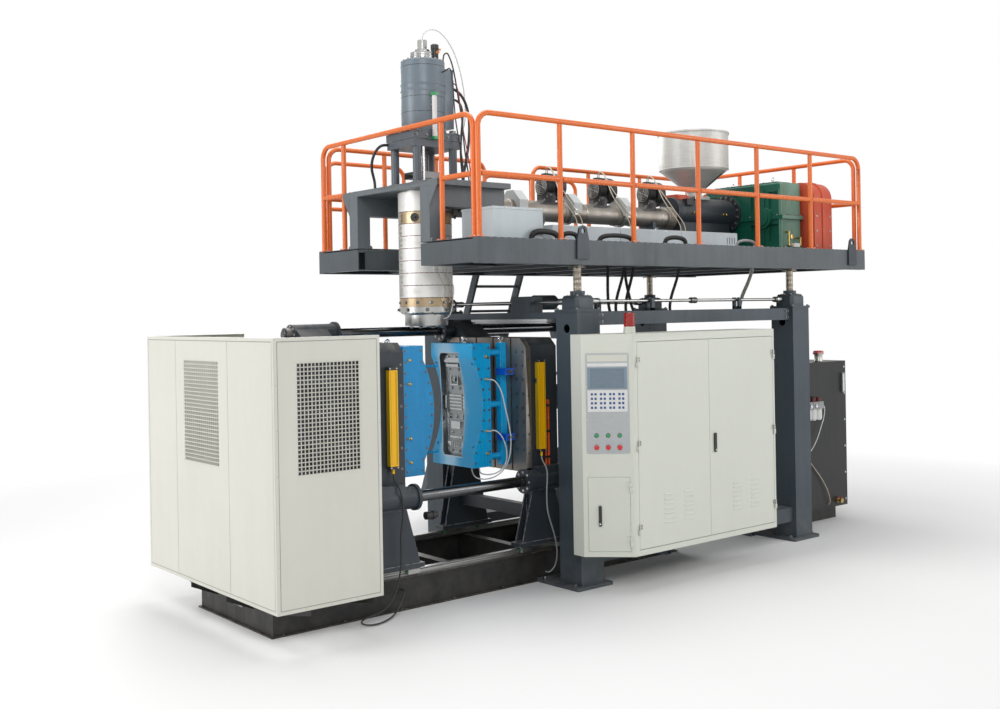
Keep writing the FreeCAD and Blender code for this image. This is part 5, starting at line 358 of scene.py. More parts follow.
def make_grain():
    """Drawn or ground grain: long streaks along one axis."""
    tree, given, result = new_group("metal grain", "ShaderNodeTree", [("Stretch", "Vector"), ("Scale", "Float")],
                                    [("Height", "Float")])
    where = tree.nodes.new("ShaderNodeTexCoord").outputs["Object"]
    stretched = add_node(tree, "ShaderNodeVectorMath", {0: where, 1: given["Stretch"]}, operation="MULTIPLY").outputs[0]
    tree.links.new(noise(tree, stretched, given["Scale"], 6, 0.7), result["Height"])
    return tree


SHADER_GROUPS = {"mottle": make_mottle, "edge wear": make_edge_wear, "dust": make_dust, "grain": make_grain}
GROUPS = {}


def effect(tree, name, **inputs):
    """One of the shared shader groups, placed in a material with its own values."""
    if name not in GROUPS:
        GROUPS[name] = SHADER_GROUPS[name]()
    return add_node(tree, "ShaderNodeGroup", inputs, node_tree=GROUPS[name]).outputs


# ---------------------------------------------------------------- materials

def new_material(name, **plain):
    """A material with a Principled shader whose plain values are set on its own sockets."""
    material = bpy.data.materials.new(name)
    material.use_nodes = True
    shader = material.node_tree.nodes["Principled BSDF"]
    for key, value in plain.items():
        shader.inputs[key.replace("_", " ")].default_value = value
    return material, material.node_tree, shader


def wire(tree, shader, colour, roughness=None):
    """Links the colour and the roughness of a finish."""
    tree.links.new(colour, shader.inputs["Base Color"])
    if roughness is not None:
        feed(tree, shader.inputs["Roughness"], roughness)


def bump(tree, shader, height, strength, distance):
    made = add_node(tree, "ShaderNodeBump", {"Height": height, "Strength": strength, "Distance": distance})
    tree.links.new(made.outputs[0], shader.inputs["Normal"])


def painted(name, colour, roughness=0.42, wear=0.35, dust=0.25, mottle=0.35, scale=1.6, peel=0.12,
            under=(0.30, 0.27, 0.24)):
    """Paint on metal: tone changes, orange peel, chipped edges and settled dust."""
    material, tree, shader = new_material(name, Specular_IOR_Level=0.5)
    tone = effect(tree, "mottle", Colour=(*paint(colour), 1), Amount=mottle, Scale=scale)
    chips = effect(tree, "edge wear", Amount=wear, Scale=26.0)["Mask"]
    film = effect(tree, "dust", Amount=dust)["Mask"]
    shown = mix_colour(tree, chips, tone["Colour"], under)
    shown = mix_colour(tree, film, shown, (0.42, 0.39, 0.34))
    rough = less(tree, roughness + 0.1, times(tree, tone["Tone"], 0.16))
    wire(tree, shader, shown, plus(tree, rough, times(tree, film, 0.35), True))
    bump(tree, shader, noise(tree, place(tree), 140.0, 2), peel, 0.002)
    return material


def bare_metal(name, colour, roughness=0.3, stretch=(1, 30, 30), scale=10.0, stain=0.35,
               stain_colour=(0.23, 0.18, 0.13),
               grain=0.15, dust=0.1, metallic=1.0):
    """Machined or drawn metal with its grain, handling marks and a little rust or oil."""
    material, tree, shader = new_material(name, Metallic=metallic)
    grain_height = effect(tree, "grain", Stretch=stretch, Scale=scale)["Height"]
    patches = ramp(tree, noise(tree, place(tree), 4.5, 6, 0.7), 0.52, 0.78)
    film = effect(tree, "dust", Amount=dust)["Mask"]
    shown = mix_colour(tree, ramp(tree, grain_height, 0.25, 0.75), [c * 0.8 for c in colour], colour)
    shown = mix_colour(tree, times(tree, patches, stain), shown, stain_colour)
    shown = mix_colour(tree, film, shown, (0.35, 0.32, 0.28))
    rough = plus(tree, roughness - 0.06, times(tree, grain_height, 0.14))
    wire(tree, shader, shown, plus(tree, rough, times(tree, patches, 0.25), True))
    bump(tree, shader, grain_height, grain, 0.001)
    return material


def moulded(name, colour, roughness=0.45, texture=0.15, coat=0.0, dust=0.1, scale=90.0):
    """Moulded plastic or rubber with a fine skin."""
    material, tree, shader = new_material(name, Coat_Weight=coat)
    tone = effect(tree, "mottle", Colour=(*colour, 1), Amount=0.2, Scale=6.0)
    film = effect(tree, "dust", Amount=dust)["Mask"]
    shown = mix_colour(tree, film, tone["Colour"], (0.35, 0.33, 0.3))
    wire(tree, shader, shown, plus(tree, roughness, times(tree, film, 0.3), True))
    bump(tree, shader, noise(tree, place(tree), scale, 3), texture, 0.0015)
    return material


def gloss_enamel(name, colour, **options):
    """Thick gloss paint."""
    return painted(name, colour, roughness=0.25, peel=0.06, **options)


def barrel_jacket():
    """Steel heater jacket, straw and brown where it has been hot."""
    material, tree, shader = new_material("barrel jacket", Metallic=0.85)
    heat = ramp(tree, noise(tree, place(tree, (2.2, 0.4, 0.4)), 1.7, 3), 0.35, 0.65)
    smudge = ramp(tree, noise(tree, place(tree), 8.0, 6, 0.7), 0.4, 0.7)
    shown = mix_colour(tree, heat, (0.36, 0.34, 0.31), (0.24, 0.20, 0.16))
    shown = mix_colour(tree, times(tree, smudge, 0.5), shown, (0.40, 0.38, 0.34))
    wire(tree, shader, shown, plus(tree, 0.38, times(tree, smudge, 0.2)))
    bump(tree, shader, smudge, 0.12, 0.002)
    return material


def wrapped_band():
    """Polished band round the head: streaks round it and brown heat marks toward its ends."""
    material, tree, shader = new_material("polished band", Metallic=0.6)
    streak = effect(tree, "grain", Stretch=(1.0, 1.0, 14.0), Scale=14.0)["Height"]
    marks = ramp(tree, noise(tree, place(tree, (1, 1, 2.5)), 4.0, 5, 0.7), 0.52, 0.8)
    shown = mix_colour(tree, times(tree, marks, 0.55), (0.72, 0.71, 0.69), (0.40, 0.31, 0.26))
    wire(tree, shader, shown, plus(tree, 0.4, times(tree, streak, 0.2)))
    bump(tree, shader, streak, 0.1, 0.001)
    return material


def worn_blue_steel():
    """Parting face of a mould: blue paint rubbed down to steel beside the cavity."""
    material, tree, shader = new_material("parting face")
    grain_height = effect(tree, "grain", Stretch=(1, 1, 12), Scale=16.0)["Height"]
    split = add_node(tree, "ShaderNodeSeparateXYZ", {0: place(tree)}).outputs
    drift = times(tree, less(tree, split["Z"], 1.63), 0.05)
    offset = math_node(tree, "ABSOLUTE", less(tree, less(tree, split["Y"], 0.07), drift))
    near = less(tree, 1.02, times(tree, offset, 3.9))
    patchy = plus(tree, near, times(tree, noise(tree, place(tree), 7.0, 6, 0.7), 0.9))
    rubbed = ramp(tree, patchy, 0.72, 1.25)
    steel = mix_colour(tree, grain_height, (0.36, 0.42, 0.44), (0.52, 0.56, 0.57))
    blue = linear((0.10, 0.68, 0.90))
    shown = mix_colour(tree, times(tree, rubbed, 0.62), blue, steel)
    tree.links.new(times(tree, rubbed, 0.7), shader.inputs["Metallic"])
    wire(tree, shader, shown, less(tree, 0.42, times(tree, rubbed, 0.1)))
    bump(tree, shader, grain_height, 0.1, 0.001)
    return material


def deck_plate():
    """Grey deck with raised crossed lozenges and walked-in dirt."""
    material, tree, shader = new_material("deck plate", Metallic=0.15)
    lozenge = None
    for turn in (45.0, -45.0):
        where = tree.nodes.new("ShaderNodeTexCoord").outputs["Object"]
        turned = add_node(tree, "ShaderNodeMapping", {"Vector": where, "Rotation": (0, 0, math.radians(turn)),
                                                      "Scale": (18, 46, 18)}).outputs[0]
        cell = add_node(tree, "ShaderNodeTexVoronoi", {"Vector": turned, "Scale": 1.0, "Randomness": 0.0},
                        feature="F1").outputs["Distance"]
        bar = ramp(tree, cell, 0.34, 0.22)
        lozenge = bar if lozenge is None else math_node(tree, "MAXIMUM", lozenge, bar)
    tone = effect(tree, "mottle", Colour=(*paint("platform_grey"), 1), Amount=0.6, Scale=1.2)
    shown = mix_colour(tree, times(tree, lozenge, 0.35), tone["Colour"], (0.42, 0.43, 0.43))
    wire(tree, shader, shown, less(tree, 0.62, times(tree, lozenge, 0.2)))
    bump(tree, shader, lozenge, 0.5, 0.002)
    return material


def lens(name, colour):
    """Tinted clear plastic."""
    material, tree, shader = new_material(name, Transmission_Weight=0.55, Coat_Weight=0.4)
    tone = effect(tree, "mottle", Colour=(*colour, 1), Amount=0.15, Scale=9.0)
    wire(tree, shader, tone["Colour"], 0.12)
    return material


def screen_glass():
    """Unlit display behind glass, with lighter streaks in its colour: finger marks and a painted sheen."""
    material, tree, shader = new_material("screen glass", Coat_Weight=0.6)
    smear = noise(tree, place(tree, (2, 2, 5)), 9.0, 4)
    # Lighter streaks in the colour: finger marks, and a painted sheen of reflected light.
    shown = mix_colour(tree, smear, (0.10, 0.15, 0.20), (0.17, 0.23, 0.28))
    wire(tree, shader, shown, plus(tree, 0.12, times(tree, smear, 0.2)))
    return material


# The maker of each finish and its values in the maker's order; values given by name stand in a dictionary at the end.
FINISHES = {
    "cream": (painted, "cream enamel", "cream", 0.34, 0.25, 0.08, 0.08, 0.9, 0.04),
    "frame": (painted, "frame paint", "frame_slate", 0.45, 0.5, 0.35, 0.45),
    "platen": (painted, "platen paint", "platen_slate", 0.42, 0.8, 0.3, 0.5, 2.2, 0.3, (0.42, 0.43, 0.44)),
    "platform": (painted, "platform paint", "platform_grey", 0.45, 0.5, 0.3, 0.5),
    "gantry": (painted, "gantry paint", "gantry_grey", 0.42, 0.5, 0.25, 0.4),
    "base": (painted, "base paint", "base_black", 0.45, 0.5, 0.25, 0.4, 2.0, 0.2, (0.25, 0.17, 0.11)),
    "rail": (gloss_enamel, "guard rail enamel", "rail_orange", {"wear": 0.4, "dust": 0.12, "mottle": 0.25}),
    "green": (painted, "gearbox paint", "gear_green", 0.34, 0.55, 0.25, 0.5, 2.4, 0.35, (0.3, 0.31, 0.3)),
    "coral": (painted, "guard paint", "guard_coral", 0.4, 0.4, 0.15, 0.3, 1.0, 0.08),
    "mould blue": (gloss_enamel, "mould paint", "mould_blue", {"wear": 0.6, "dust": 0.1, "mottle": 0.35, "scale": 3.0}),
    "deep blue": (gloss_enamel, "far mould paint", "mould_deep_blue",
                  {"wear": 0.6, "dust": 0.1, "mottle": 0.4, "scale": 3.0}),
    "clamp blue": (gloss_enamel, "clamp paint", "clamp_blue", {"wear": 0.5, "dust": 0.08}),
    "yellow": (painted, "curtain paint", "curtain_yellow", 0.35, 0.3, 0.1, 0.15, 2.0, 0.06),
    "tank": (painted, "tank paint", "tank_black", 0.36, 0.3, 0.15, 0.3, 1.4, 0.08),
    "cylinder": (painted, "cylinder paint", "cylinder_grey", 0.33, 0.5, 0.15, 0.4, 2.4, 0.12),
    "blower": (painted, "blower paint", "blower_black", 0.4, 0.45, 0.35, 0.4, 2.5, 0.15),
    "hood": (painted, "hood paint", "hood_grey", 0.36, 0.25, 0.12, 0.15, 1.2, 0.05),
    "box": (painted, "deck box paint", "box_grey", 0.38, 0.3, 0.2, 0.2, 1.2, 0.05),
    "yoke": (painted, "yoke paint", "yoke_grey", 0.4, 0.6, 0.25, 0.4, 2.0, 0.12),
    # Painted highlight: paler green for the light reflected off the near end of the gearbox.
    "gearbox highlight green": (painted, "end cover paint", "cover_green", 0.4, 0.4, 0.2, 0.4, 2.0, 0.2),
    "tie bar": (bare_metal, "oiled tie bar", (0.16, 0.165, 0.17), 0.16, (1, 12, 12), 14.0, 0.2, (0.05, 0.045, 0.04),
                0.04),
    "motor": (painted, "motor paint", "motor_blue", 0.4, 0.4, 0.3, 0.4, 2.5, 0.25),
    "orange": (gloss_enamel, "pipe paint", "pipe_orange", {"wear": 0.3, "dust": 0.1}),
    "steel": (bare_metal, "ground steel", (0.50, 0.50, 0.49), 0.28),
    "dark steel": (bare_metal, "blued steel", (0.20, 0.20, 0.20), 0.36, {"stain": 0.3}),
    "screw steel": (bare_metal, "greased screw steel", (0.45, 0.40, 0.33), 0.3, (1, 1, 20), 10.0, 0.5),
    "plate": (bare_metal, "slotted plate", (0.33, 0.30, 0.27), 0.46, (1, 1, 12), 12.0, 0.8, (0.17, 0.12, 0.09)),
    "chrome": (bare_metal, "hard chrome", (0.70, 0.71, 0.72), 0.1, (1, 12, 12), 14.0, 0.08,
               {"grain": 0.03, "dust": 0.05}),
    "bronze": (bare_metal, "heat tinted bronze", (0.44, 0.34, 0.22), 0.3, (1, 1, 14), 9.0, 0.5),
    "stainless": (bare_metal, "stainless sheet", (0.62, 0.62, 0.59), 0.46, (1, 1, 10), 6.0, 0.1, (0.45, 0.44, 0.42),
                  0.03, {"metallic": 0.55}),
    "aluminium": (bare_metal, "brushed aluminium", (0.44, 0.46, 0.47), 0.4, (1, 1, 30), 9.0, 0.1,
                  {"grain": 0.08, "dust": 0.05}),
    "zinc": (bare_metal, "zinc plate", (0.56, 0.56, 0.52), 0.35, (1, 1, 1), 30.0, 0.15, (0.4, 0.36, 0.25), 0.05),
    "jacket": (barrel_jacket,),
    "band": (wrapped_band,),
    "parting": (worn_blue_steel,),
    "deck": (deck_plate,),
    "screen": (screen_glass,),
    "red lens": (lens, "red lens", (0.65, 0.02, 0.01)),
    "black": (moulded, "black plastic", (0.02, 0.02, 0.022), 0.42),
    "grey plastic": (moulded, "grey plastic", (0.30, 0.31, 0.32), 0.45),
    "white plastic": (moulded, "white plastic", (0.72, 0.73, 0.72), 0.35, 0.05),
    "green plastic": (moulded, "green plastic", (0.01, 0.33, 0.10), 0.28, 0.03, 0.3),
    "red plastic": (moulded, "red plastic", (0.60, 0.015, 0.012), 0.28, 0.03, 0.4),
    "dark red": (moulded, "dark red cover", (0.10, 0.018, 0.018), 0.5, 0.05),
    "rubber": (moulded, "black rubber", (0.022, 0.022, 0.022), 0.55, 0.2, 0.0, 0.15, 160.0),
    "grey cable": (moulded, "grey cable jacket", (0.32, 0.33, 0.34), 0.5, 0.05),
    "beige cable": (moulded, "beige cable jacket", (0.52, 0.46, 0.35), 0.5, 0.05),
    "white tube": (moulded, "clear water tube", (0.70, 0.72, 0.72), 0.25, 0.02, 0.3),
    # Painted shade: near black, for the shade inside slots, vents, louvres, seams and slits, shown as thin dark blocks.
    "slot shade": (moulded, "shadowed slot", (0.01, 0.01, 0.01), 0.8, 0.05, 0.0, 0.0),
    "cover white": (painted, "cover enamel", "cover_white", 0.36, 0.3, 0.1, 0.12, 0.8, 0.05),
    "screen surround": (moulded, "screen surround", (0.20, 0.27, 0.33), 0.4, 0.05),
    "key blue": (moulded, "key caps", (0.03, 0.08, 0.24), 0.4, 0.02),
    "brass": (bare_metal, "brass", (0.62, 0.44, 0.16), 0.26, (1, 1, 1), 20.0, 0.2, {"grain": 0.05, "dust": 0.05}),
    # Painted shade: the curtain yellow darkened, for the shade in the grooves of the light curtains.
    "curtain groove": (moulded, "curtain groove", (0.40, 0.27, 0.0), 0.5, 0.02),
    "lamp tube": (moulded, "lamp tube", (0.82, 0.84, 0.84), 0.3, 0.02),
    "copper": (bare_metal, "copper", (0.60, 0.28, 0.13), 0.3, (1, 1, 1), 20.0, 0.3, {"grain": 0.05, "dust": 0.05}),
    "cavity": (bare_metal, "polished cavity", (0.27, 0.29, 0.30), 0.3, (1, 1, 3), 12.0, 0.45, (0.12, 0.12, 0.12), 0.1,
               0.12),
    "pad": (bare_metal, "cavity pads", (0.46, 0.48, 0.48), 0.26, (1, 1, 3), 14.0, 0.3, (0.16, 0.16, 0.16), 0.08, 0.08),
    # Painted shade: grey strips for the shade in the gaps between the cover's panels.
    "seam shade": (moulded, "shadowed seam", (0.30, 0.30, 0.28), 0.7, 0.02, 0.0, 0.0),
    "wire red": (moulded, "red wire", (0.42, 0.03, 0.02), 0.45, 0.05),
}
MADE = {}


def finish(name):
    """A finish by its name, made the first time that a piece asks for it."""
    if name not in MADE:
        make, *values = FINISHES[name]
        options = values.pop() if values and isinstance(values[-1], dict) else {}
        MADE[name] = make(*values, **options)
    return MADE[name]


# ---------------------------------------------------------------- mesh helpers

def shown_piece(name, mesh, finish_name, body, slot=None):
    """An object at the origin that shows a mesh, rides on a body and wears a finish."""
    piece = bpy.data.objects.new(name, mesh)
    bpy.context.scene.collection.objects.link(piece)
    mesh.materials.clear()
    mesh.materials.append(finish(finish_name))
    mesh.shade_smooth()
    mesh.set_sharp_from_angle(angle=SMOOTH_ANGLE)
    flatten_shading(piece)
    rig.ride(piece, body)
    if slot:
        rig.slot(piece, slot)
    return piece


def flatten_shading(piece):
    """Normals weighted by face area, so that large flat faces shade flat."""
    modifier = piece.modifiers.new("normals", "WEIGHTED_NORMAL")
    modifier.keep_sharp = True
    mesh = bpy.data.meshes.new_from_object(piece.evaluated_get(bpy.context.evaluated_depsgraph_get()))
    piece.modifiers.clear()
    piece.data = mesh


def from_bmesh(name, bm, finish_name, body, edge=0.0, slot=None):
    """A piece from a bmesh, with its sharp edges broken by the given width."""
    if edge:
        break_edges(bm, edge)
    mesh = bpy.data.meshes.new(name)
    bm.to_mesh(mesh)
    bm.free()
    return shown_piece(name, mesh, finish_name, body, slot)


def break_edges(bm, width):
    """Rounds the sharp edges a little and marks the new faces in the edge attribute."""
    sharp = [e for e in bm.edges if len(e.link_faces) == 2 and e.calc_face_angle(0) > SHARP_EDGE
             and e.calc_length() > SHORTEST_BROKEN_EDGE * width]
    marks = bm.faces.layers.float.new("edge")
    made = bmesh.ops.bevel(bm, geom=sharp, offset=width, segments=2, affect="EDGES", clamp_overlap=True, profile=0.6)
    for face in made["faces"]:
        face[marks] = 1.0


def islands(bm):
    """The index of its loose piece for every face, and the centre of each piece."""
    bm.faces.ensure_lookup_table()
    island, centres = [-1] * len(bm.faces), []
    for seed in bm.faces:
        if island[seed.index] >= 0:
            continue
        island[seed.index] = len(centres)
        reached, corners = [seed], set()
        while reached:
            face = reached.pop()
            corners.update(face.verts)
            for neighbour in (f for e in face.edges for f in e.link_faces if island[f.index] < 0):
                island[neighbour.index] = len(centres)
                reached.append(neighbour)
        low, high = ([pick(v.co[k] for v in corners) for k in range(3)] for pick in (min, max))
        centres.append((Vector(low) + Vector(high)) / 2)
    return island, centres


def inside(box, point):
    """Whether a point lies in a box of three spans in millimetres, or meets a test of its own."""
    if callable(box):
        return box(*(value / MM for value in point))
    return all(low * MM <= value <= high * MM for (low, high), value in zip(box, point))


def dressed(node, finish_name, edge=0.0, parts=(), faces=()):
    """Smooth copies of a CAD node's solids with broken edges and finishes, in place of the node.

    Each part names the solids whose centres lie in its box, and each faces entry a finish for the faces in its box.
    """
    whole = bmesh.new()
    whole.from_mesh(FRAME["nodes"][node].data)
    bmesh.ops.remove_doubles(whole, verts=whole.verts, dist=MERGE_DISTANCE)
    whole.faces.index_update()
    island, centres = islands(whole)
    parts = tuple(parts) + (("finished", finish_name, (ANYWHERE,) * 3),)
    owner = [next(k for k, part in enumerate(parts) if inside(part[2], centre)) for centre in centres]
    for index, (label, part_finish, _) in enumerate(parts):
        bm = whole.copy()
        bm.faces.ensure_lookup_table()
        bmesh.ops.delete(bm, geom=[f for f in bm.faces if owner[island[f.index]] != index], context="FACES")
        if not bm.faces:
            bm.free()
            continue
        if edge:
            bmesh.ops.dissolve_limit(bm, angle_limit=FLAT_ENOUGH, verts=bm.verts, edges=bm.edges)
        piece = from_bmesh(f"{node}_{label}", bm, part_finish, BODY_OF[node], edge, SLOT_OF[node])
        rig.replaces(piece, node)
        for slot_index, (face_finish, box) in enumerate(faces, 1):
            piece.data.materials.append(finish(face_finish))
            for polygon in piece.data.polygons:
                if inside(box, polygon.center):
                    polygon.material_index = slot_index
    whole.free()


def add_box(bm, low, high):
    """A box between two corners."""
    matrix = Matrix.Translation((low + high) / 2) @ Matrix.Diagonal((*(high - low), 1))
    bmesh.ops.create_cube(bm, size=1, matrix=matrix)


def along(start, direction):
    """Matrix that puts the Z axis of a shape at start, pointing in a direction."""
    return Matrix.Translation(Vector(start)) @ Vector(direction).to_track_quat("Z", "Y").to_matrix().to_4x4()


def add_turned(bm, start, direction, profile, segments=32):
    """A closed body of revolution from (radius, distance) corners along an axis."""
    matrix = along(start, direction)
    rings = []
    for radius, distance in profile:
        if radius < 1e-6:
            rings.append([bm.verts.new(matrix @ Vector((0, 0, distance)))])
        else:
            rings.append([bm.verts.new(matrix @ Vector((radius * math.cos(a), radius * math.sin(a), distance)))
                          for a in (FULL_TURN * k / segments for k in range(segments))])
    for low, high in zip(rings, rings[1:]):
        for k in range(segments):
            corners = [low[k % len(low)], low[(k + 1) % len(low)], high[(k + 1) % len(high)], high[k % len(high)]]
            corners = [v for i, v in enumerate(corners) if v not in corners[:i]]
            if len(corners) > 2:
                bm.faces.new(corners)


def add_rod(bm, start, end, radius, segments=20):
    """A round bar with slightly broken ends."""
    length = (end - start).length
    lip = min(radius * ROUNDED_END, length / 4)
    add_turned(bm, start, end - start, [(0, 0), (radius - lip, 0), (radius, lip), (radius, length - lip),
                                        (radius - lip, length), (0, length)], segments)


def add_prism(bm, corners, push):
    """A closed prism from a loop of corners, pushed by a vector."""
    low = [bm.verts.new(Vector(corner)) for corner in corners]
    high = [bm.verts.new(Vector(corner) + Vector(push)) for corner in corners]
    faces = [bm.faces.new(low), bm.faces.new(list(reversed(high)))]
    for k in range(len(low)):
        faces.append(bm.faces.new([low[k], high[k], high[(k + 1) % len(low)], low[(k + 1) % len(low)]]))
    bmesh.ops.recalc_face_normals(bm, faces=faces)


# ---------------------------------------------------------------- places and pieces

def at(x, y, z):
    """A point given in millimetres."""
    return Vector((x, y, z)) * MM


def fitting(name, finish_name, body, boxes=(), rods=(), turned=(), prisms=(), edge=0.0, slot=None):
    """One piece from its parts in millimetres.

    A box is (low, high), a rod (start, end, radius), a turned body (start, direction, [(radius, distance)]) and a
    prism (corners, push).
    """
    bm = bmesh.new()
    for low, high in boxes:
        add_box(bm, at(*low), at(*high))
    for start, end, radius in rods:
        add_rod(bm, at(*start), at(*end), radius * MM)
    for start, direction, profile in turned:
        add_turned(bm, at(*start), direction, [(radius * MM, distance * MM) for radius, distance in profile])
    for corners, push in prisms:
        add_prism(bm, [at(*corner) for corner in corners], at(*push))
    bmesh.ops.recalc_face_normals(bm, faces=bm.faces)
    return from_bmesh(name, bm, finish_name, body, edge * MM, slot)


def evenly(low, high, count):
    """Values from low to high, both ends included."""
    return [low + (high - low) * k / (count - 1) for k in range(count)]


def ring(centre, axis, radius, count, turn=0.0):
    """(place, facing) pairs evenly round a circle, all facing along its axis."""
    matrix = along(at(*centre), axis)
    angles = [turn + FULL_TURN * k / count for k in range(count)]
    return [(matrix @ Vector((radius * MM * math.cos(a), radius * MM * math.sin(a), 0)), Vector(axis)) for a in angles]


def facing(direction, *places):
    """(place, facing) pairs for points in millimetres that all face one way."""
    return [(at(*place), Vector(direction)) for place in places]


# ---------------------------------------------------------------- geometry nodes

def open_tree(name, inputs):
    """A Geometry Nodes tree with its named inputs, and the geometry that it starts from."""
    return new_group(name, "GeometryNodeTree", [("Geometry", "Geometry")] + inputs + [("Material", "Material")],
                     [("Geometry", "Geometry")])


def close_tree(tree, given, result, geometry):
    realised = add_node(tree, "GeometryNodeRealizeInstances", {0: geometry}).outputs[0]
    painted_mesh = add_node(tree, "GeometryNodeSetMaterial", {"Geometry": realised, "Material": given["Material"]})
    tree.links.new(painted_mesh.outputs[0], result["Geometry"])
    return tree


def join(tree, *parts):
    made = tree.nodes.new("GeometryNodeJoinGeometry")
    for part in parts:
        tree.links.new(part, made.inputs[0])
    return made.outputs[0]


def vector(tree, x=0.0, y=0.0, z=0.0):
    return add_node(tree, "ShaderNodeCombineXYZ", {0: x, 1: y, 2: z}).outputs[0]


def cylinder(tree, sides, radius, depth, lift, top=None):
    """A closed cylinder, or a cone with its own top radius, that stands at a height."""
    cone = add_node(tree, "GeometryNodeMeshCone", {"Vertices": sides, "Radius Bottom": radius, "Depth": depth,
                                                   "Radius Top": radius if top is None else top}).outputs[0]
    return add_node(tree, "GeometryNodeTransform", {"Geometry": cone, "Translation": vector(tree, z=lift)}).outputs[0]


def make_bolt_heads():
    """A washer and a chamfered head on every point, standing along the point's facing attribute."""
    tree, given, result = open_tree("bolt heads", [("Sides", "Int"), ("Radius", "Float"), ("Height", "Float")])
    low = times(tree, given["Height"], 0.2)
    shank = times(tree, given["Height"], 0.55)
    washer = cylinder(tree, 16, times(tree, given["Radius"], 1.45), low, 0.0)
    head = cylinder(tree, given["Sides"], given["Radius"], shank, low)
    crown = cylinder(tree, given["Sides"], given["Radius"], times(tree, given["Height"], 0.25),
                     plus(tree, low, shank), times(tree, given["Radius"], 0.8))
    way = add_node(tree, "GeometryNodeInputNamedAttribute", {"Name": "facing"}, data_type="FLOAT_VECTOR").outputs[0]
    stand = add_node(tree, "FunctionNodeAlignRotationToVector", {"Vector": way}, axis="Z").outputs[0]
    spin = add_node(tree, "FunctionNodeRandomValue", {2: 0.0, 3: 1.05, "Seed": 7}, data_type="FLOAT").outputs[1]
    turned = add_node(tree, "FunctionNodeRotateRotation", {"Rotation": stand, "Rotate By": vector(tree, z=spin)},
                      rotation_space="LOCAL").outputs[0]
    heads = add_node(tree, "GeometryNodeInstanceOnPoints", {"Points": given["Geometry"], "Rotation": turned,
                                                            "Instance": join(tree, washer, head, crown)}).outputs[0]
    return close_tree(tree, given, result, heads)


def make_blocks():
    """A small tapered block on every point, all turned one way: keys, slots, louvres and breakers."""
    tree, given, result = open_tree("blocks", [("Size", "Vector"), ("Turn", "Vector"), ("Taper", "Float")])
    half = math.sqrt(0.5)
    cone = add_node(tree, "GeometryNodeMeshCone", {"Vertices": 4, "Radius Bottom": half, "Depth": 1.0,
                                                   "Radius Top": times(tree, given["Taper"], half)})
    square = add_node(tree, "GeometryNodeTransform", {"Geometry": cone.outputs[0],
                                                      "Rotation": (0, 0, math.radians(45))}).outputs[0]
    sized = add_node(tree, "GeometryNodeTransform", {"Geometry": square, "Scale": given["Size"]}).outputs[0]
    turned = add_node(tree, "GeometryNodeTransform", {"Geometry": sized, "Rotation": given["Turn"]}).outputs[0]
    placed = add_node(tree, "GeometryNodeInstanceOnPoints", {"Points": given["Geometry"], "Instance": turned})
    return close_tree(tree, given, result, placed.outputs[0])


def make_vent_grid():
    """Crossed bars that leave a grid of square holes, centred on every point."""
    tree, given, result = open_tree("vent grid", [("Width", "Float"), ("Height", "Float"), ("Columns", "Int"),
                                                  ("Rows", "Int"), ("Bar", "Float"), ("Depth", "Float"),
                                                  ("Turn", "Vector")])
    layers = []
    for span, count, other, axis in ((given["Width"], given["Columns"], given["Height"], 0),
                                     (given["Height"], given["Rows"], given["Width"], 2)):
        step = math_node(tree, "DIVIDE", span, count)
        start = times(tree, span, -0.5)
        corners = {0: (start, step), 2: (start, step)}[axis]
        first, offset = (vector(tree, **{"xyz"[axis]: value}) for value in corners)
        line = add_node(tree, "GeometryNodeMeshLine", {"Count": plus(tree, count, 1),
                                                       "Start Location": first, "Offset": offset}, mode="OFFSET")
        length = plus(tree, other, given["Bar"])
        size = vector(tree, given["Bar"], given["Depth"], length) if axis == 0 else \
            vector(tree, length, given["Depth"], given["Bar"])
        bar = add_node(tree, "GeometryNodeMeshCube", {"Size": size}).outputs[0]
        layers.append(add_node(tree, "GeometryNodeInstanceOnPoints", {"Points": line.outputs[0],
                                                                      "Instance": bar}).outputs[0])
    turned = add_node(tree, "GeometryNodeTransform", {"Geometry": join(tree, *layers), "Rotation": given["Turn"]})
    placed = add_node(tree, "GeometryNodeInstanceOnPoints", {"Points": given["Geometry"],
                                                             "Instance": turned.outputs[0]}).outputs[0]
    return close_tree(tree, given, result, placed)


def make_screw_thread():
    """A thread that winds up from every point."""
    tree, given, result = open_tree("screw thread", [("Radius", "Float"), ("Pitch", "Float"), ("Turns", "Float"),
                                                     ("Depth", "Float")])
    line = add_node(tree, "GeometryNodeCurveSpiral", {
        "Resolution": 20, "Rotations": given["Turns"], "Start Radius": given["Radius"], "End Radius": given["Radius"],
        "Height": times(tree, given["Turns"], given["Pitch"])}).outputs[0]
    tooth = add_node(tree, "GeometryNodeCurvePrimitiveCircle", {"Resolution": 4, "Radius": given["Depth"]}).outputs[0]
    wound = add_node(tree, "GeometryNodeCurveToMesh", {"Curve": line, "Profile Curve": tooth, "Fill Caps": True})
    placed = add_node(tree, "GeometryNodeInstanceOnPoints", {"Points": given["Geometry"],
                                                             "Instance": wound.outputs[0]}).outputs[0]
    return close_tree(tree, given, result, placed)


def make_corrugation():
    """Rounded rings one after the other along a curve."""
    tree, given, result = open_tree("corrugation", [("Radius", "Float"), ("Pitch", "Float"), ("Groove", "Float")])
    half = times(tree, given["Pitch"], 0.5)
    neck = times(tree, given["Radius"], given["Groove"])
    low = cylinder(tree, 14, neck, half, times(tree, half, -1.0), given["Radius"])
    high = cylinder(tree, 14, given["Radius"], half, 0.0, neck)
    points = add_node(tree, "GeometryNodeCurveToPoints", {"Curve": given["Geometry"], "Length": given["Pitch"]},
                      mode="LENGTH").outputs
    rings = add_node(tree, "GeometryNodeInstanceOnPoints", {"Points": points["Points"], "Rotation": points["Rotation"],
                                                            "Instance": join(tree, low, high)}).outputs[0]
    return close_tree(tree, given, result, rings)


GEOMETRY_TREES = {"bolt heads": make_bolt_heads, "blocks": make_blocks, "vent grid": make_vent_grid,
                  "screw thread": make_screw_thread, "corrugation": make_corrugation}


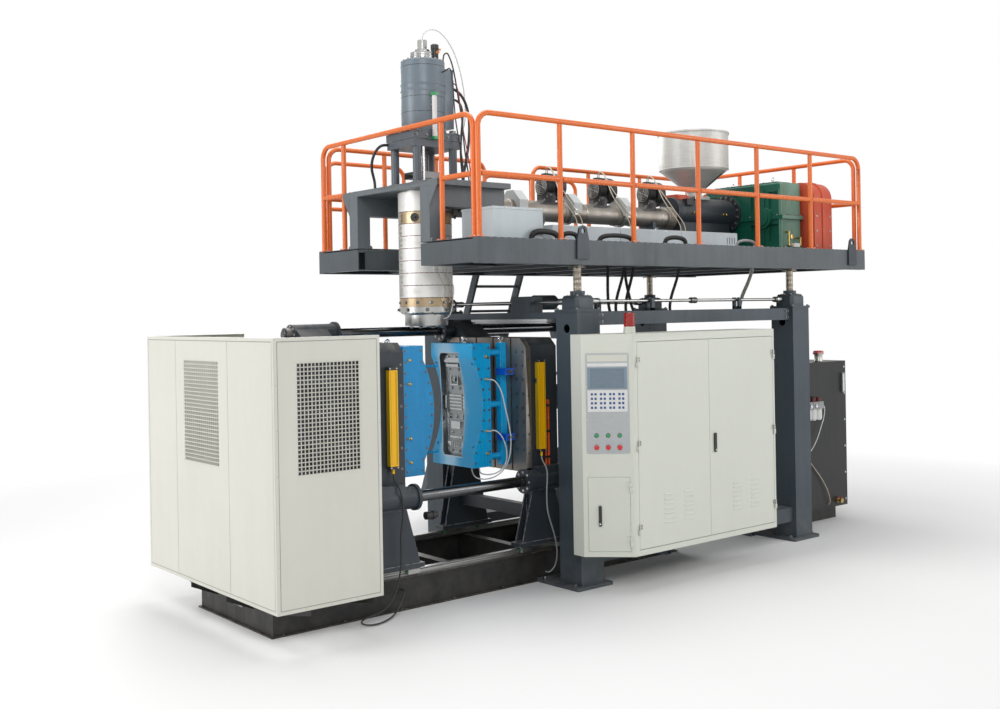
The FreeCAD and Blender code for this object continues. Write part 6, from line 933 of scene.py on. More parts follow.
def grown(name, tree_name, start, finish_name, body, slot=None, **inputs):
    """A plain piece from what a Geometry Nodes tree makes of a starting mesh or curve."""
    if tree_name not in GROUPS:
        GROUPS[tree_name] = GEOMETRY_TREES[tree_name]()
    source = bpy.data.objects.new(name + "_source", start)
    bpy.context.scene.collection.objects.link(source)
    modifier = source.modifiers.new(name, "NODES")
    modifier.node_group = GROUPS[tree_name]
    inputs["Material"] = finish(finish_name)
    for socket in GROUPS[tree_name].interface.items_tree:
        if socket.in_out == "INPUT" and socket.name in inputs:
            modifier[socket.identifier] = inputs[socket.name]
    mesh = bpy.data.meshes.new_from_object(source.evaluated_get(bpy.context.evaluated_depsgraph_get()))
    bpy.data.objects.remove(source)
    return shown_piece(name, mesh, finish_name, body, slot)


def points_mesh(places):
    """Loose points with the way that each faces, from (place, facing) pairs."""
    mesh = bpy.data.meshes.new("points")
    mesh.from_pydata([place for place, _ in places], [], [])
    ways = mesh.attributes.new("facing", "FLOAT_VECTOR", "POINT")
    for item, (_, way) in zip(ways.data, places):
        item.vector = way
    return mesh


def bolts(name, places, body, radius=None, finish_name="zinc", sides=6, height=0.9):
    """Bolt heads at (place, facing) pairs. The height is a share of the radius."""
    radius = sizes().bolt_radius if radius is None else radius * MM
    return grown(name, "bolt heads", points_mesh(places), finish_name, body, Radius=radius, Height=radius * height,
                 Sides=sides)


def screws(name, places, body, finish_name="zinc"):
    """Small round sheet metal screws."""
    return bolts(name, places, body, sizes().screw_radius / MM, finish_name, 12, 0.6)


def blocks(name, places, finish_name, body, size, turn=0.0, taper=1.0):
    """Blocks at points in millimetres, with their size in millimetres and their turn about Z in degrees."""
    return grown(name, "blocks", points_mesh([(at(*place), Vector()) for place in places]), finish_name, body,
                 Size=at(*size), Turn=Vector((0, 0, math.radians(turn))), Taper=taper)


# ---------------------------------------------------------------- cords

DECK_UNDERSIDE = 3113.7
BEAM_INNER_Y = -930
# Share of the way along X, distance from the beam's inner face and height.
DROP_POINTS = ((0, 130, DECK_UNDERSIDE), (0, 129.5, 2990), (0.12, 133, 2860), (0.36, 140, 2740), (0.66, 141, 2630),
               (0.86, 134, 2530), (0.97, 110, 2455), (1, 62, 2405.6), (1, 0.3, 2405))


def drop_route(top_x, bottom_x, behind):
    """Points of a hose that hangs from the deck into the inside of the near beam."""
    route = [(top_x + (bottom_x - top_x) * share, BEAM_INNER_Y + y + behind, z) for share, y, z in DROP_POINTS]
    return route[:-1] + [(route[-1][0], route[-1][1] - behind, route[-1][2])]


# Name, CAD node, finish, radius, length in metres, pitch of its rings or 0, and the points of its route.
CORDS = (
    ("left_curtain_lead", "curtain_cable_left", "black", 7, 2.195, 0, (
        (-825, -637, 1152), (-825, -639, 1118), (-824, -684, 1074), (-818, -724, 1028), (-808, -739, 960),
        (-800, -738, 880), (-799, -728, 780), (-815, -712, 630), (-803, -706, 470), (-822, -706, 310),
        (-868, -714, 180), (-945, -728, 92), (-1045, -742, 50), (-1150, -754, 44), (-1232, -772, 34),
        (-1282, -818, 24), (-1262, -876, 16), (-1188, -898, 13), (-1095, -872, 13), (-1000, -824, 15),
        (-915, -772, 30), (-845, -730, 75), (-795, -706, 130), (-769, -686, 170), (-765.3, -664, 177.8),
        (-765, -640.3, 178))),
    ("right_curtain_lead", "curtain_cable_right", "grey cable", 7, 1.209, 0, (
        (825, -637, 1152), (825, -639, 1118), (823, -684, 1074), (814, -724, 1028), (803, -739, 960),
        (795, -738, 880), (800, -728, 790), (815, -712, 690), (842, -706, 590), (888, -703, 480), (925, -708, 350),
        (938, -708, 230), (920, -704, 140), (884, -696, 92), (852, -684, 74), (848.3, -664, 72), (848, -640.3, 72))),
    ("tank_air_hose", "air_hoses", "beige cable", 5, 1.492, 0, (
        (4612.7, -830, 1375), (4545, -832, 1372), (4490, -828, 1320), (4455, -822, 1235), (4462, -818, 1130),
        (4510, -812, 1020), (4575, -806, 915), (4655, -800, 810), (4750, -800, 710), (4850, -800, 615),
        (4945, -802, 520), (5020, -806, 420), (5070, -810, 330), (5090, -811, 262), (5094, -806, 224),
        (5095, -793, 205.3), (5095, -780.3, 205))),
    ("frame_air_hose", "air_hoses", "white tube", 5, 1.189, 0, (
        (4907.3, -830, 1375), (4958, -830.4, 1374), (4994, -828, 1318), (4980, -822, 1210), (4925, -818, 1110),
        (4850, -836, 1020), (4770, -845, 930), (4680, -845, 850), (4580, -842, 790), (4480, -840, 740),
        (4390, -848, 708), (4320, -872, 692), (4278, -912, 690), (4235.3, -914, 690))),
    ("drop_hose_1", "platform_hoses", "rubber", 16, 0.789, 12, drop_route(1570, 1574, 0)),
    ("drop_hose_2", "platform_hoses", "rubber", 16, 0.813, 12, drop_route(1805, 1645, 0)),
    ("drop_hose_3", "platform_hoses", "rubber", 16, 0.810, 12, drop_route(1933, 1782, 0)),
    ("drop_hose_4", "platform_hoses", "rubber", 16, 0.852, 12, drop_route(1838, 1955, 50)),
    ("drop_hose_5", "platform_hoses", "rubber", 16, 0.823, 12, drop_route(2600, 2409, 0)),
    ("lamp_conduit", "platform_hoses", "zinc", 20, 0.855, 9, drop_route(3775, 3502, 0)),
    ("head_hose_1", "platform_hoses", "black", 13, 1.061, 0, (
        (256.3, -50, 4600), (306, -50.6, 4599.2), (385, -62, 4560), (440, -78, 4470), (466, -86, 4360),
        (472, -88, 4230), (460, -86, 4080), (430, -80, 3920), (404, -76, 3800), (394, -75, 3720), (393, -75, 3660.3))),
    ("head_hose_2", "platform_hoses", "black", 11, 0.889, 0, (
        (256.3, -110, 4480), (300, -110.6, 4479.2), (344, -116, 4448), (364, -121, 4385), (362, -126, 4300),
        (344, -130, 4180), (324, -138, 4050), (318, -148, 3920), (328, -154, 3790), (330, -155, 3660.3))),
    ("yoke_hose", "platform_hoses", "black", 13, 0.506, 0, (
        (-266.3, 200, 4050), (-318, 200, 4050), (-357, 216, 4024), (-381, 246, 3975), (-387, 285, 3905),
        (-370, 318, 3830), (-340, 336, 3768), (-319, 344.6, 3715), (-318, 345, 3660.3))),
    ("head_drain_tube", "platform_hoses", "white tube", 6, 1.458, 0, (
        (0, 0, 5019.3), (2, 0, 5064), (45, -4, 5112), (120, -8, 5140), (205, -12, 5118), (285, -16, 5050),
        (350, -20, 4960), (400, -24, 4840), (438, -26, 4710), (462, -28, 4570), (472, -30, 4430), (462, -34, 4310),
        (425, -42, 4210), (370, -56, 4140), (322, -69.3, 4105.5), (272.3, -70, 4105))),
)


def cord_line(name, points):
    """A smooth open curve with the route's points as its control points."""
    curve = bpy.data.curves.new(name, "CURVE")
    curve.dimensions = "3D"
    curve.resolution_u = 10
    spline = curve.splines.new("NURBS")
    spline.points.add(len(points) - 1)
    for knot, point in zip(spline.points, points):
        knot.co = (*at(*point), 1)
    spline.order_u = 3
    spline.use_endpoint_u = True
    return curve


def line_points(curve):
    """Points that a smooth curve passes through."""
    probe = bpy.data.objects.new("probe", curve)
    line = bpy.data.meshes.new_from_object(probe)
    found = [vertex.co.copy() for vertex in line.vertices]
    bpy.data.objects.remove(probe)
    bpy.data.meshes.remove(line)
    return found


def smooth_cord(name, curve, finish_name, radius, body, slot=None):
    """A round cord along a curve."""
    curve.bevel_depth, curve.bevel_resolution, curve.use_fill_caps = radius * MM, 4, True
    cord = bpy.data.objects.new(name, curve)
    bpy.context.scene.collection.objects.link(cord)
    curve.materials.append(finish(finish_name))
    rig.ride(cord, body)
    if slot:
        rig.slot(cord, slot)
    return cord


def hang(name, points, radius, finish_name, body, slot=None, node=None, pitch=0, groove=0.8, length=None,
         stiffness="medium"):
    """A free cord, smooth or ringed, with its length along the curve unless the record gives it."""
    curve = cord_line(name, points)
    route = line_points(curve)
    if pitch:
        cord = grown(name, "corrugation", curve, finish_name, body, slot, Radius=radius * MM, Pitch=pitch * MM,
                     Groove=groove)
    else:
        cord = smooth_cord(name, curve, finish_name, radius, body, slot)
    if node:
        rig.replaces(cord, node)
    if length is None:
        length = round(sum((b - a).length for a, b in zip(route, route[1:])), 3)
    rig.cord(cord, exit=at(*points[0]), length=length, diameter=2 * radius * MM, far_end="object",
            stiffness=stiffness, lay="hanging", path=route if pitch else None)


class MACHINE_OT_cords(bpy.types.Operator):
    """Cables and hoses that hang free, smooth or corrugated"""
    bl_idname = "machine.cords"
    bl_label = "Cords"

    def execute(self, context):
        for name, node, finish_name, radius, length, pitch, points in CORDS:
            hang(name, points, radius, finish_name, BODY_OF[node], SLOT_OF[node], node, pitch, 0.78, length,
                 "medium" if radius < 10 else "stiff")
        return {"FINISHED"}


# ---------------------------------------------------------------- CAD nodes with their finishes

SHEET_EDGE = 0.0015


def heights(low, high):
    """A box that holds everything between two heights."""
    return ANYWHERE, ANYWHERE, (low, high)


NODE_FINISHES = {
    "base_frame": "base", "guide_rails": "steel", "frame_columns": "frame", "frame_beams": "frame",
    "cabinet_shell": "cream", "operator_panel": "aluminium", "beacon": "red lens",
    "oil_tank": "tank", "jack_gearboxes": "frame", "left_platen": "platen", "right_platen": "platen",
    "tie_bars": "tie bar", "rear_plate": "platen", "left_mould": "deep blue", "right_mould": "mould blue",
    "left_carriage": "platen", "right_carriage": "platen", "left_light_curtain": "yellow",
    "right_light_curtain": "yellow", "right_mould_plate": "plate", "mould_clamps": "clamp blue",
    "clamp_rod": "chrome", "platform_frame": "platform", "guard_rails": "rail", "ladder": "platform",
    "jack_screws": "screw steel", "head_gantry": "gantry", "deck_boxes": "box", "barrel": "jacket",
    "blowers": "blower", "feed_throat": "platen", "hopper": "stainless", "gearbox": "green",
    "belt_guard": "coral", "drive_motor": "motor", "die_head": "steel", "heater_bands": "band",
    "head_yoke": "yoke", "accumulator_cylinder": "cylinder", "accumulator_ram": "dark steel",
    "lift_shaft_cross": "steel", "lift_shaft_near": "steel", "lift_shaft_far": "steel",
    "cabinet_door_left": "cream", "cabinet_door_right": "cream", "door_handle": "black",
    "service_door": "cream", "service_door_handle": "black",
}
# Solids of a node that wear another finish: label, finish and the box that holds their centres.
NODE_PARTS = {
    "barrel": (("hoods", "hood", heights(3560, 3700)),
               ("stands", "frame", heights(3120, 3400))),
    "beacon": (("base", "cream", heights(2280, 2340)),),
    "oil_tank": (("feet", "base", heights(0, 100)),
                 ("breather", "zinc", heights(1860, 1990)),
                 ("gauge_plate", "aluminium", ((5385, 5430), ANYWHERE, ANYWHERE)),
                 ("air_unit", "grey plastic", (ANYWHERE, (-880, -790), ANYWHERE))),
    "heater_bands": (("port_band", "bronze", heights(3320, 3400)),
                     ("clamp_ring", "bronze", heights(2560, 2620)),
                     ("foot_ring", "steel", heights(2500, 2548))),
    "tie_bars": (("end_nuts", "dark steel", ((-1130, -1080), ANYWHERE, ANYWHERE)),
                 ("rear_nuts", "dark steel", ((2255, 2305), ANYWHERE, ANYWHERE))),
    "rear_plate": (("cylinder", "cylinder", ((1700, 1900), ANYWHERE, (1500, 1750))),
                   ("blocks", "steel", heights(287, 336))),
    "left_carriage": (("blocks", "steel", heights(287, 336)),),
    "right_carriage": (("blocks", "steel", heights(287, 336)),),
    "left_mould": (("mould", "deep blue", ((-400, -200), ANYWHERE, ANYWHERE)),
                   ("straps", "clamp blue", (ANYWHERE, (-400, -320), ANYWHERE)),
                   ("far_straps", "clamp blue", (ANYWHERE, (320, 400), ANYWHERE))),
    "platform_frame": (("deck", "deck", heights(3114, 3121)),
                       ("lugs", "platen", (ANYWHERE, (-1236, -1216), ANYWHERE)),
                       ("far_lugs", "platen", (ANYWHERE, (1366, 1386), ANYWHERE))),
    "operator_panel": (("screen", "screen", heights(1850, 1930)),
                       ("keypad", "white plastic", heights(1680, 1710))),
}
MOULD_MIDDLE = 1630
PARTING_RADIUS = 940.04
PARTING_CENTRE = -553.04
PARTING_HALF_HEIGHT = 445
PARTING_EDGE_X = 275.0
CAVITY_FLOOR = 45
CAVITY_Z = (1130, 2130)
PARTING_Z = (1056, 2204)
CLAMP_MIDDLE_Z = 1625
MOULD_SIDE_Y = 320
MOULD_TOP = 2205


def parting_x(z, side=1):
    """Place of a mould's parting face at a height, the right one for side 1 and the left one for -1."""
    x, rise = PARTING_EDGE_X, z - MOULD_MIDDLE
    if abs(rise) <= PARTING_HALF_HEIGHT:
        x = PARTING_CENTRE + math.sqrt(PARTING_RADIUS ** 2 - rise ** 2)
    return x if side > 0 else x - 2 * PARTING_EDGE_X


def cavity_span(z):
    """Near and far edge of the bowed cavity at a height."""
    t = (z - MOULD_MIDDLE) / 480
    return -40 - 90 * t * t + 18 * t, 310 - 162 * t * t + 18 * t


def on_parting(x, y, z, side):
    """Whether a point lies on the parting face of a mould, away from its outer sides."""
    return abs(x - parting_x(z, side)) < 9 and abs(y) < MOULD_SIDE_Y - 1 and PARTING_Z[0] < z < PARTING_Z[1]


def in_cavity(x, y, z, side):
    """Whether a point lies on the walls or the floor of a mould's cavity."""
    low, high = cavity_span(z)
    depth = side * (x - parting_x(z, side))
    return low - 25 < y < high + 25 and CAVITY_Z[0] < z < CAVITY_Z[1] and 4 < depth < 60


def mould_faces(side):
    """Finishes of a mould's inner faces, with the test that each face meets."""
    return tuple((name, lambda x, y, z, test=test: test(x, y, z, side))
                 for name, test in (("parting", on_parting), ("cavity", in_cavity)))


# Faces of a node that wear another finish: finish, and the box or the test that their centres meet.
FACE_FINISHES = {
    "left_mould": mould_faces(-1),
    "right_mould": mould_faces(1),
    "oil_tank": (("white plastic", ((4600, 4920), (-880, -781), (1195, 1328))),
                 ("dark red", ((4600, 4920), (-880, -781), (1412, 1470))),
                 ("red plastic", ((4990, 5140), ANYWHERE, (1950, 1990)))),
    "cabinet_door_left": (("zinc", ((1080, 1130), (-1642, -1623), ANYWHERE)),),
    "cabinet_door_right": (("zinc", ((2962, 3010), (-1642, -1623), ANYWHERE)),),
    "cabinet_shell": (("zinc", ((1040, 1083), (-1642, -1623), ANYWHERE)),
                      ("zinc", ((3008, 3026), (-1642, -1623), ANYWHERE))),
    # Painted highlight: the near end faces of the gearbox wear a paler green for the light that they reflect.
    "gearbox": (("gearbox highlight green", (ANYWHERE, (-830, -735), ANYWHERE)),),
    "accumulator_cylinder": (("steel", heights(4822, 5030)),),
    "feed_throat": (("steel", ((3600, 3910), ANYWHERE, (3716, 3760))),),
}
CASTINGS = ("left_platen", "right_platen", "rear_plate", "left_mould", "right_mould", "gearbox", "left_light_curtain",
            "right_light_curtain", "jack_gearboxes", "head_yoke", "feed_throat")
SHEET_METAL = ("deck_boxes", "cabinet_door_left", "cabinet_door_right", "service_door", "belt_guard", "head_gantry",
               "mould_clamps", "left_carriage", "right_carriage")


class MACHINE_OT_finishes(bpy.types.Operator):
    """Every CAD piece, smoothed, with broken edges and its own finish"""
    bl_idname = "machine.finishes"
    bl_label = "Finishes"

    def execute(self, context):
        edges = {node: sizes().edge for node in CASTINGS} | {node: SHEET_EDGE for node in SHEET_METAL}
        for node, finish_name in NODE_FINISHES.items():
            dressed(node, finish_name, edges.get(node, 0.0), NODE_PARTS.get(node, ()), FACE_FINISHES.get(node, ()))
        for index in (1, 2, 3):
            dressed(f"start_button_{index}", "green plastic")
            dressed(f"stop_button_{index}", "red plastic")
        return {"FINISHED"}


# ---------------------------------------------------------------- clamp cover

COVER_Z = (312, 2330)
COVER_X = (-2200, -1285)
COVER_Y = (-1160, 1160)
VENT_Z = (1310, 2140)
SIDE_VENT_X = (-2012, -1472)
END_VENT_Y = (-242, 398)
END_SEAMS = (-410, 560)


def add_frame(bm, outer, inner, push):
    """A flat plate with a window: two loops of corners in the same order, pushed by a thickness."""
    loops = [[bm.verts.new(at(*c) + at(*push) * level) for c in loop] for level in (0, 1) for loop in (outer, inner)]
    for a, b in ((loops[0], loops[1]), (loops[2], loops[3]), (loops[0], loops[2]), (loops[1], loops[3])):
        for k in range(len(a)):
            n = (k + 1) % len(a)
            bm.faces.new([a[k], a[n], b[n], b[k]])


def loop_xz(x, y, z):
    return [(x[0], y, z[0]), (x[1], y, z[0]), (x[1], y, z[1]), (x[0], y, z[1])]


def loop_yz(x, y, z):
    return [(x, y[0], z[0]), (x, y[1], z[0]), (x, y[1], z[1]), (x, y[0], z[1])]


def inset(span, margin):
    return span[0] + margin, span[1] - margin


def cover_sheet(name, bm, finish_name="cover white"):
    """A piece of the clamp cover, from its loose sheets."""
    bmesh.ops.remove_doubles(bm, verts=bm.verts, dist=MERGE_DISTANCE)
    bmesh.ops.recalc_face_normals(bm, faces=bm.faces)
    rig.replaces(from_bmesh(name, bm, finish_name, "base", 0.0, SLOT_OF["clamp_cover"]), "clamp_cover")


class MACHINE_OT_cover(bpy.types.Operator):
    """Sheet walls of the clamp end with their raised doors, seams and square-holed vents"""
    bl_idname = "machine.cover"
    bl_label = "Clamp cover"

    def execute(self, context):
        self.near_wall()
        self.far_wall()
        self.end_wall()
        self.seams()
        self.vents()
        self.fasteners()
        return {"FINISHED"}

    def folds(self, bm, x, y, z):
        """Edges of a sheet wall along X, folded inwards at the top, the foot and the free end."""
        add_box(bm, at(x[0], y[0], z[1] - 3), at(x[1], y[1], z[1]))
        add_box(bm, at(x[0], y[0], z[0]), at(x[1], y[1], z[0] + 3))
        add_box(bm, at(x[1] - 3, y[0], z[0] + 3), at(x[1], y[1], z[1] - 3))

    def near_wall(self):
        x, front = (COVER_X[0] + 3, COVER_X[1]), COVER_Y[0]
        bm = bmesh.new()
        add_frame(bm, loop_xz(x, front, COVER_Z), loop_xz(SIDE_VENT_X, front, VENT_Z), (0, 3, 0))
        self.folds(bm, x, (front + 3, front + 40), COVER_Z)
        add_frame(bm, loop_xz(x, front - 2, COVER_Z), loop_xz(inset(x, 24), front - 2, inset(COVER_Z, 26)), (0, 2, 0))
        leaf = loop_xz(inset(x, 30), front - 2, inset(COVER_Z, 32))
        add_frame(bm, leaf, loop_xz(inset(SIDE_VENT_X, -14), front - 2, inset(VENT_Z, -14)), (0, 2, 0))
        cover_sheet("cover_near_wall", bm)

    def far_wall(self):
        x, back = (COVER_X[0] + 3, COVER_X[1]), COVER_Y[1]
        bm = bmesh.new()
        add_box(bm, at(x[0], back - 3, COVER_Z[0]), at(x[1], back, COVER_Z[1]))
        self.folds(bm, x, (back - 40, back - 3), COVER_Z)
        add_box(bm, at(x[0] + 26, back, COVER_Z[0] + 28), at(x[1] - 26, back + 2, COVER_Z[1] - 28))
        cover_sheet("cover_far_wall", bm)

    def end_wall(self):
        face = COVER_X[0]
        bm = bmesh.new()
        add_frame(bm, loop_yz(face + 2, COVER_Y, COVER_Z), loop_yz(face + 2, END_VENT_Y, VENT_Z), (2.5, 0, 0))
        for z in (COVER_Z[0], COVER_Z[1] - 3):
            add_box(bm, at(face + 4.5, COVER_Y[0] + 43, z), at(face + 40, COVER_Y[1] - 43, z + 3))
        add_frame(bm, loop_yz(face, COVER_Y, COVER_Z), loop_yz(face, inset(COVER_Y, 24), inset(COVER_Z, 26)), (2, 0, 0))
        for span in ((COVER_Y[0] + 30, END_SEAMS[0] - 3), (END_SEAMS[1] + 3, COVER_Y[1] - 30)):
            add_box(bm, at(face, span[0], COVER_Z[0] + 32), at(face + 2, span[1], COVER_Z[1] - 32))
        middle = (END_SEAMS[0] + 3, END_SEAMS[1] - 3)
        add_frame(bm, loop_yz(face, middle, inset(COVER_Z, 32)),
                  loop_yz(face, inset(END_VENT_Y, -14), inset(VENT_Z, -14)),
                  (2, 0, 0))
        cover_sheet("cover_end_wall", bm)

    def seams(self):
        """Painted shade: dark strips laid over the gaps between the panels."""
        x, front, face = (COVER_X[0] + 3, COVER_X[1]), COVER_Y[0] - 0.4, COVER_X[0] + 1.6
        outer, inner = inset(COVER_Z, 25), inset(COVER_Z, 33)
        bm = bmesh.new()
        add_frame(bm, loop_xz(inset(x, 23), front, outer), loop_xz(inset(x, 31), front, inner), (0, 0.3, 0))
        add_frame(bm, loop_yz(face, inset(COVER_Y, 23), outer), loop_yz(face, inset(COVER_Y, 31), inner), (0.3, 0, 0))
        for y in END_SEAMS:
            add_box(bm, at(face, y - 3.5, COVER_Z[0] + 33), at(face + 0.3, y + 3.5, COVER_Z[1] - 33))
        cover_sheet("cover_seams", bm, "seam shade")

    def vents(self):
        walls = (("cover_side_vent", SIDE_VENT_X, ((SIDE_VENT_X[0] + SIDE_VENT_X[1]) / 2, COVER_Y[0] + 1.5), 0.0),
                 ("cover_end_vent", END_VENT_Y, (COVER_X[0] + 3.5, (END_VENT_Y[0] + END_VENT_Y[1]) / 2), 90.0))
        for name, span, (x, y), turn in walls:
            grown(name, "vent grid", points_mesh([(at(x, y, (VENT_Z[0] + VENT_Z[1]) / 2), Vector())]), "cover white",
                  "base", SLOT_OF["clamp_cover"], Width=(span[1] - span[0]) * MM, Height=(VENT_Z[1] - VENT_Z[0]) * MM,
                  Columns=sizes().vent_columns, Rows=sizes().vent_rows, Bar=sizes().vent_bar, Depth=2.4 * MM,
                  Turn=Vector((0, 0, math.radians(turn))))

    def fasteners(self):
        x, z = inset((COVER_X[0] + 3, COVER_X[1]), 13), inset(COVER_Z, 14)
        near = [(px, COVER_Y[0], pz) for px in x for pz in evenly(*z, 7)]
        near += [(px, COVER_Y[0], pz) for px in evenly(*x, 5)[1:-1] for pz in z]
        far = [(px, COVER_Y[1], pz) for px, _, pz in near]
        screws("cover_screws", facing(NEAR, *near) + facing(FAR, *far), "base")


# ---------------------------------------------------------------- control cabinet

OPERATOR_TURN = math.radians(-44.5517)
OPERATOR_OUT = (math.sin(OPERATOR_TURN), -math.cos(OPERATOR_TURN), 0)
OPERATOR_CENTRE = (881, -1461.5)
PANEL_TOP = 2115
SCREEN_Z = (1800, 1990)
KEYPAD_Z = (1602, 1792)
PANEL_HALF = 190
BUTTON_PLACES = [(u, z) for z in (1395, 1290) for u in (-101, 0, 101)]


def on_operator_face(u, v, z):
    """A point on the slanted face: u along it, v out of it."""
    along_u = (math.cos(OPERATOR_TURN), math.sin(OPERATOR_TURN))
    return tuple(OPERATOR_CENTRE[k] + u * along_u[k] + v * OPERATOR_OUT[k] for k in (0, 1)) + (z,)


def add_face_box(bm, u, v, z):
    """A box on the slanted face, from spans along it, out of it and up it."""
    low, high = Vector((u[0], -v[1], z[0])), Vector((u[1], -v[0], z[1]))
    centre = (low + high) / 2
    place_on = at(*on_operator_face(centre.x, -centre.y, centre.z))
    turned = Matrix.Translation(place_on) @ Matrix.Rotation(OPERATOR_TURN, 4, "Z")
    bmesh.ops.create_cube(bm, size=1, matrix=turned @ Matrix.Diagonal((*((high - low) * MM), 1)))


PLATE_FACE_Y = -1176
DOOR_FACE_Y = -1632
DUCT_HEIGHTS = (490, 1026.7, 1563.3, 2100)
BANK_HEIGHTS = (758.3, 1295, 1831.7)
BANK_PLACES = (1328.3, 2033.5, 2738.7)
DRIVE_PLACES = (1680.9, 2386.1)


class MACHINE_OT_cabinet(bpy.types.Operator):
    """Screen surround, keys, button collars, locks, glands and switchgear of the control cabinet"""
    bl_idname = "machine.cabinet"
    bl_label = "Control cabinet"

    def execute(self, context):
        self.panel()
        self.collars()
        self.hardware()
        self.switchgear()
        return {"FINISHED"}

    def panel(self):
        edge = PANEL_HALF - 16
        bezel = bmesh.new()
        for u, z in (((-edge, edge), (SCREEN_Z[1] - 12, SCREEN_Z[1])), ((-edge, edge), (SCREEN_Z[0], SCREEN_Z[0] + 12)),
                     ((-edge, -edge + 26), inset(SCREEN_Z, 12)), ((edge - 26, edge), inset(SCREEN_Z, 12))):
            add_face_box(bezel, u, (6, 9), z)
        from_bmesh("screen_surround", bezel, "screen surround", "base", 0.0008)
        white = bmesh.new()
        add_face_box(white, (-edge, edge), (4, 5.5), (SCREEN_Z[1] + 10, SCREEN_Z[1] + 36))
        from_bmesh("white_strip", white, "white plastic", "base", 0.0005)
        header = bmesh.new()
        add_face_box(header, (-edge, edge), (4, 4.8), (SCREEN_Z[1] + 52, PANEL_TOP - 16))
        from_bmesh("bare_header", header, "cover white", "base", 0.0004)
        pairs = [-132, -100, -52, -20, 28, 60, 108, 140]
        rows = evenly(KEYPAD_Z[0] + 36, KEYPAD_Z[1] - 36, 4)
        keys = [on_operator_face(u - 4, 6, z) for u in pairs for z in rows]
        blocks("membrane_keys", [(x, y, z - 10) for x, y, z in keys], "key blue", "base", (20, 4, 20),
               math.degrees(OPERATOR_TURN), 0.94)
        rim = bmesh.new()
        for u, z in (((-edge, edge), (KEYPAD_Z[1] - 5, KEYPAD_Z[1])), ((-edge, edge), (KEYPAD_Z[0], KEYPAD_Z[0] + 5)),
                     ((-edge, -edge + 5), inset(KEYPAD_Z, 5)), ((edge - 5, edge), inset(KEYPAD_Z, 5))):
            add_face_box(rim, u, (6, 7.5), z)
        from_bmesh("keypad_rim", rim, "white plastic", "base", 0.0005)
        corners = [on_operator_face(u, 4, z) for u in (-PANEL_HALF + 9, PANEL_HALF - 9)
                   for z in (1243, 1530, 1820, 2107)]
        screws("panel_screws", facing(OPERATOR_OUT, *corners), "base")

    def collars(self):
        profile = [(11, 0), (21, 0), (21, 3), (17, 6), (11, 6), (11, 0)]
        rings = [(on_operator_face(u, 4, z), OPERATOR_OUT, profile) for u, z in BUTTON_PLACES]
        fitting("button_collars", "dark steel", "base", turned=rings)
        plates = bmesh.new()
        for u, z in BUTTON_PLACES:
            add_face_box(plates, (u - 26, u + 26), (4, 4.8), (z + 34, z + 46))
        from_bmesh("bare_button_plates", plates, "aluminium", "base", 0.0004)

    def hardware(self):
        lock = [(0, 0), (8, 0), (8, 2.5), (3, 2.5), (3, 1), (0, 1)]
        fitting("door_lock", "chrome", "right_door_handle", turned=[((2116, -1636, 1172), NEAR, lock)])
        fitting("service_lock", "chrome", "side_door_handle",
                turned=[(on_operator_face(-81, 16, 620), OPERATOR_OUT, lock)])
        for name, x, body in (("left_hinge_screws", 1108, "left_door"), ("right_hinge_screws", 2985, "right_door")):
            places = [(x, DOOR_FACE_Y, z + dz) for z in (560, 1295, 2030) for dz in (14, 34)]
            screws(name, facing(NEAR, *places), body, "black")
        glands = [((x, -1260, 330), DOWN, [(0, 0), (17, 0), (17, 6), (14, 9), (14, 20), (9, 24), (0, 24)])
                  for x in evenly(1250, 2800, 9)]
        fitting("cabinet_glands", "black", "base", turned=glands)
        ribs = [((1232, -1400, z), UP, [(50, 0), (51.5, 2), (51.5, 5), (50, 7), (50, 0)])
                for z in evenly(2350, 2450, 7)]
        fitting("beacon_ribs", "red lens", "base", turned=ribs)

    def switchgear(self):
        """The plate behind the doors, with its slotted ducts, drives and banks of breakers and contactors."""
        y = PLATE_FACE_Y
        plate = fitting("mounting_plate", "zinc", "base", boxes=[((1092, y, 430), (2975, y + 3, 2160))])
        ducts = [((1152, y - 56, z - 29), (2915, y, z + 29)) for z in DUCT_HEIGHTS]
        lids = [((1152, y - 60, z - 30), (2915, y - 57, z + 30)) for z in DUCT_HEIGHTS]
        ducts = fitting("wiring_ducts", "grey plastic", "base", boxes=ducts + lids, edge=0.8)
        slots = [(x, y - 60.2, z + dz) for z in DUCT_HEIGHTS for dz in (-23, 23) for x in evenly(1165, 2902, 100)]
        # Painted shade: thin dark blocks stand for the shade inside the slots of the ducts.
        blocks("duct_slots", slots, "slot shade", "base", (6, 1, 9))
        cases, covers, pads, slots, screws_at = [], [], [], [], []
        for x in DRIVE_PLACES:
            for z in BANK_HEIGHTS:
                cases.append(((x - 140, y - 126, z - 110), (x + 140, y, z + 110)))
                covers.append(((x - 130, y - 138, z - 56), (x + 130, y - 126, z + 102)))
                pads.append(((x + 24, y - 140, z + 18), (x + 104, y - 138, z + 88)))
                slots += [(x + dx, y - 126.3, z - 83) for dx in evenly(-112, 112, 17)]
                screws_at += [(x + dx, y - 138, z + dz) for dx in (-118, 118) for dz in (-44, 90)]
        drives = fitting("drive_cases", "grey plastic", "base", boxes=cases, edge=3)
        fitting("drive_covers", "black", "base", boxes=covers, edge=2)
        fitting("drive_key_pads", "screen surround", "base", boxes=pads, edge=0.8)
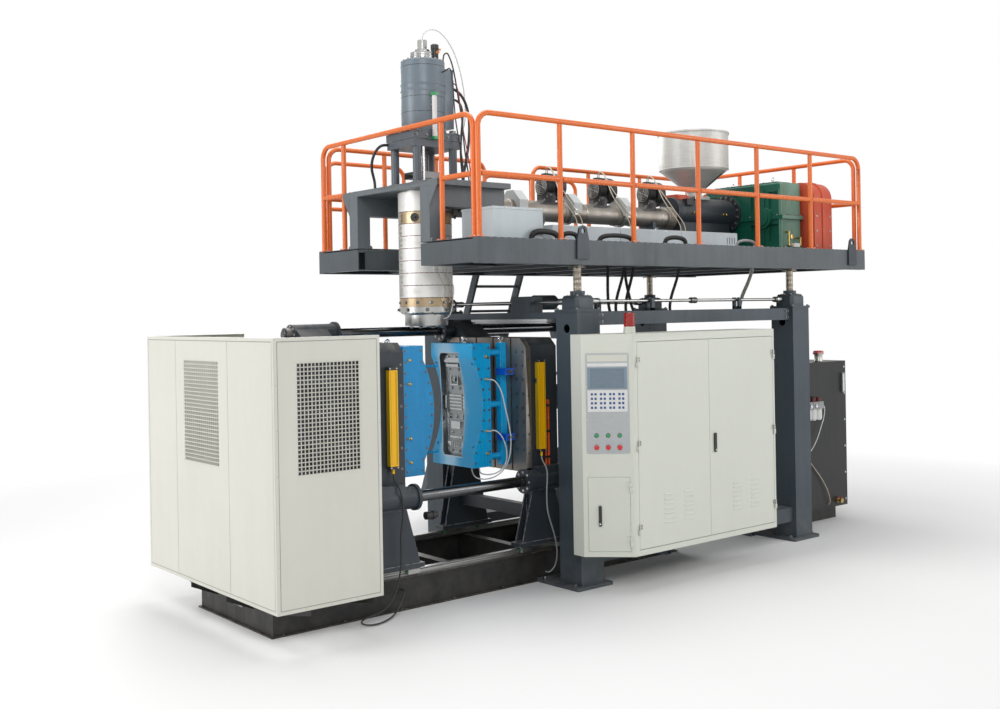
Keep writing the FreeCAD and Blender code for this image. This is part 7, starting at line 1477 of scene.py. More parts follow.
        # Painted shade: dark blocks for the shade inside the vent slots of the drives.
        blocks("drive_vents", slots, "slot shade", "base", (6, 1, 38))
        screws("drive_screws", facing(NEAR, *screws_at), "base")
        rails, breakers, levers, contactors, strips = [], [], [], [], []
        for x in BANK_PLACES:
            for z in BANK_HEIGHTS:
                rails += [((x - 146, y - 8, z + dz - 17), (x + 146, y, z + dz + 17)) for dz in (50, -60)]
                for dx in evenly(-127, 127, 8):
                    breakers.append((x + dx, y - 37, z + 50))
                    levers.append((x + dx, y - 68, z + 54))
                for dx in evenly(-121, 121, 6):
                    contactors.append((x + dx, y - 38, z - 60))
                    strips.append((x + dx, y - 68.6, z - 38))
        fitting("din_rails", "zinc", "base", boxes=rails)
        breakers = blocks("breakers", breakers, "white plastic", "base", (34, 58, 84), 0, 0.97)
        blocks("breaker_levers", levers, "black", "base", (12, 4, 16), 0, 0.8)
        contactors = blocks("contactors", contactors, "black", "base", (45, 60, 88), 0, 0.96)
        blocks("contactor_strips", strips, "white plastic", "base", (34, 1.5, 10))
        for piece in (plate, ducts, drives, breakers, contactors):
            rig.replaces(piece, "cabinet_plate")


def add_loop(bm, centre, axis, radius, wire, segments=20, sides=8, arc=FULL_TURN, turn=0.0):
    """A round wire bent to a ring, or to part of one, in millimetres."""
    matrix = along(at(*centre), axis)
    closed = arc >= FULL_TURN
    count = segments if closed else segments + 1
    rings = []
    for k in range(count):
        a = turn + arc * k / segments
        out = Vector((math.cos(a), math.sin(a), 0))
        corners = [out * radius + out * wire * math.cos(b) + Vector((0, 0, wire * math.sin(b)))
                   for b in (FULL_TURN * j / sides for j in range(sides))]
        rings.append([bm.verts.new(matrix @ (corner * MM)) for corner in corners])
    pairs = list(zip(rings, rings[1:] + rings[:1])) if closed else list(zip(rings, rings[1:]))
    for low, high in pairs:
        for j in range(sides):
            bm.faces.new([low[j], low[(j + 1) % sides], high[(j + 1) % sides], high[j]])
    if not closed:
        bm.faces.new(list(reversed(rings[0])))
        bm.faces.new(rings[-1])


def lifting_eyes(name, body, *places):
    """Forged lifting eyes that stand on points."""
    bm = bmesh.new()
    for x, y, z, axis in places:
        add_turned(bm, at(x, y, z), UP,
                   [(0, 0), (0.022, 0), (0.022, 0.006), (0.009, 0.014), (0.009, 0.018), (0, 0.018)])
        add_loop(bm, (x, y, z + 36), axis, 20, 6)
    bmesh.ops.recalc_face_normals(bm, faces=bm.faces)
    return from_bmesh(name, bm, "chrome", body)


# ---------------------------------------------------------------- moulds

# Height, share of the cavity's width, height of the pad and depth for a pad; height, Y, radius and depth for a boss.
CAVITY_PADS = (
    (2045, 0.82, 46, 14), (1992, 0.62, 26, 20), (1700, 0.55, 15, 12), (1668, 0.55, 15, 12), (1636, 0.55, 15, 12),
    (1604, 0.55, 15, 12), (1572, 0.55, 15, 12), (1420, 0.42, 74, 18), (1310, 0.6, 20, 12), (1245, 0.78, 52, 14),
)
CAVITY_BOSSES = (
    (2075, -60, 9, 22), (2075, 60, 9, 22), (1952, -70, 12, 20), (1952, 70, 12, 20), (1860, 0, 26, 24),
    (1770, -60, 14, 20), (1770, 60, 14, 20), (1500, -110, 22, 26), (1500, 110, 22, 26), (1500, 0, 16, 18),
    (1355, -60, 9, 20), (1355, 60, 9, 20), (1190, -55, 13, 20), (1190, 55, 13, 20),
)


class MACHINE_OT_moulds(bpy.types.Operator):
    """Cavity pads, pinch-off edges, bolts, water nipples and eyes of the two mould halves"""
    bl_idname = "machine.moulds"
    bl_label = "Moulds"

    def execute(self, context):
        for body, side in (("right_clamp", 1), ("left_clamp", -1)):
            self.pads(body, side)
            self.bead(f"pinch_off_{body}", body, side, 7, 0, "steel", 0.15)
            self.bead(f"cavity_bead_{body}", body, side, -26, CAVITY_FLOOR, "pad", 2.2)
            self.side_bolts(body, side)
        for name, body, side in (("mould_eyes_right", "right_clamp", 1), ("mould_eyes_left", "left_clamp", -1)):
            lifting_eyes(name, body, *[(side * x, y, MOULD_TOP, FAR) for x, y in ((440, 0), (645, -285), (645, 285))])
        return {"FINISHED"}

    def pads(self, body, side):
        bm = bmesh.new()
        for z, share, height, depth in CAVITY_PADS:
            low, high = cavity_span(z)
            middle, half = (low + high) / 2, (high - low) / 2 * share
            floor = parting_x(z, side) + side * CAVITY_FLOOR
            self.pad(bm, floor, side, depth, (middle - half, middle + half), (z - height / 2, z + height / 2))
        low, high = cavity_span(1860)
        middle, floor = (low + high) / 2, parting_x(1860, side) + side * CAVITY_FLOOR
        for y, z in (((-60, 60), (46, 60)), ((-60, 60), (-60, -46)), ((-60, -46), (-46, 46)), ((46, 60), (-46, 46))):
            self.pad(bm, floor, side, 12, (middle + y[0], middle + y[1]), (1860 + z[0], 1860 + z[1]))
        low, high = cavity_span(MOULD_MIDDLE)
        floor = parting_x(MOULD_MIDDLE, side) + side * CAVITY_FLOOR
        for span in ((low + 14, low + 44), (high - 44, high - 14)):
            self.pad(bm, floor, side, 22, span, (1570, 1700))
        for y in evenly(-70, 70, 6):
            self.pad(bm, parting_x(1245, side) + side * (CAVITY_FLOOR - 14), side, 7,
                     (cavity_span(1245)[0] + 140 + y - 5, cavity_span(1245)[0] + 140 + y + 5), (1222, 1268))
        for z, y, radius, height in CAVITY_BOSSES:
            low, high = cavity_span(z)
            floor = parting_x(z, side) + side * (CAVITY_FLOOR + 10)
            add_turned(bm, at(floor, (low + high) / 2 + y, z), (-side, 0, 0),
                       [(r * MM, d * MM) for r, d in ((0, 0), (radius, 0), (radius, height), (radius * 0.7, height + 4),
                                                      (radius * 0.4, height + 4), (radius * 0.35, height),
                                                      (0, height))], 20)
        bmesh.ops.recalc_face_normals(bm, faces=bm.faces)
        from_bmesh(f"cavity_pads_{body}", bm, "pad", body, 0.002, SLOT_OF["right_mould_plate"])

    def pad(self, bm, floor, side, depth, y, z):
        x = sorted((floor - side * depth, floor + side * 14))
        add_box(bm, at(x[0], y[0], z[0]), at(x[1], y[1], z[1]))

    def bead(self, name, body, side, outset, depth, finish_name, proud):
        """Raised edge that follows the outline of the cavity at a distance and a depth."""
        levels = evenly(CAVITY_Z[0] + 20 - outset, CAVITY_Z[1] - 20 + outset, 49)
        loop = [(parting_x(z, side) + side * depth, cavity_span(z)[0] - outset, z) for z in levels]
        loop += [(parting_x(z, side) + side * depth, cavity_span(z)[1] + outset, z) for z in reversed(levels)]
        bm = bmesh.new()
        sections = []
        for k, centre in enumerate(loop):
            before, after = Vector(loop[k - 1]), Vector(loop[(k + 1) % len(loop)])
            out = (after - before).cross(Vector(RIGHT)).normalized()
            corners = ((side * 2, 6), (-side * proud, 2.5), (-side * proud, -2.5), (side * 2, -6))
            sections.append([bm.verts.new(at(*centre) + (out * reach + Vector((rise, 0, 0))) * MM)
                             for rise, reach in corners])
        for a, c in zip(sections, sections[1:] + sections[:1]):
            for j in range(4):
                bm.faces.new([a[j], a[(j + 1) % 4], c[(j + 1) % 4], c[j]])
        bmesh.ops.recalc_face_normals(bm, faces=bm.faces)
        from_bmesh(name, bm, finish_name, body, 0.0, SLOT_OF["right_mould_plate"])

    def side_bolts(self, body, side):
        near, far, front = [], [], []
        for z in evenly(1100, 2160, 12):
            for x in (side * 466, parting_x(z, side) + side * 24):
                near.append((x, -MOULD_SIDE_Y, z))
                far.append((x, MOULD_SIDE_Y, z))
        for z in evenly(1085, 2175, 8):
            for y in (-292, 292):
                front.append((parting_x(z, side) + side * 5.45, y, z))
        places = facing(NEAR, *near) + facing(FAR, *far) + facing((-side, 0, 0), *front)
        bolts(f"mould_bolts_{body}", places, body, 8, "dark steel", 16, 0.7)
        nipple = [(0, 0), (13, 0), (13, 6), (9, 8), (9, 17), (11, 19), (11, 25), (7, 28), (0, 28)]
        nipples = [((side * 430, way * MOULD_SIDE_Y, z), (0, way, 0), nipple) for way in (-1, 1)
                   for z in (1180, 1390, 1870, 2080)]
        fitting(f"water_nipples_{body}", "brass", body, turned=nipples)
        straps = [pair for way in (-1, 1) for x in (610, 650) for z in (1325, 1935)
                  for pair in facing((0, way, 0), (side * x, way * 430, z))]
        bolts(f"clamp_bolts_{body}", straps, body, 13, "dark steel", 6, 1.1)


# ---------------------------------------------------------------- clamp unit

TIE_BAR_PLACES = ((-630, 935), (630, 2315))


class MACHINE_OT_clamp(bpy.types.Operator):
    """Bolts, caps, pipes and nuts of the clamp unit"""
    bl_idname = "machine.clamp"
    bl_label = "Clamp unit"

    def execute(self, context):
        for body, side in (("right_clamp", 1), ("left_clamp", -1)):
            self.hubs(body, side)
            self.plate_bolts(body, side)
            self.carriage(body, side)
            self.curtain(body, side)
        self.cylinder()
        self.nuts()
        self.pipes()
        return {"FINISHED"}

    def hubs(self, body, side):
        places = []
        for y, z in TIE_BAR_PLACES:
            places += ring((side * 600, y, z), (-side, 0, 0), 84, 8)
            places += ring((side * 1075, y, z), (side, 0, 0), 74, 8)
        bolts(f"hub_bolts_{body}", places, body, 9, "zinc", 6)

    def plate_bolts(self, body, side):
        front = [(side * 680, y, z) for y in (-560, -470, 470, 560) for z in evenly(1080, 2120, 9)
                 if not (y < 0 and z < 1150) and not (y > 0 and z > 2050)]
        bolts(f"plate_screws_{body}", facing((-side, 0, 0), *front), body, 11, "dark steel", 16, 0.35)
        sides = [(side * 710, -600, z) for z in evenly(1180, 2060, 6)]
        bolts(f"plate_edge_bolts_{body}", facing(NEAR, *sides), body, 8, "dark steel", 16, 0.5)

    def carriage(self, body, side):
        caps, shoe = [], []
        for y_side in (-1, 1):
            for x in (630, 1050):
                for end in (-60, 60):
                    for low, high in (((-40, 300), (-23.5, 328)), ((23.5, 300), (40, 328)), ((-40, 324), (40, 334))):
                        caps.append(((side * x + end - 3, y_side * 590 + low[0], low[1]),
                                     (side * x + end + 3, y_side * 590 + high[0], high[1])))
            for x in evenly(560, 1120, 8):
                shoe.append((side * x, y_side * 642, 351))
        fitting(f"bearing_caps_{body}", "green plastic", body, boxes=caps, edge=0.8)
        bolts(f"shoe_bolts_{body}", facing(UP, *shoe), body, 8, "zinc", 6)
        nipple = [(0, 0), (6, 0), (6, 4), (3.5, 6), (3.5, 12), (5, 14), (4, 18), (0, 18)]
        fitting(f"grease_nipples_{body}", "brass", body,
                turned=[((side * x + 60 * side, y * 566, 315), (side, 0, 0), nipple) for x in (630, 1050)
                        for y in (-1, 1)])

    def curtain(self, body, side):
        x = side * 825
        # Painted shade: strips of darkened yellow along the edges of the window, for the shade in its grooves.
        window = [((x + 24, -663.2, 1230), (x + 31, -661.5, 2008)), ((x - 30, -663.2, 1230), (x - 27, -661.5, 2008))]
        fitting(f"curtain_window_{body}", "curtain groove", body, boxes=window)
        ends = [((x - 44, -664, 2020), (x + 44, -611, 2047)), ((x - 44, -664, 1193), (x + 44, -611, 1216))]
        fitting(f"curtain_ends_{body}", "black", body, boxes=ends, edge=2)
        screws(f"curtain_screws_{body}", facing(NEAR, *[(x + dx, -664, z) for dx in (-33, 33) for z in (1204, 2034)]),
               body)
        # Painted shade: strips of darkened yellow down the sides, for the shade in their grooves.
        stripes = [((x - 42.8, -660, 1216), (x - 41.5, -614, 2020)), ((x + 41.5, -660, 1216), (x + 42.8, -614, 2020))]
        fitting(f"curtain_grooves_{body}", "curtain groove", body, boxes=stripes)

    def cylinder(self):
        body = BODY_OF["rear_plate"]
        places = ring((1400, 0, CLAMP_MIDDLE_Z), LEFT, 118, 12)
        places += ring((2250, 0, CLAMP_MIDDLE_Z), RIGHT, 100, 12)
        bolts("cylinder_bolts", places, body, 11, "dark steel", 16, 1.0)
        ports = [((x, 0, CLAMP_MIDDLE_Z + 120), UP,
                  [(0, 0), (34, 0), (34, 30), (24, 34), (24, 60), (30, 62), (30, 78), (0, 78)])
                 for x in (1475, 2060)]
        fitting("cylinder_ports", "zinc", body, turned=ports)
        pipe = [((1475, 0, 1815), (1475, 0, 1860), 16), ((1475, 0, 1860), (1960, 0, 1860), 16),
                ((1960, 0, 1860), (2060, 0, 1860), 16), ((2060, 0, 1815), (2060, 0, 1860), 16)]
        fitting("cylinder_pipes", "zinc", body, rods=pipe)
        fitting("cylinder_valve", "dark steel", body, boxes=[((1730, -55, 1836), (1850, 55, 1960))], edge=3)
        fitting("valve_coils", "black", body,
                boxes=[((1650, -28, 1880), (1730, 28, 1940)), ((1850, -28, 1880), (1930, 28, 1940))],
                edge=4)

    def nuts(self):
        ends = []
        for y, z in TIE_BAR_PLACES:
            ends += ring((-1135, y, z), LEFT, 57, 6) + ring((2310, y, z), RIGHT, 57, 6)
        bolts("tie_nut_screws", ends, BODY_OF["tie_bars"], 6, "dark steel", 12, 0.8)

    def pipes(self):
        """Painted oil and water lines up the near side of the right platen."""
        rods = [((x, -612, 1040), (x, -612, 1660), 11) for x in (905, 940)]
        rods.append(((905, -612, 1040), (1000, -612, 960), 11))
        rods += [((x, -612, 1655), (x, -560, 1655), 13) for x in (905, 940)]
        fitting("platen_pipes", "orange", "right_clamp", rods=rods)
        clips = [((892, -626, z), (953, -599, z + 22)) for z in (1120, 1360, 1600)]
        fitting("pipe_clips", "black", "right_clamp", boxes=clips, edge=2)
        loop = bmesh.new()
        add_loop(loop, (905, -625, 1870), FAR, 120, 13, 24, 10, math.pi / 2, -math.pi / 2)
        from_bmesh("platen_conduit", loop, "rubber", "right_clamp")
        stub = [((-500, -632, 760), RIGHT,
                 [(0, 0), (34, 0), (34, 60), (40, 62), (40, 84), (26, 88), (26, 120), (0, 120)])]
        fitting("carriage_stub", "black", "left_clamp", turned=stub)


# ---------------------------------------------------------------- frame and lift

COLUMN_PLACES = [(x, y) for x in (948, 4095) for y in (-1030, 1030)]
SCREW_RADIUS = 40
THREAD_ROOT = 36.2
THREAD_DEPTH = 3.2
THREAD_PITCH = 12
THREAD_HEIGHTS = (2672, 2878)
SHAFT_AXIS = 2575
DECK_TOP = 3120
PORTAL_TOP = 3660


class MACHINE_OT_frame(bpy.types.Operator):
    """Anchor bolts, joint bolts, jacks, couplings and the lamp under the cross beam"""
    bl_idname = "machine.frame"
    bl_label = "Frame and lift"

    def execute(self, context):
        self.anchors()
        self.joints()
        self.jacks()
        self.shafts()
        self.lamp()
        return {"FINISHED"}

    def anchors(self):
        places = []
        for x, y in COLUMN_PLACES:
            places += [(x + dx, (-925 if y < 0 else 925) + dy, 30) for dx in (-180, 180) for dy in (-205, 205)]
        bolts("anchor_bolts", facing(UP, *places), "base", 17, "dark steel", 6, 1.3)
        flanges = []
        for z in (0, 263):
            flanges += [((-1965, y[0], z), (2620, y[1], z + 12)) for y in ((-662, -640), (640, 662))]
            flanges += [((x[0], -662, z), (x[1], 662, z + 12)) for x in ((-1988, -1965), (2620, 2642))]
        fitting("base_flanges", "base", "base", boxes=flanges, edge=2)
        feet = [(x, y, 12) for x in evenly(-1880, 2540, 9) for y in (-652, 652)]
        bolts("base_foot_bolts", facing(UP, *feet), "base", 8, "dark steel", 6, 1.2)

    def joints(self):
        places = []
        for x, outward in ((1098, 1), (3945, -1)):
            for y in (-1030, 1030):
                for z in (2385, 2450):
                    side = -1 if y < 0 else 1
                    places += facing((0, side, 0), (x + outward * 20, y + side * 100, z),
                                     (x + outward * 60, y + side * 100, z))
        bolts("beam_bolts", places, "base", 11, "dark steel", 6)
        rails = [(x, y, 322.2) for x in evenly(-1880, 2540, 40) for y in (-590.5, 590.5)]
        bolts("rail_screws", facing(UP, *rails), "base", 5, "dark steel", 12, 0.25)

    def jacks(self):
        threads = points_mesh([(at(x, y, THREAD_HEIGHTS[0]), Vector()) for x, y in COLUMN_PLACES])
        turns = (THREAD_HEIGHTS[1] - THREAD_HEIGHTS[0]) / THREAD_PITCH
        grown("jack_threads", "screw thread", threads, "screw steel", "platform", SLOT_OF["jack_screws"],
              Radius=THREAD_ROOT * MM, Pitch=THREAD_PITCH * MM, Turns=turns, Depth=THREAD_DEPTH * MM)
        # The plain screw is slimmed to the root of its thread.
        for vertex in bpy.data.objects["jack_screws_finished"].data.vertices:
            for x, y in COLUMN_PLACES:
                out = Vector((vertex.co.x - x * MM, vertex.co.y - y * MM, 0))
                if abs(out.length - SCREW_RADIUS * MM) < 0.5 * MM:
                    vertex.co -= out.normalized() * ((SCREW_RADIUS - THREAD_ROOT) * MM)
        base, top = [], []
        for x, y in COLUMN_PLACES:
            base += [(x + dx, y + dy, 2504) for dx in (-132, 132) for dy in (-132, 132)]
            top += ring((x, y, 2629), UP, 92, 8)
        bolts("jack_bolts", facing(UP, *base), "base", 12, "dark steel", 6, 1.1)
        bolts("jack_cover_bolts", top, "base", 8, "zinc", 6)
        heads = []
        for x, y in COLUMN_PLACES:
            heads += [(x + dx, y + dy, 2880) for dx in (-52, 52) for dy in (-52, 52)]
        bolts("jack_head_bolts", facing(DOWN, *heads), "platform", 8, "dark steel", 6)

    def shafts(self):
        collar = [(15, 0), (29, 0), (29, 34), (26, 38), (26, 44), (29, 48), (29, 82), (15, 82), (15, 0)]
        for name, body, y in (("near_couplings", "shaft_near", -1030), ("far_couplings", "shaft_far", 1030)):
            places = (1130, 2480, 3820)
            fitting(name, "dark steel", body, turned=[((x, y, SHAFT_AXIS), RIGHT, collar) for x in places])
            ways = [(math.sin(a), math.cos(a)) for a in (0, math.pi)]
            screws(name + "_screws", [(at(x + dx, y + 29 * dy, SHAFT_AXIS + 29 * dz), Vector((0, dy, dz)))
                                      for x in places for dx in (17, 65) for dy, dz in ways], body)
        fitting("cross_couplings", "dark steel", "shaft_cross",
                turned=[((948, y, SHAFT_AXIS), FAR, collar) for y in (-860, 780)])
        brackets = []
        for x in (1900, 3200):
            for y in (-1030, 1030):
                brackets.append(((x - 20, y - 45, 2480), (x + 20, y - 18, 2600)))
                brackets.append(((x - 20, y + 18, 2480), (x + 20, y + 45, 2600)))
                brackets.append(((x - 20, y - 45, 2480), (x + 20, y + 45, 2510)))
        fitting("shaft_hangers", "frame", "base", boxes=brackets, edge=3)
        caps = ring((1305, -320, 2560), RIGHT, 66, 4, 0.78)
        bolts("lift_motor_bolts", caps, "base", 7, "zinc", 6)

    def lamp(self):
        fitting("lamp_housing", "white plastic", "base", boxes=[((862, -700, 2396), (934, 440, 2419.5))], edge=3)
        fitting("lamp_tube", "lamp tube", "base", rods=[((898, -670, 2388), (898, 410, 2388), 12)])
        fitting("lamp_ends", "grey plastic", "base", boxes=[((878, y, 2374), (918, y + 20, 2400)) for y in (-690, 410)],
                edge=2)


# ---------------------------------------------------------------- head

BAND_SEAMS = (3418, 3308, 3195.5, 3083, 2970, 2857.5, 2744.5, 2632)
BAND_LUG_WAYS = [(Vector((math.cos(a), math.sin(a), 0)), Vector((-math.sin(a), math.cos(a), 0)))
                 for a in (math.radians(170), math.radians(82))]
YOKE_COLUMNS = [(x, y) for x in (-203, 203) for y in (-175, 175)]
YOKE_TOP = 4140
CYLINDER_TOP = 4815


def around(centre, radius, count, turn=0.0):
    """(place, facing) pairs evenly round an upright axis, all facing outwards."""
    angles = [turn + FULL_TURN * k / count for k in range(count)]
    return [(at(*centre) + Vector((math.cos(a), math.sin(a), 0)) * radius * MM, Vector((math.cos(a), math.sin(a), 0)))
            for a in angles]


def sleeve(start, direction, inner, outer, length):
    """Start, axis and profile of a plain ring with broken outer edges."""
    lip = min(2.0, length / 4)
    return start, direction, [(inner, 0), (outer - lip, 0), (outer, lip), (outer, length - lip), (outer - lip, length),
                              (inner, length), (inner, 0)]


class MACHINE_OT_head(bpy.types.Operator):
    """Seams and terminals of the heater bands, head bolts, yoke nuts and the gear on the cylinder"""
    bl_idname = "machine.head"
    bl_label = "Head"

    def execute(self, context):
        self.bands()
        self.bolting()
        self.yoke()
        self.cylinder()
        self.portal()
        return {"FINISHED"}

    def bands(self):
        fitting("band_seams", "dark red", "platform",
                turned=[sleeve((0, 0, z - 3.5), UP, 238, 249, 7) for z in BAND_SEAMS])
        lugs = []
        for low, high in zip(BAND_SEAMS[1:], BAND_SEAMS):
            middle, half = (low + high) / 2, (high - low) / 2 - 8
            for out, side in BAND_LUG_WAYS:
                for offset in (-9, 9):
                    foot = out * 244 + side * offset
                    corners = [foot - side * 2, foot + side * 2, foot + side * 2 + out * 22, foot - side * 2 + out * 22]
                    lugs.append(([(c.x, c.y, middle - half) for c in corners], (0, 0, 2 * half)))
        fitting("band_lugs", "stainless", "platform", prisms=lugs)
        posts = [(253 * math.cos(math.radians(a)), 253 * math.sin(math.radians(a)), z) for a in (252, 262, 275, 285)
                 for z in (2862, 3092)]
        fitting("band_posts", "white plastic", "platform", rods=[((x, y, z), (x, y, z + 50), 8) for x, y, z in posts])
        fitting("post_nuts", "zinc", "platform", rods=[((x, y, z + 18), (x, y, z + 26), 11) for x, y, z in posts])
        rods = []
        for low, high in zip(BAND_SEAMS[1:], BAND_SEAMS):
            for z in (low + 32, high - 32):
                for out, side in BAND_LUG_WAYS:
                    ends = [out * 257 + side * s for s in (-24, 24)]
                    rods.append(((ends[0].x, ends[0].y, z), (ends[1].x, ends[1].y, z), 4.5))
        fitting("band_bolts", "zinc", "platform", rods=rods)
        port = math.radians(212)
        way = (math.cos(port), math.sin(port), 0)
        fitting("head_port", "black", "platform", turned=[((240 * way[0], 240 * way[1], 3362), way,
                [(0, 0), (40, 0), (40, 12), (26, 12), (26, 9), (12, 9), (12, 24), (0, 24)])])
        probe = [(0, 0), (9, 0), (9, 10), (5, 12), (5, 60), (0, 62)]
        spots = [(math.cos(a), math.sin(a), z) for a, z in ((4.55, 3362), (4.9, 2590), (4.2, 2590))]
        fitting("head_probe", "chrome", "platform",
                turned=[((246 * x, 246 * y, z), (x, y, 0), probe) for x, y, z in spots])

    def bolting(self):
        bolts("die_ring_bolts", ring((0, 0, 2502), DOWN, 222, 16), "platform", 13, "dark steel", 16, 0.9)
        bolts("die_set_screws", around((0, 0, 2525), 246.5, 8, 0.2), "platform", 13, "dark steel", 6, 1.6)
        bolts("clamp_ring_bolts", around((0, 0, 2590), 246.5, 12, 0.1), "platform", 11, "dark steel", 16, 0.8)
        bolts("tool_bolts", ring((0, 0, 2364), DOWN, 150, 8, 0.2), "platform", 13, "dark steel", 16, 0.7)

    def yoke(self):
        bolts("yoke_nuts", facing(UP, *[(x, y, YOKE_TOP) for x, y in YOKE_COLUMNS]), "platform", 36, "dark steel", 6,
              0.9)
        flanges = [sleeve((x, y, PORTAL_TOP), UP, 30, 62, 18) for x, y in YOKE_COLUMNS]
        fitting("column_flanges", "yoke", "platform", turned=flanges)
        feet = [pair for x, y in YOKE_COLUMNS for pair in ring((x, y, PORTAL_TOP + 18), UP, 50, 6)]
        bolts("column_bolts", feet, "platform", 6, "zinc", 6)
        fitting("guide_rod", "chrome", "platform", rods=[((-150, -200, PORTAL_TOP), (-150, -200, 4000), 15)])
        front = facing(NEAR, *[(x, -216, 4105) for x in (-230, -120, 0, 120, 230)])
        bolts("yoke_plate_bolts", front, "platform", 10, "dark steel", 16, 0.8)

    def cylinder(self):
        bolts("cap_bolts", ring((0, 0, CYLINDER_TOP), UP, 172, 12, 0.13), "platform", 14, "dark steel", 16, 1.1)
        # Painted shade: thin black rings for the shade in the grooves round the cylinder.
        fitting("cylinder_lines", "black", "platform",
                turned=[sleeve((0, 0, z), UP, 200, 207.4, 5) for z in (4330, 4472, 4755)])
        fitting("foot_ring", "yoke", "platform", turned=[sleeve((0, 0, YOKE_TOP), UP, 200, 214, 26)])
        fitting("transducer_tube", "white plastic", "platform", rods=[((-45, -241, 4092), (-45, -241, 4466), 23)])
        fitting("transducer_ends", "green plastic", "platform",
                boxes=[((-70, -267, z), (-20, -217, z + 26)) for z in (4066, 4466)], edge=3)
        clips = [((-56, -262, z), (-34, -196, z + 16)) for z in (4180, 4380)]
        fitting("transducer_clips", "zinc", "platform", boxes=clips + [((-60, -262, 4110), (-30, -212, 4126))], edge=1)
        terminals = [((252, -46, z), (330, 14, z + 12)) for z in evenly(4520, 4668, 9)]
        fitting("terminal_block", "white plastic", "platform", boxes=terminals + [((252, -20, 4514), (318, 8, 4686))],
                edge=1.5)
        blocks("terminal_screws", [(296, -48, z) for z in evenly(4524, 4672, 9)], "copper", "platform", (40, 5, 5))
        fitting("junction_pot", "black", "platform",
                turned=[((78, -90, CYLINDER_TOP), UP,
                         [(0, 0), (44, 0), (44, 18), (34, 22), (34, 108), (38, 112), (38, 150), (24, 160), (0, 160)])])
        fitting("pot_fittings", "copper", "platform",
                turned=[((78, -122, 4890), NEAR, [(0, 0), (15, 0), (15, 14), (11, 16), (11, 34), (0, 36)]),
                        ((110, -90, 4935), RIGHT, [(0, 0), (13, 0), (13, 16), (9, 18), (9, 36), (0, 38)])])
        fitting("collar_knurls", "chrome", "platform",
                turned=[sleeve((0, 0, z), UP, 112, 117, 7) for z in (4826, 4842, 4858, 4874)])

    def portal(self):
        plates, places = [], []
        for x in ((-329, -165), (355, 545)):
            for y in ((-555, -391), (641, 805)):
                plates.append(((x[0], y[0], DECK_TOP), (x[1], y[1], DECK_TOP + 18)))
                corners = [(px, py, DECK_TOP + 18) for px in (x[0] + 14, x[1] - 14) for py in (y[0] + 12, y[1] - 10)]
                places += [c for c in corners if not (-330 < c[0] < -190 or 380 < c[0] < 520)
                           or not (-530 < c[1] < -390 or 640 < c[1] < 780)]
        fitting("portal_feet", "gantry", "platform", boxes=plates, edge=2)
        bolts("portal_foot_bolts", facing(UP, *places), "platform", 11, "dark steel", 6)
        top = [(x, y, PORTAL_TOP) for x in evenly(-300, 490, 7) for y in (-560, -470, 720, 820)]
        bolts("portal_top_bolts", facing(UP, *top), "platform", 12, "dark steel", 16, 0.7)


# ---------------------------------------------------------------- extruder, hopper and drive

BARREL_AXIS = 3495
BLOWER_PLACES = (1557, 2282, 3029)
BLOWER_AXIS = 3750
THROAT_AXIS = 3574
HOPPER_PLACE = 3755
GEARBOX_SPLIT = 3520
GEARBOX_LID = 3906


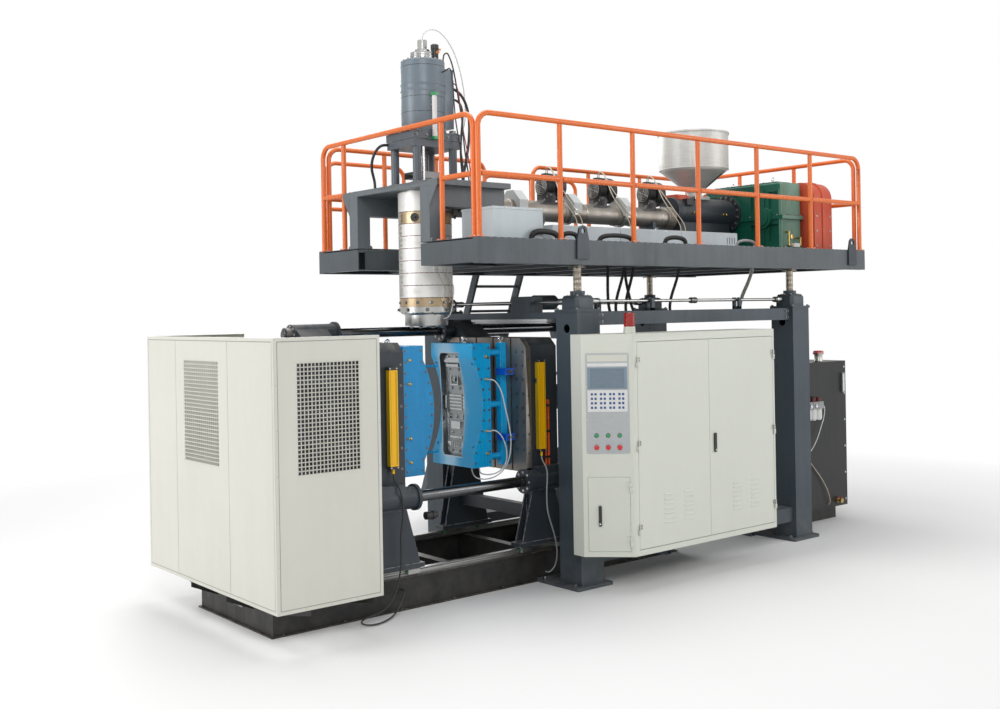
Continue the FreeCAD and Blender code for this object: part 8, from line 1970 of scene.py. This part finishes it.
class MACHINE_OT_extruder(bpy.types.Operator):
    """Clamp rings, blowers, feed throat, hopper, gearbox, guard and motor fittings"""
    bl_idname = "machine.extruder"
    bl_label = "Extruder"

    def execute(self, context):
        self.barrel()
        self.fans()
        self.throat()
        self.hopper()
        self.gearbox()
        self.guard()
        self.motor()
        return {"FINISHED"}

    def barrel(self):
        rings = [sleeve((x, 0, BARREL_AXIS), RIGHT, 100, 124, 46) for x in (1752, 2512)]
        rings += [sleeve((x, 0, BARREL_AXIS), RIGHT, 100, 108, 8) for x in (700, 960, 1980, 2700, 3120, 3296)]
        fitting("barrel_rings", "steel", "platform", turned=rings)
        lugs = [((x, -160, BARREL_AXIS + s * 22 - 7), (x + 46, -100, BARREL_AXIS + s * 22 + 7)) for x in (1752, 2512)
                for s in (-1, 1)]
        fitting("ring_lugs", "steel", "platform", boxes=lugs, edge=2)
        bolts("ring_lug_bolts", facing(UP, *[(x + 23, -142, BARREL_AXIS + 29) for x in (1752, 2512)]), "platform", 12,
              "zinc")
        bolts("barrel_flange_bolts", ring((312, 0, BARREL_AXIS), RIGHT, 118, 8, 0.39), "platform", 11,
              "dark steel", 16, 0.8)
        fitting("probe_box", "black", "platform", boxes=[((3425, -186, 3640), (3530, -96, 3712))], edge=5)
        fitting("ring_cover", "coral", "platform", prisms=[([(3366, y, z) for y, z in
                ((-118, 3700), (-118, 3738), (-84, 3762), (84, 3762), (118, 3738), (118, 3700))], (180, 0, 0))], edge=3)
        feet = [(x + dx, y, 3134) for x in (1420, 2980) for dx in (-44, 44) for y in (-100, 100)]
        bolts("stand_bolts", facing(UP, *feet), "platform", 10, "zinc")

    def fans(self):
        guards, seams = bmesh.new(), []
        for x in BLOWER_PLACES:
            for radius in (30, 48, 66, 84):
                add_loop(guards, (x - 121, 0, BLOWER_AXIS), RIGHT, radius, 2.2, 28, 6)
            for angle in (0.4, 1.97, 3.54, 5.11):
                end = (0, 88 * math.cos(angle), 88 * math.sin(angle))
                add_rod(guards, at(x - 122, 0, BLOWER_AXIS), at(x - 122, end[1], BLOWER_AXIS + end[2]), 2.2 * MM, 6)
            seams.append(sleeve((x + 56, 0, BLOWER_AXIS), RIGHT, 130, 137, 8))
            seams += [sleeve((x - 100 + k * 14, 0, BLOWER_AXIS), RIGHT, 98, 110, 4) for k in range(6)]
        bmesh.ops.recalc_face_normals(guards, faces=guards.faces)
        from_bmesh("fan_grilles", guards, "zinc", "platform")
        fitting("fan_ribs", "blower", "platform", turned=seams)
        fitting("fan_boxes", "black", "platform",
                boxes=[((x - 86, -34, BLOWER_AXIS + 96), (x - 16, 34, BLOWER_AXIS + 132)) for x in BLOWER_PLACES],
                edge=5)
        rims = [pair for x in BLOWER_PLACES for pair in ring((x + 120, 0, BLOWER_AXIS), RIGHT, 112, 10)]
        bolts("fan_screws", rims, "platform", 6, "zinc", 12)
        ducts = [(x + dx, -80, z) for x in BLOWER_PLACES
                 for dx, z in ((-150, 3610), (-110, 3640), (-230, 3580), (-60, 3660))]
        bolts("duct_screws", facing(NEAR, *ducts), "platform", 5, "dark steel", 12)
        tops = [(x - 475 + dx, y, 3685.2) for x in BLOWER_PLACES for dx in (10, 90) for y in (-38, 38)]
        screws("hood_screws", facing(UP, *tops), "platform")

    def throat(self):
        heads = ring((4274, 0, THROAT_AXIS), LEFT, 198, 16, 0.2)
        bolts("throat_bolts", heads, "platform", 13, "dark steel", 16, 1.1)
        corners = [(HOPPER_PLACE + dx, dy, 3750) for dx in (-104, 104) for dy in (-104, 104)]
        bolts("seat_bolts", facing(UP, *corners), "platform", 14, "zinc")
        sole = [(x, y, DECK_TOP + 30) for x in evenly(3420, 4180, 4) for y in (-146, 146)]
        bolts("sole_bolts", facing(UP, *sole), "platform", 14, "dark steel")
        nipple = [(0, 0), (17, 0), (17, 10), (11, 12), (11, 34), (15, 36), (15, 48), (8, 52), (0, 52)]
        fitting("cooling_nipples", "brass", "platform",
                turned=[((x, -168, THROAT_AXIS - 20), NEAR, nipple) for x in (3560, 4060)] +
                       [((x, 168, THROAT_AXIS - 20), FAR, nipple) for x in (3560, 4060)])

    def hopper(self):
        bolts("flange_bolts", ring((HOPPER_PLACE, 0, 3760), UP, 102, 8, 0.39), "platform", 9, "zinc")
        fitting("hopper_rim", "stainless", "platform",
                turned=[sleeve((HOPPER_PLACE, 0, 4452), UP, 388, 403, 9),
                        sleeve((HOPPER_PLACE, 0, 4054), UP, 387, 393, 10)])
        slope = Vector((0, -310, 250)).normalized()
        side, out = Vector(RIGHT), Vector((0, -0.628, -0.778))
        foot, top = Vector((0, -150, 3868)) + out * 3.2, Vector((0, -318, 4003)) + out * 3.2
        turn = Matrix.Rotation(0.42, 3, "Z")
        # The second sheet is painted shade: a near black sheet in the sight slit, for the shade inside the hopper.
        for name, finish_name, half, reach, lift in (("sight_frame", "steel", 26, 14, 0),
                                                     ("sight_slit", "slot shade", 14, 0, 3)):
            corners = [foot - side * half - slope * reach, foot + side * half - slope * reach,
                       top + side * half + slope * reach, top - side * half + slope * reach]
            corners = [turn @ (Vector((c.x, c.y, 0)) + out * lift) + Vector((HOPPER_PLACE, 0, c.z)) for c in corners]
            push = turn @ (out * -14)
            fitting(name, finish_name, "platform", prisms=[([tuple(c) for c in corners], tuple(push))])

    def gearbox(self):
        left, right, near = 4335, 4680, -770
        split = [(x, near - 8, GEARBOX_SPLIT) for x in evenly(left + 20, right - 20, 5)]
        split += [(left - 8, y, GEARBOX_SPLIT) for y in evenly(near + 60, 300, 9)]
        bolts("split_bolts", facing(UP, *split), "platform", 12, "dark steel")
        lid = [(x, y, GEARBOX_LID) for x in (left + 70, right - 70) for y in evenly(near + 130, 220, 6)]
        bolts("lid_bolts", facing(UP, *lid), "platform", 10, "zinc")
        feet = [(x, near - 16, 3160) for x in evenly(left + 20, right - 20, 4)]
        bolts("gearbox_foot_bolts", facing(UP, *feet), "platform", 14, "dark steel")
        lifting_eyes("gearbox_eyes", "platform", (4430, near + 190, GEARBOX_LID, FAR), (4590, 120, GEARBOX_LID, FAR))
        fitting("gearbox_breather", "chrome", "platform",
                turned=[((4520, -300, GEARBOX_LID), UP,
                         [(0, 0), (16, 0), (16, 14), (28, 18), (28, 44), (20, 52), (0, 52)])])
        glass = [(0, 0), (30, 0), (30, 7), (22, 9), (22, 5), (0, 5)]
        fitting("oil_glass", "brass", "platform", turned=[((4507, near - 2, 3280), NEAR, glass)])
        rods = [((4400, near - 40, 3180), (4400, near - 40, 3330), 9),
                ((4400, near - 40, 3180), (4610, near - 40, 3180), 9),
                ((4610, near - 40, 3180), (4610, near - 40, 3270), 9)]
        fitting("oil_pipes", "brass", "platform", rods=rods + [((4400, near + 4, 3330), (4400, near - 48, 3330), 12),
                                                              ((4610, near + 4, 3270), (4610, near - 48, 3270), 12)])
        fitting("oil_pump", "white plastic", "platform", boxes=[((4460, near - 72, 3160), (4560, near - 18, 3205))],
                edge=6)

    def guard(self):
        bolts("guard_screws", facing(NEAR, *[(x, -928, z) for x in (4760, 5010) for z in evenly(3180, 3680, 4)]),
              "platform", 8, "zinc", 12)
        grille = [(5048, y, z) for y in evenly(-380, 220, 16) for z in evenly(3260, 3700, 7)]
        # Painted shade: dark blocks for the shade inside the louvre slots of the guard.
        blocks("guard_louvres", grille, "slot shade", "platform", (2, 9, 46))
        face = [(5048, y, z) for y in evenly(-860, 740, 7) for z in (3160, 3400)]
        screws("guard_face_screws", facing(RIGHT, *face), "platform", "zinc")

    def motor(self):
        bolts("motor_foot_bolts", facing(UP, *[(x, y, 3134) for x in (4100, 4590) for y in (460, 860)]), "platform", 14,
              "dark steel")
        lifting_eyes("motor_eye", "platform", (4550, 660, 3656, RIGHT))
        screws("terminal_lid_screws",
               facing(UP, *[(4335 + dx, 660 + dy, 3730) for dx in (-60, 60) for dy in (-60, 60)]), "platform")


# ---------------------------------------------------------------- deck and tank

# X and Y of every post of the guard rails.
GUARD_POSTS = (
    [(x, -1175) for x in (-290, 626, 1543, 2460, 3377, 4293, 5210)]
    + [(-290, y) for y in (-1110, -665, 935, 1325)] + [(5210, y) for y in (-1110, -298, 513, 1325)]
    + [(x, 1325) for x in (-225, 440, 1105, 1770, 2480, 3368, 4256, 5145)]
    + [(x, 2240) for x in (290, 1310, 2480, 3245, 4010)])
# Name, finish, radius, start, top and end on the deck, and rise.
DECK_HOSES = (
    ("deck_hose_1", "rubber", 26, ((330, -1118), (475, -1116), (650, -1112)), 66),
    ("deck_hose_2", "rubber", 22, ((700, -1100), (797, -1104), (900, -1096)), 60),
    ("deck_hose_3", "rubber", 22, ((1170, -1096), (1390, -1100), (1610, -1090)), 58),
    ("deck_hose_4", "rubber", 22, ((2050, -1096), (2201, -1100), (2360, -1092)), 62),
    ("deck_hose_5", "grey cable", 15, ((3136, -1090), (3290, -1096), (3450, -1086)), 60),
)


# Name, finish, radius, body and the points of the route.
LEADS = (
    ("probe_lead_1", "black", 7, "platform", ((340, -238, 3660.3), (340, -238, 3720), (330, -238, 3800),
        (300, -236, 3960), (290, -224, 4140), (300, -196, 4300), (282, -170, 4480), (268, -152, 4650),
        (250, -130, 4800), (226, -104, 4896), (190, -124, 4905), (152, -120, 4880), (150, -120, 4815.3))),
    ("probe_lead_2", "black", 6, "platform", ((258, -270, 3660.3), (258, -270, 3730), (252, -270, 3820),
        (232, -268, 3960), (206, -262, 4100), (178, -258, 4260), (160, -262, 4440), (146, -268, 4620),
        (128, -262, 4740), (104, -224, 4712), (87.2, -187.1, 4700))),
    ("block_lead", "wire red", 5, "platform", ((386, -205, 3660.3), (386, -205, 3720), (384, -204, 3800),
        (372, -196, 3930), (348, -182, 4080), (330, -166, 4220), (326, -150, 4360), (322, -136, 4480),
        (312, -124, 4590), (296, -100, 4636), (256.3, -92, 4640))),
    ("head_lead_1", "beige cable", 4.5, "platform", ((34.4, -244.9, 2530), (36, -256, 2530), (30, -272, 2562),
        (10, -276, 2600), (-14, -282, 2640), (8, -290, 2700), (-20, -285, 2760), (-36, -262, 2820),
        (-35.2, -250.5, 2861.7))),
    ("head_lead_2", "beige cable", 4.5, "platform", ((68.2, -237.7, 2590), (74, -252, 2590), (70, -276, 2612),
        (60, -280, 2650), (84, -276, 2700), (60, -282, 2770), (24, -266, 2820), (22.1, -252, 2861.7))),
    ("head_lead_3", "white tube", 4.5, "platform", ((51.8, -193.5, 2440), (58, -216, 2440), (74, -256, 2462),
        (84, -272, 2510), (104, -268, 2570), (120, -250, 2640), (140, -242, 2700), (110, -264, 2760),
        (70, -262, 2815), (65.5, -244.4, 2861.7))),
    ("water_tube_1", "white tube", 6, "right_clamp", ((430, -200, 1054.7), (430, -200, 1020), (440, -206, 980),
        (490, -270, 968), (560, -350, 1000), (602, -400, 1090), (590, -420, 1220), (530, -420, 1350),
        (462, -404, 1404), (430, -376, 1390), (430, -348.3, 1390))),
    ("water_tube_2", "white tube", 6, "right_clamp", ((380, -150, 1054.7), (380, -150, 990), (410, -190, 930),
        (500, -280, 930), (580, -370, 1000), (624, -420, 1130), (628, -440, 1300), (600, -440, 1460),
        (560, -436, 1620), (530, -430, 1760), (470, -412, 1860), (430, -380, 1870), (430, -348.3, 1870))),
)


class MACHINE_OT_deck(bpy.types.Operator):
    """Post feet, box hardware, blower wires, hoses on the deck and the fittings of the tank"""
    bl_idname = "machine.deck"
    bl_label = "Deck and tank"

    def execute(self, context):
        self.posts()
        self.boxes()
        self.wires()
        self.hoses()
        self.tank()
        return {"FINISHED"}

    def posts(self):
        plates, places = [], []
        for x, y in GUARD_POSTS:
            half = 38
            low, high = (max(x - half, -329.5), y - half, DECK_TOP), (min(x + half, 5249), y + half, DECK_TOP + 8)
            plates.append((low, high))
            places += [(max(min(x + dx, 5240), -320), y + dy, DECK_TOP + 8) for dx in (-27, 27) for dy in (-27, 27)]
        fitting("post_feet", "rail", "platform", boxes=plates, edge=1.5)
        bolts("post_foot_bolts", facing(UP, *places), "platform", 5.5, "zinc")

    def boxes(self):
        screws("box_screws", facing(NEAR, *[(x, -1084, 3384) for x in evenly(-40, 480, 6)]) +
               facing(NEAR, *[(x, -760, z) for x in evenly(930, 3300, 12) for z in (3135, 3276)]), "platform")
        glands = [((x, -640, 3200), FAR, [(0, 0), (18, 0), (18, 7), (14, 10), (14, 24), (9, 28), (0, 28)])
                  for x in evenly(20, 430, 7)]
        fitting("box_glands", "black", "platform", turned=glands)
        sockets = [((x, -560, 3225), FAR, [(0, 0), (24, 0), (24, 10), (20, 12), (20, 30), (14, 34), (0, 34)])
                   for x in evenly(1050, 3450, 9)]
        fitting("tray_sockets", "grey plastic", "platform", turned=sockets)
        # Painted shade: thin dark strips for the shade in the seams between the tray's panels.
        seams = [((x - 1.2, -761.2, 3122), (x + 1.2, -760, 3289)) for x in (1788, 2674)]
        seams += [((x - 1.2, -760, 3290), (x + 1.2, -560, 3291)) for x in (1788, 2674)]
        fitting("tray_seams", "slot shade", "platform", boxes=seams)

    def wires(self):
        for index, fan_x in enumerate(BLOWER_PLACES):
            for wire, drop in enumerate((0.0, 16.0)):
                start = (fan_x - 60 + 22 * wire, -10, BLOWER_AXIS + 132.3)
                end = (fan_x - 236 + 70 * wire, -648, 3290.3)
                x, z = start[0], start[2]
                points = (start, (x, -12, z + 40), (x - 30, -70, z + 62), (x - 80, -180, z + 20 - drop),
                          (x - 130, -290, 3790 - drop), (end[0] - 18, -420, 3640), (end[0] - 20, -540, 3500),
                          (end[0] - 6, -620, 3400), (end[0], end[1], 3335), end)
                hang(f"blower_wire_{index + 1}_{wire + 1}", points, 4.5, "beige cable", "platform")
        for name, finish_name, radius, body, points in LEADS:
            hang(name, points, radius, finish_name, body)

    def hoses(self):
        for name, finish_name, radius, (start, top, end), rise in DECK_HOSES:
            low = 3120.3
            points = ((*start, low), (start[0] + 3, start[1], low + rise * 0.45),
                      (start[0] * 0.7 + top[0] * 0.3, top[1], low + rise * 0.95), (*top, low + rise * 1.12),
                      (end[0] * 0.7 + top[0] * 0.3, top[1], low + rise * 0.95),
                      (end[0] - 3, end[1], low + rise * 0.45), (*end, low))
            hang(name, points, radius, finish_name, "platform", pitch=12, stiffness="stiff")

    def tank(self):
        cover = [(5015 + 175 * math.cos(a), 175 * math.sin(a), 1864) for a in (FULL_TURN * k / 12 for k in range(12))]
        fitting("tank_lid", "tank", "base", turned=[((5015, 0, 1850), UP, [(0, 0), (205, 0), (205, 14), (0, 14)])])
        bolts("tank_lid_bolts", facing(UP, *cover), "base", 11, "zinc")
        edge = [(x, -780, z) for x in (4290, 5450) for z in evenly(230, 1780, 6)]
        bolts("tank_edge_bolts", facing(NEAR, *edge), "base", 9, "zinc", 12, 0.5)
        fitting("drain_valve", "brass", "base",
                turned=[((5280, -780, 230), NEAR,
                         [(0, 0), (26, 0), (26, 14), (18, 16), (18, 46), (26, 48), (26, 66), (0, 66)])])
        fitting("drain_lever", "red plastic", "base",
                boxes=[((5272, -838, 252), (5288, -828, 262)), ((5272, -838, 258), (5288, -760, 266))], edge=2)
        fitting("level_glass", "lamp tube", "base", boxes=[((5396, -807, 1500), (5419, -804, 1690))], edge=1.5)
        dial = [(0, 0), (23, 0), (23, 4), (20, 14), (17, 14), (17, 11), (0, 11)]
        fitting("regulator_dials", "chrome", "base", turned=[((x, -875, 1366), NEAR, dial) for x in (4660, 4760)])
        fitting("regulator_bowl_rings", "zinc", "base",
                turned=[sleeve((x, -830, 1318), UP, 38, 45, 12) for x in (4660, 4760, 4860)])


# ---------------------------------------------------------------- stage

CAMERA_PLACE = Vector((-6.118, -8.554, 2.49))
CAMERA_FORWARD = Vector((0.633, 0.774, 0.0))
CAMERA_ROLL = math.radians(0.99)
CAMERA_LENS = 40.81
CAMERA_SHIFT = -0.0424
FLOOR_REACH = 40.0
FLOOR_FADE = (5.5, 9.5)
STAGE_CENTRE = Vector((1.6, 0.2, 0.0))
# Name, place, size and power.
LAMPS = (
    ("key", (-5.5, -9.0, 7.5), 5.0, 345),
    ("fill", (8.5, -8.0, 5.0), 6.0, 225),
    ("end", (-9.0, 2.0, 4.5), 5.0, 330),
    ("top", (1.6, 1.0, 10.5), 8.0, 520),
    ("back", (4.0, 9.5, 6.0), 6.0, 330),
)


class MACHINE_OT_stage(bpy.types.Operator):
    """Pale floor, soft lamps and the camera"""
    bl_idname = "machine.stage"
    bl_label = "Stage"

    def execute(self, context):
        self.floor()
        self.world(context)
        for name, position, size, power in LAMPS:
            self.lamp(context, name, Vector(position), size, power)
        self.camera(context)
        context.scene.view_settings.view_transform = "Standard"
        return {"FINISHED"}

    def floor(self):
        bm = bmesh.new()
        bmesh.ops.create_grid(bm, x_segments=1, y_segments=1, size=FLOOR_REACH)
        mesh = bpy.data.meshes.new("studio_floor")
        bm.to_mesh(mesh)
        bm.free()
        floor = bpy.data.objects.new("studio_floor", mesh)
        bpy.context.scene.collection.objects.link(floor)
        material, tree, shader = new_material("studio floor", Roughness=0.75)
        shader.inputs["Base Color"].default_value = (0.86, 0.86, 0.86, 1)
        centre = add_node(tree, "ShaderNodeVectorMath", {0: place(tree), 1: STAGE_CENTRE}, operation="DISTANCE")
        faded = ramp(tree, centre.outputs["Value"], *FLOOR_FADE)
        seen = tree.nodes.new("ShaderNodeLightPath").outputs
        direct = math_node(tree, "MAXIMUM", seen["Is Camera Ray"], seen["Is Glossy Ray"])
        white = add_node(tree, "ShaderNodeEmission", {"Color": (1, 1, 1, 1), "Strength": 1.0})
        mixed = add_node(tree, "ShaderNodeMixShader", {0: times(tree, faded, direct),
                                                       1: shader.outputs[0], 2: white.outputs[0]})
        tree.links.new(mixed.outputs[0], tree.nodes["Material Output"].inputs["Surface"])
        mesh.materials.append(material)
        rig.stage(floor)

    def world(self, context):
        world = bpy.data.worlds.new("studio")
        world.use_nodes = True
        context.scene.world = world
        tree = world.node_tree
        seen = tree.nodes.new("ShaderNodeLightPath").outputs
        direct = math_node(tree, "MAXIMUM", seen["Is Camera Ray"], seen["Is Transmission Ray"])
        strength = math_node(tree, "MAXIMUM", direct, times(tree, seen["Is Glossy Ray"], 0.85))
        strength = math_node(tree, "MAXIMUM", strength, 0.47)
        background = tree.nodes["Background"]
        background.inputs["Color"].default_value = (1, 1, 1, 1)
        tree.links.new(strength, background.inputs["Strength"])

    def lamp(self, context, name, position, size, power):
        data = bpy.data.lights.new(name, "AREA")
        data.shape = "DISK"
        data.size = size
        data.energy = power
        lamp = bpy.data.objects.new(name, data)
        lamp.location = position
        lamp.rotation_euler = (STAGE_CENTRE + Vector((0, 0, 1.8)) - position).to_track_quat("-Z", "Y").to_euler()
        context.scene.collection.objects.link(lamp)

    def camera(self, context):
        data = bpy.data.cameras.new("camera")
        data.lens = CAMERA_LENS
        data.shift_y = CAMERA_SHIFT
        camera = bpy.data.objects.new("camera", data)
        forward = CAMERA_FORWARD.normalized()
        level = Vector((forward.y, -forward.x, 0))
        down = Vector(DOWN)
        right = level * math.cos(CAMERA_ROLL) + down * math.sin(CAMERA_ROLL)
        up = level * math.sin(CAMERA_ROLL) - down * math.cos(CAMERA_ROLL)
        camera.matrix_world = Matrix.Translation(CAMERA_PLACE) @ Matrix((right, up, -forward)).transposed().to_4x4()
        context.scene.collection.objects.link(camera)
        context.scene.camera = camera


# ---------------------------------------------------------------- add-on

class MACHINE_PT_panel(bpy.types.Panel):
    """Lists the operators of the machine"""
    bl_idname = "MACHINE_PT_panel"
    bl_label = "Blow moulding machine"
    bl_space_type = "VIEW_3D"
    bl_region_type = "UI"
    bl_category = "Machine"

    def draw(self, context):
        for group in (context.scene.machine_paints, context.scene.machine_sizes):
            for name in group.bl_rna.properties.keys():
                if name not in ("rna_type", "name"):
                    self.layout.prop(group, name)
        for operator in OPERATORS:
            self.layout.operator(operator.bl_idname)


OPERATORS = tuple(value for name, value in list(globals().items()) if name.startswith("MACHINE_OT_"))
CLASSES = (MachinePaints, MachineSizes) + OPERATORS + (MACHINE_PT_panel,)


def register():
    for item in CLASSES:
        bpy.utils.register_class(item)
    bpy.types.Scene.machine_paints = bpy.props.PointerProperty(type=MachinePaints)
    bpy.types.Scene.machine_sizes = bpy.props.PointerProperty(type=MachineSizes)


def unregister():
    del bpy.types.Scene.machine_sizes
    del bpy.types.Scene.machine_paints
    for item in reversed(CLASSES):
        bpy.utils.unregister_class(item)


def main():
    register()
    for operator in OPERATORS:
        group, name = operator.bl_idname.split(".")
        getattr(getattr(bpy.ops, group), name)()
    boxes = {"cad": CAD_BOX, "visual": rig.bounds()}
    with open("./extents.json", "w") as out:
        json.dump({name: [list(corner) for corner in box] for name, box in boxes.items()}, out)


if __name__ == "__main__":
    main()
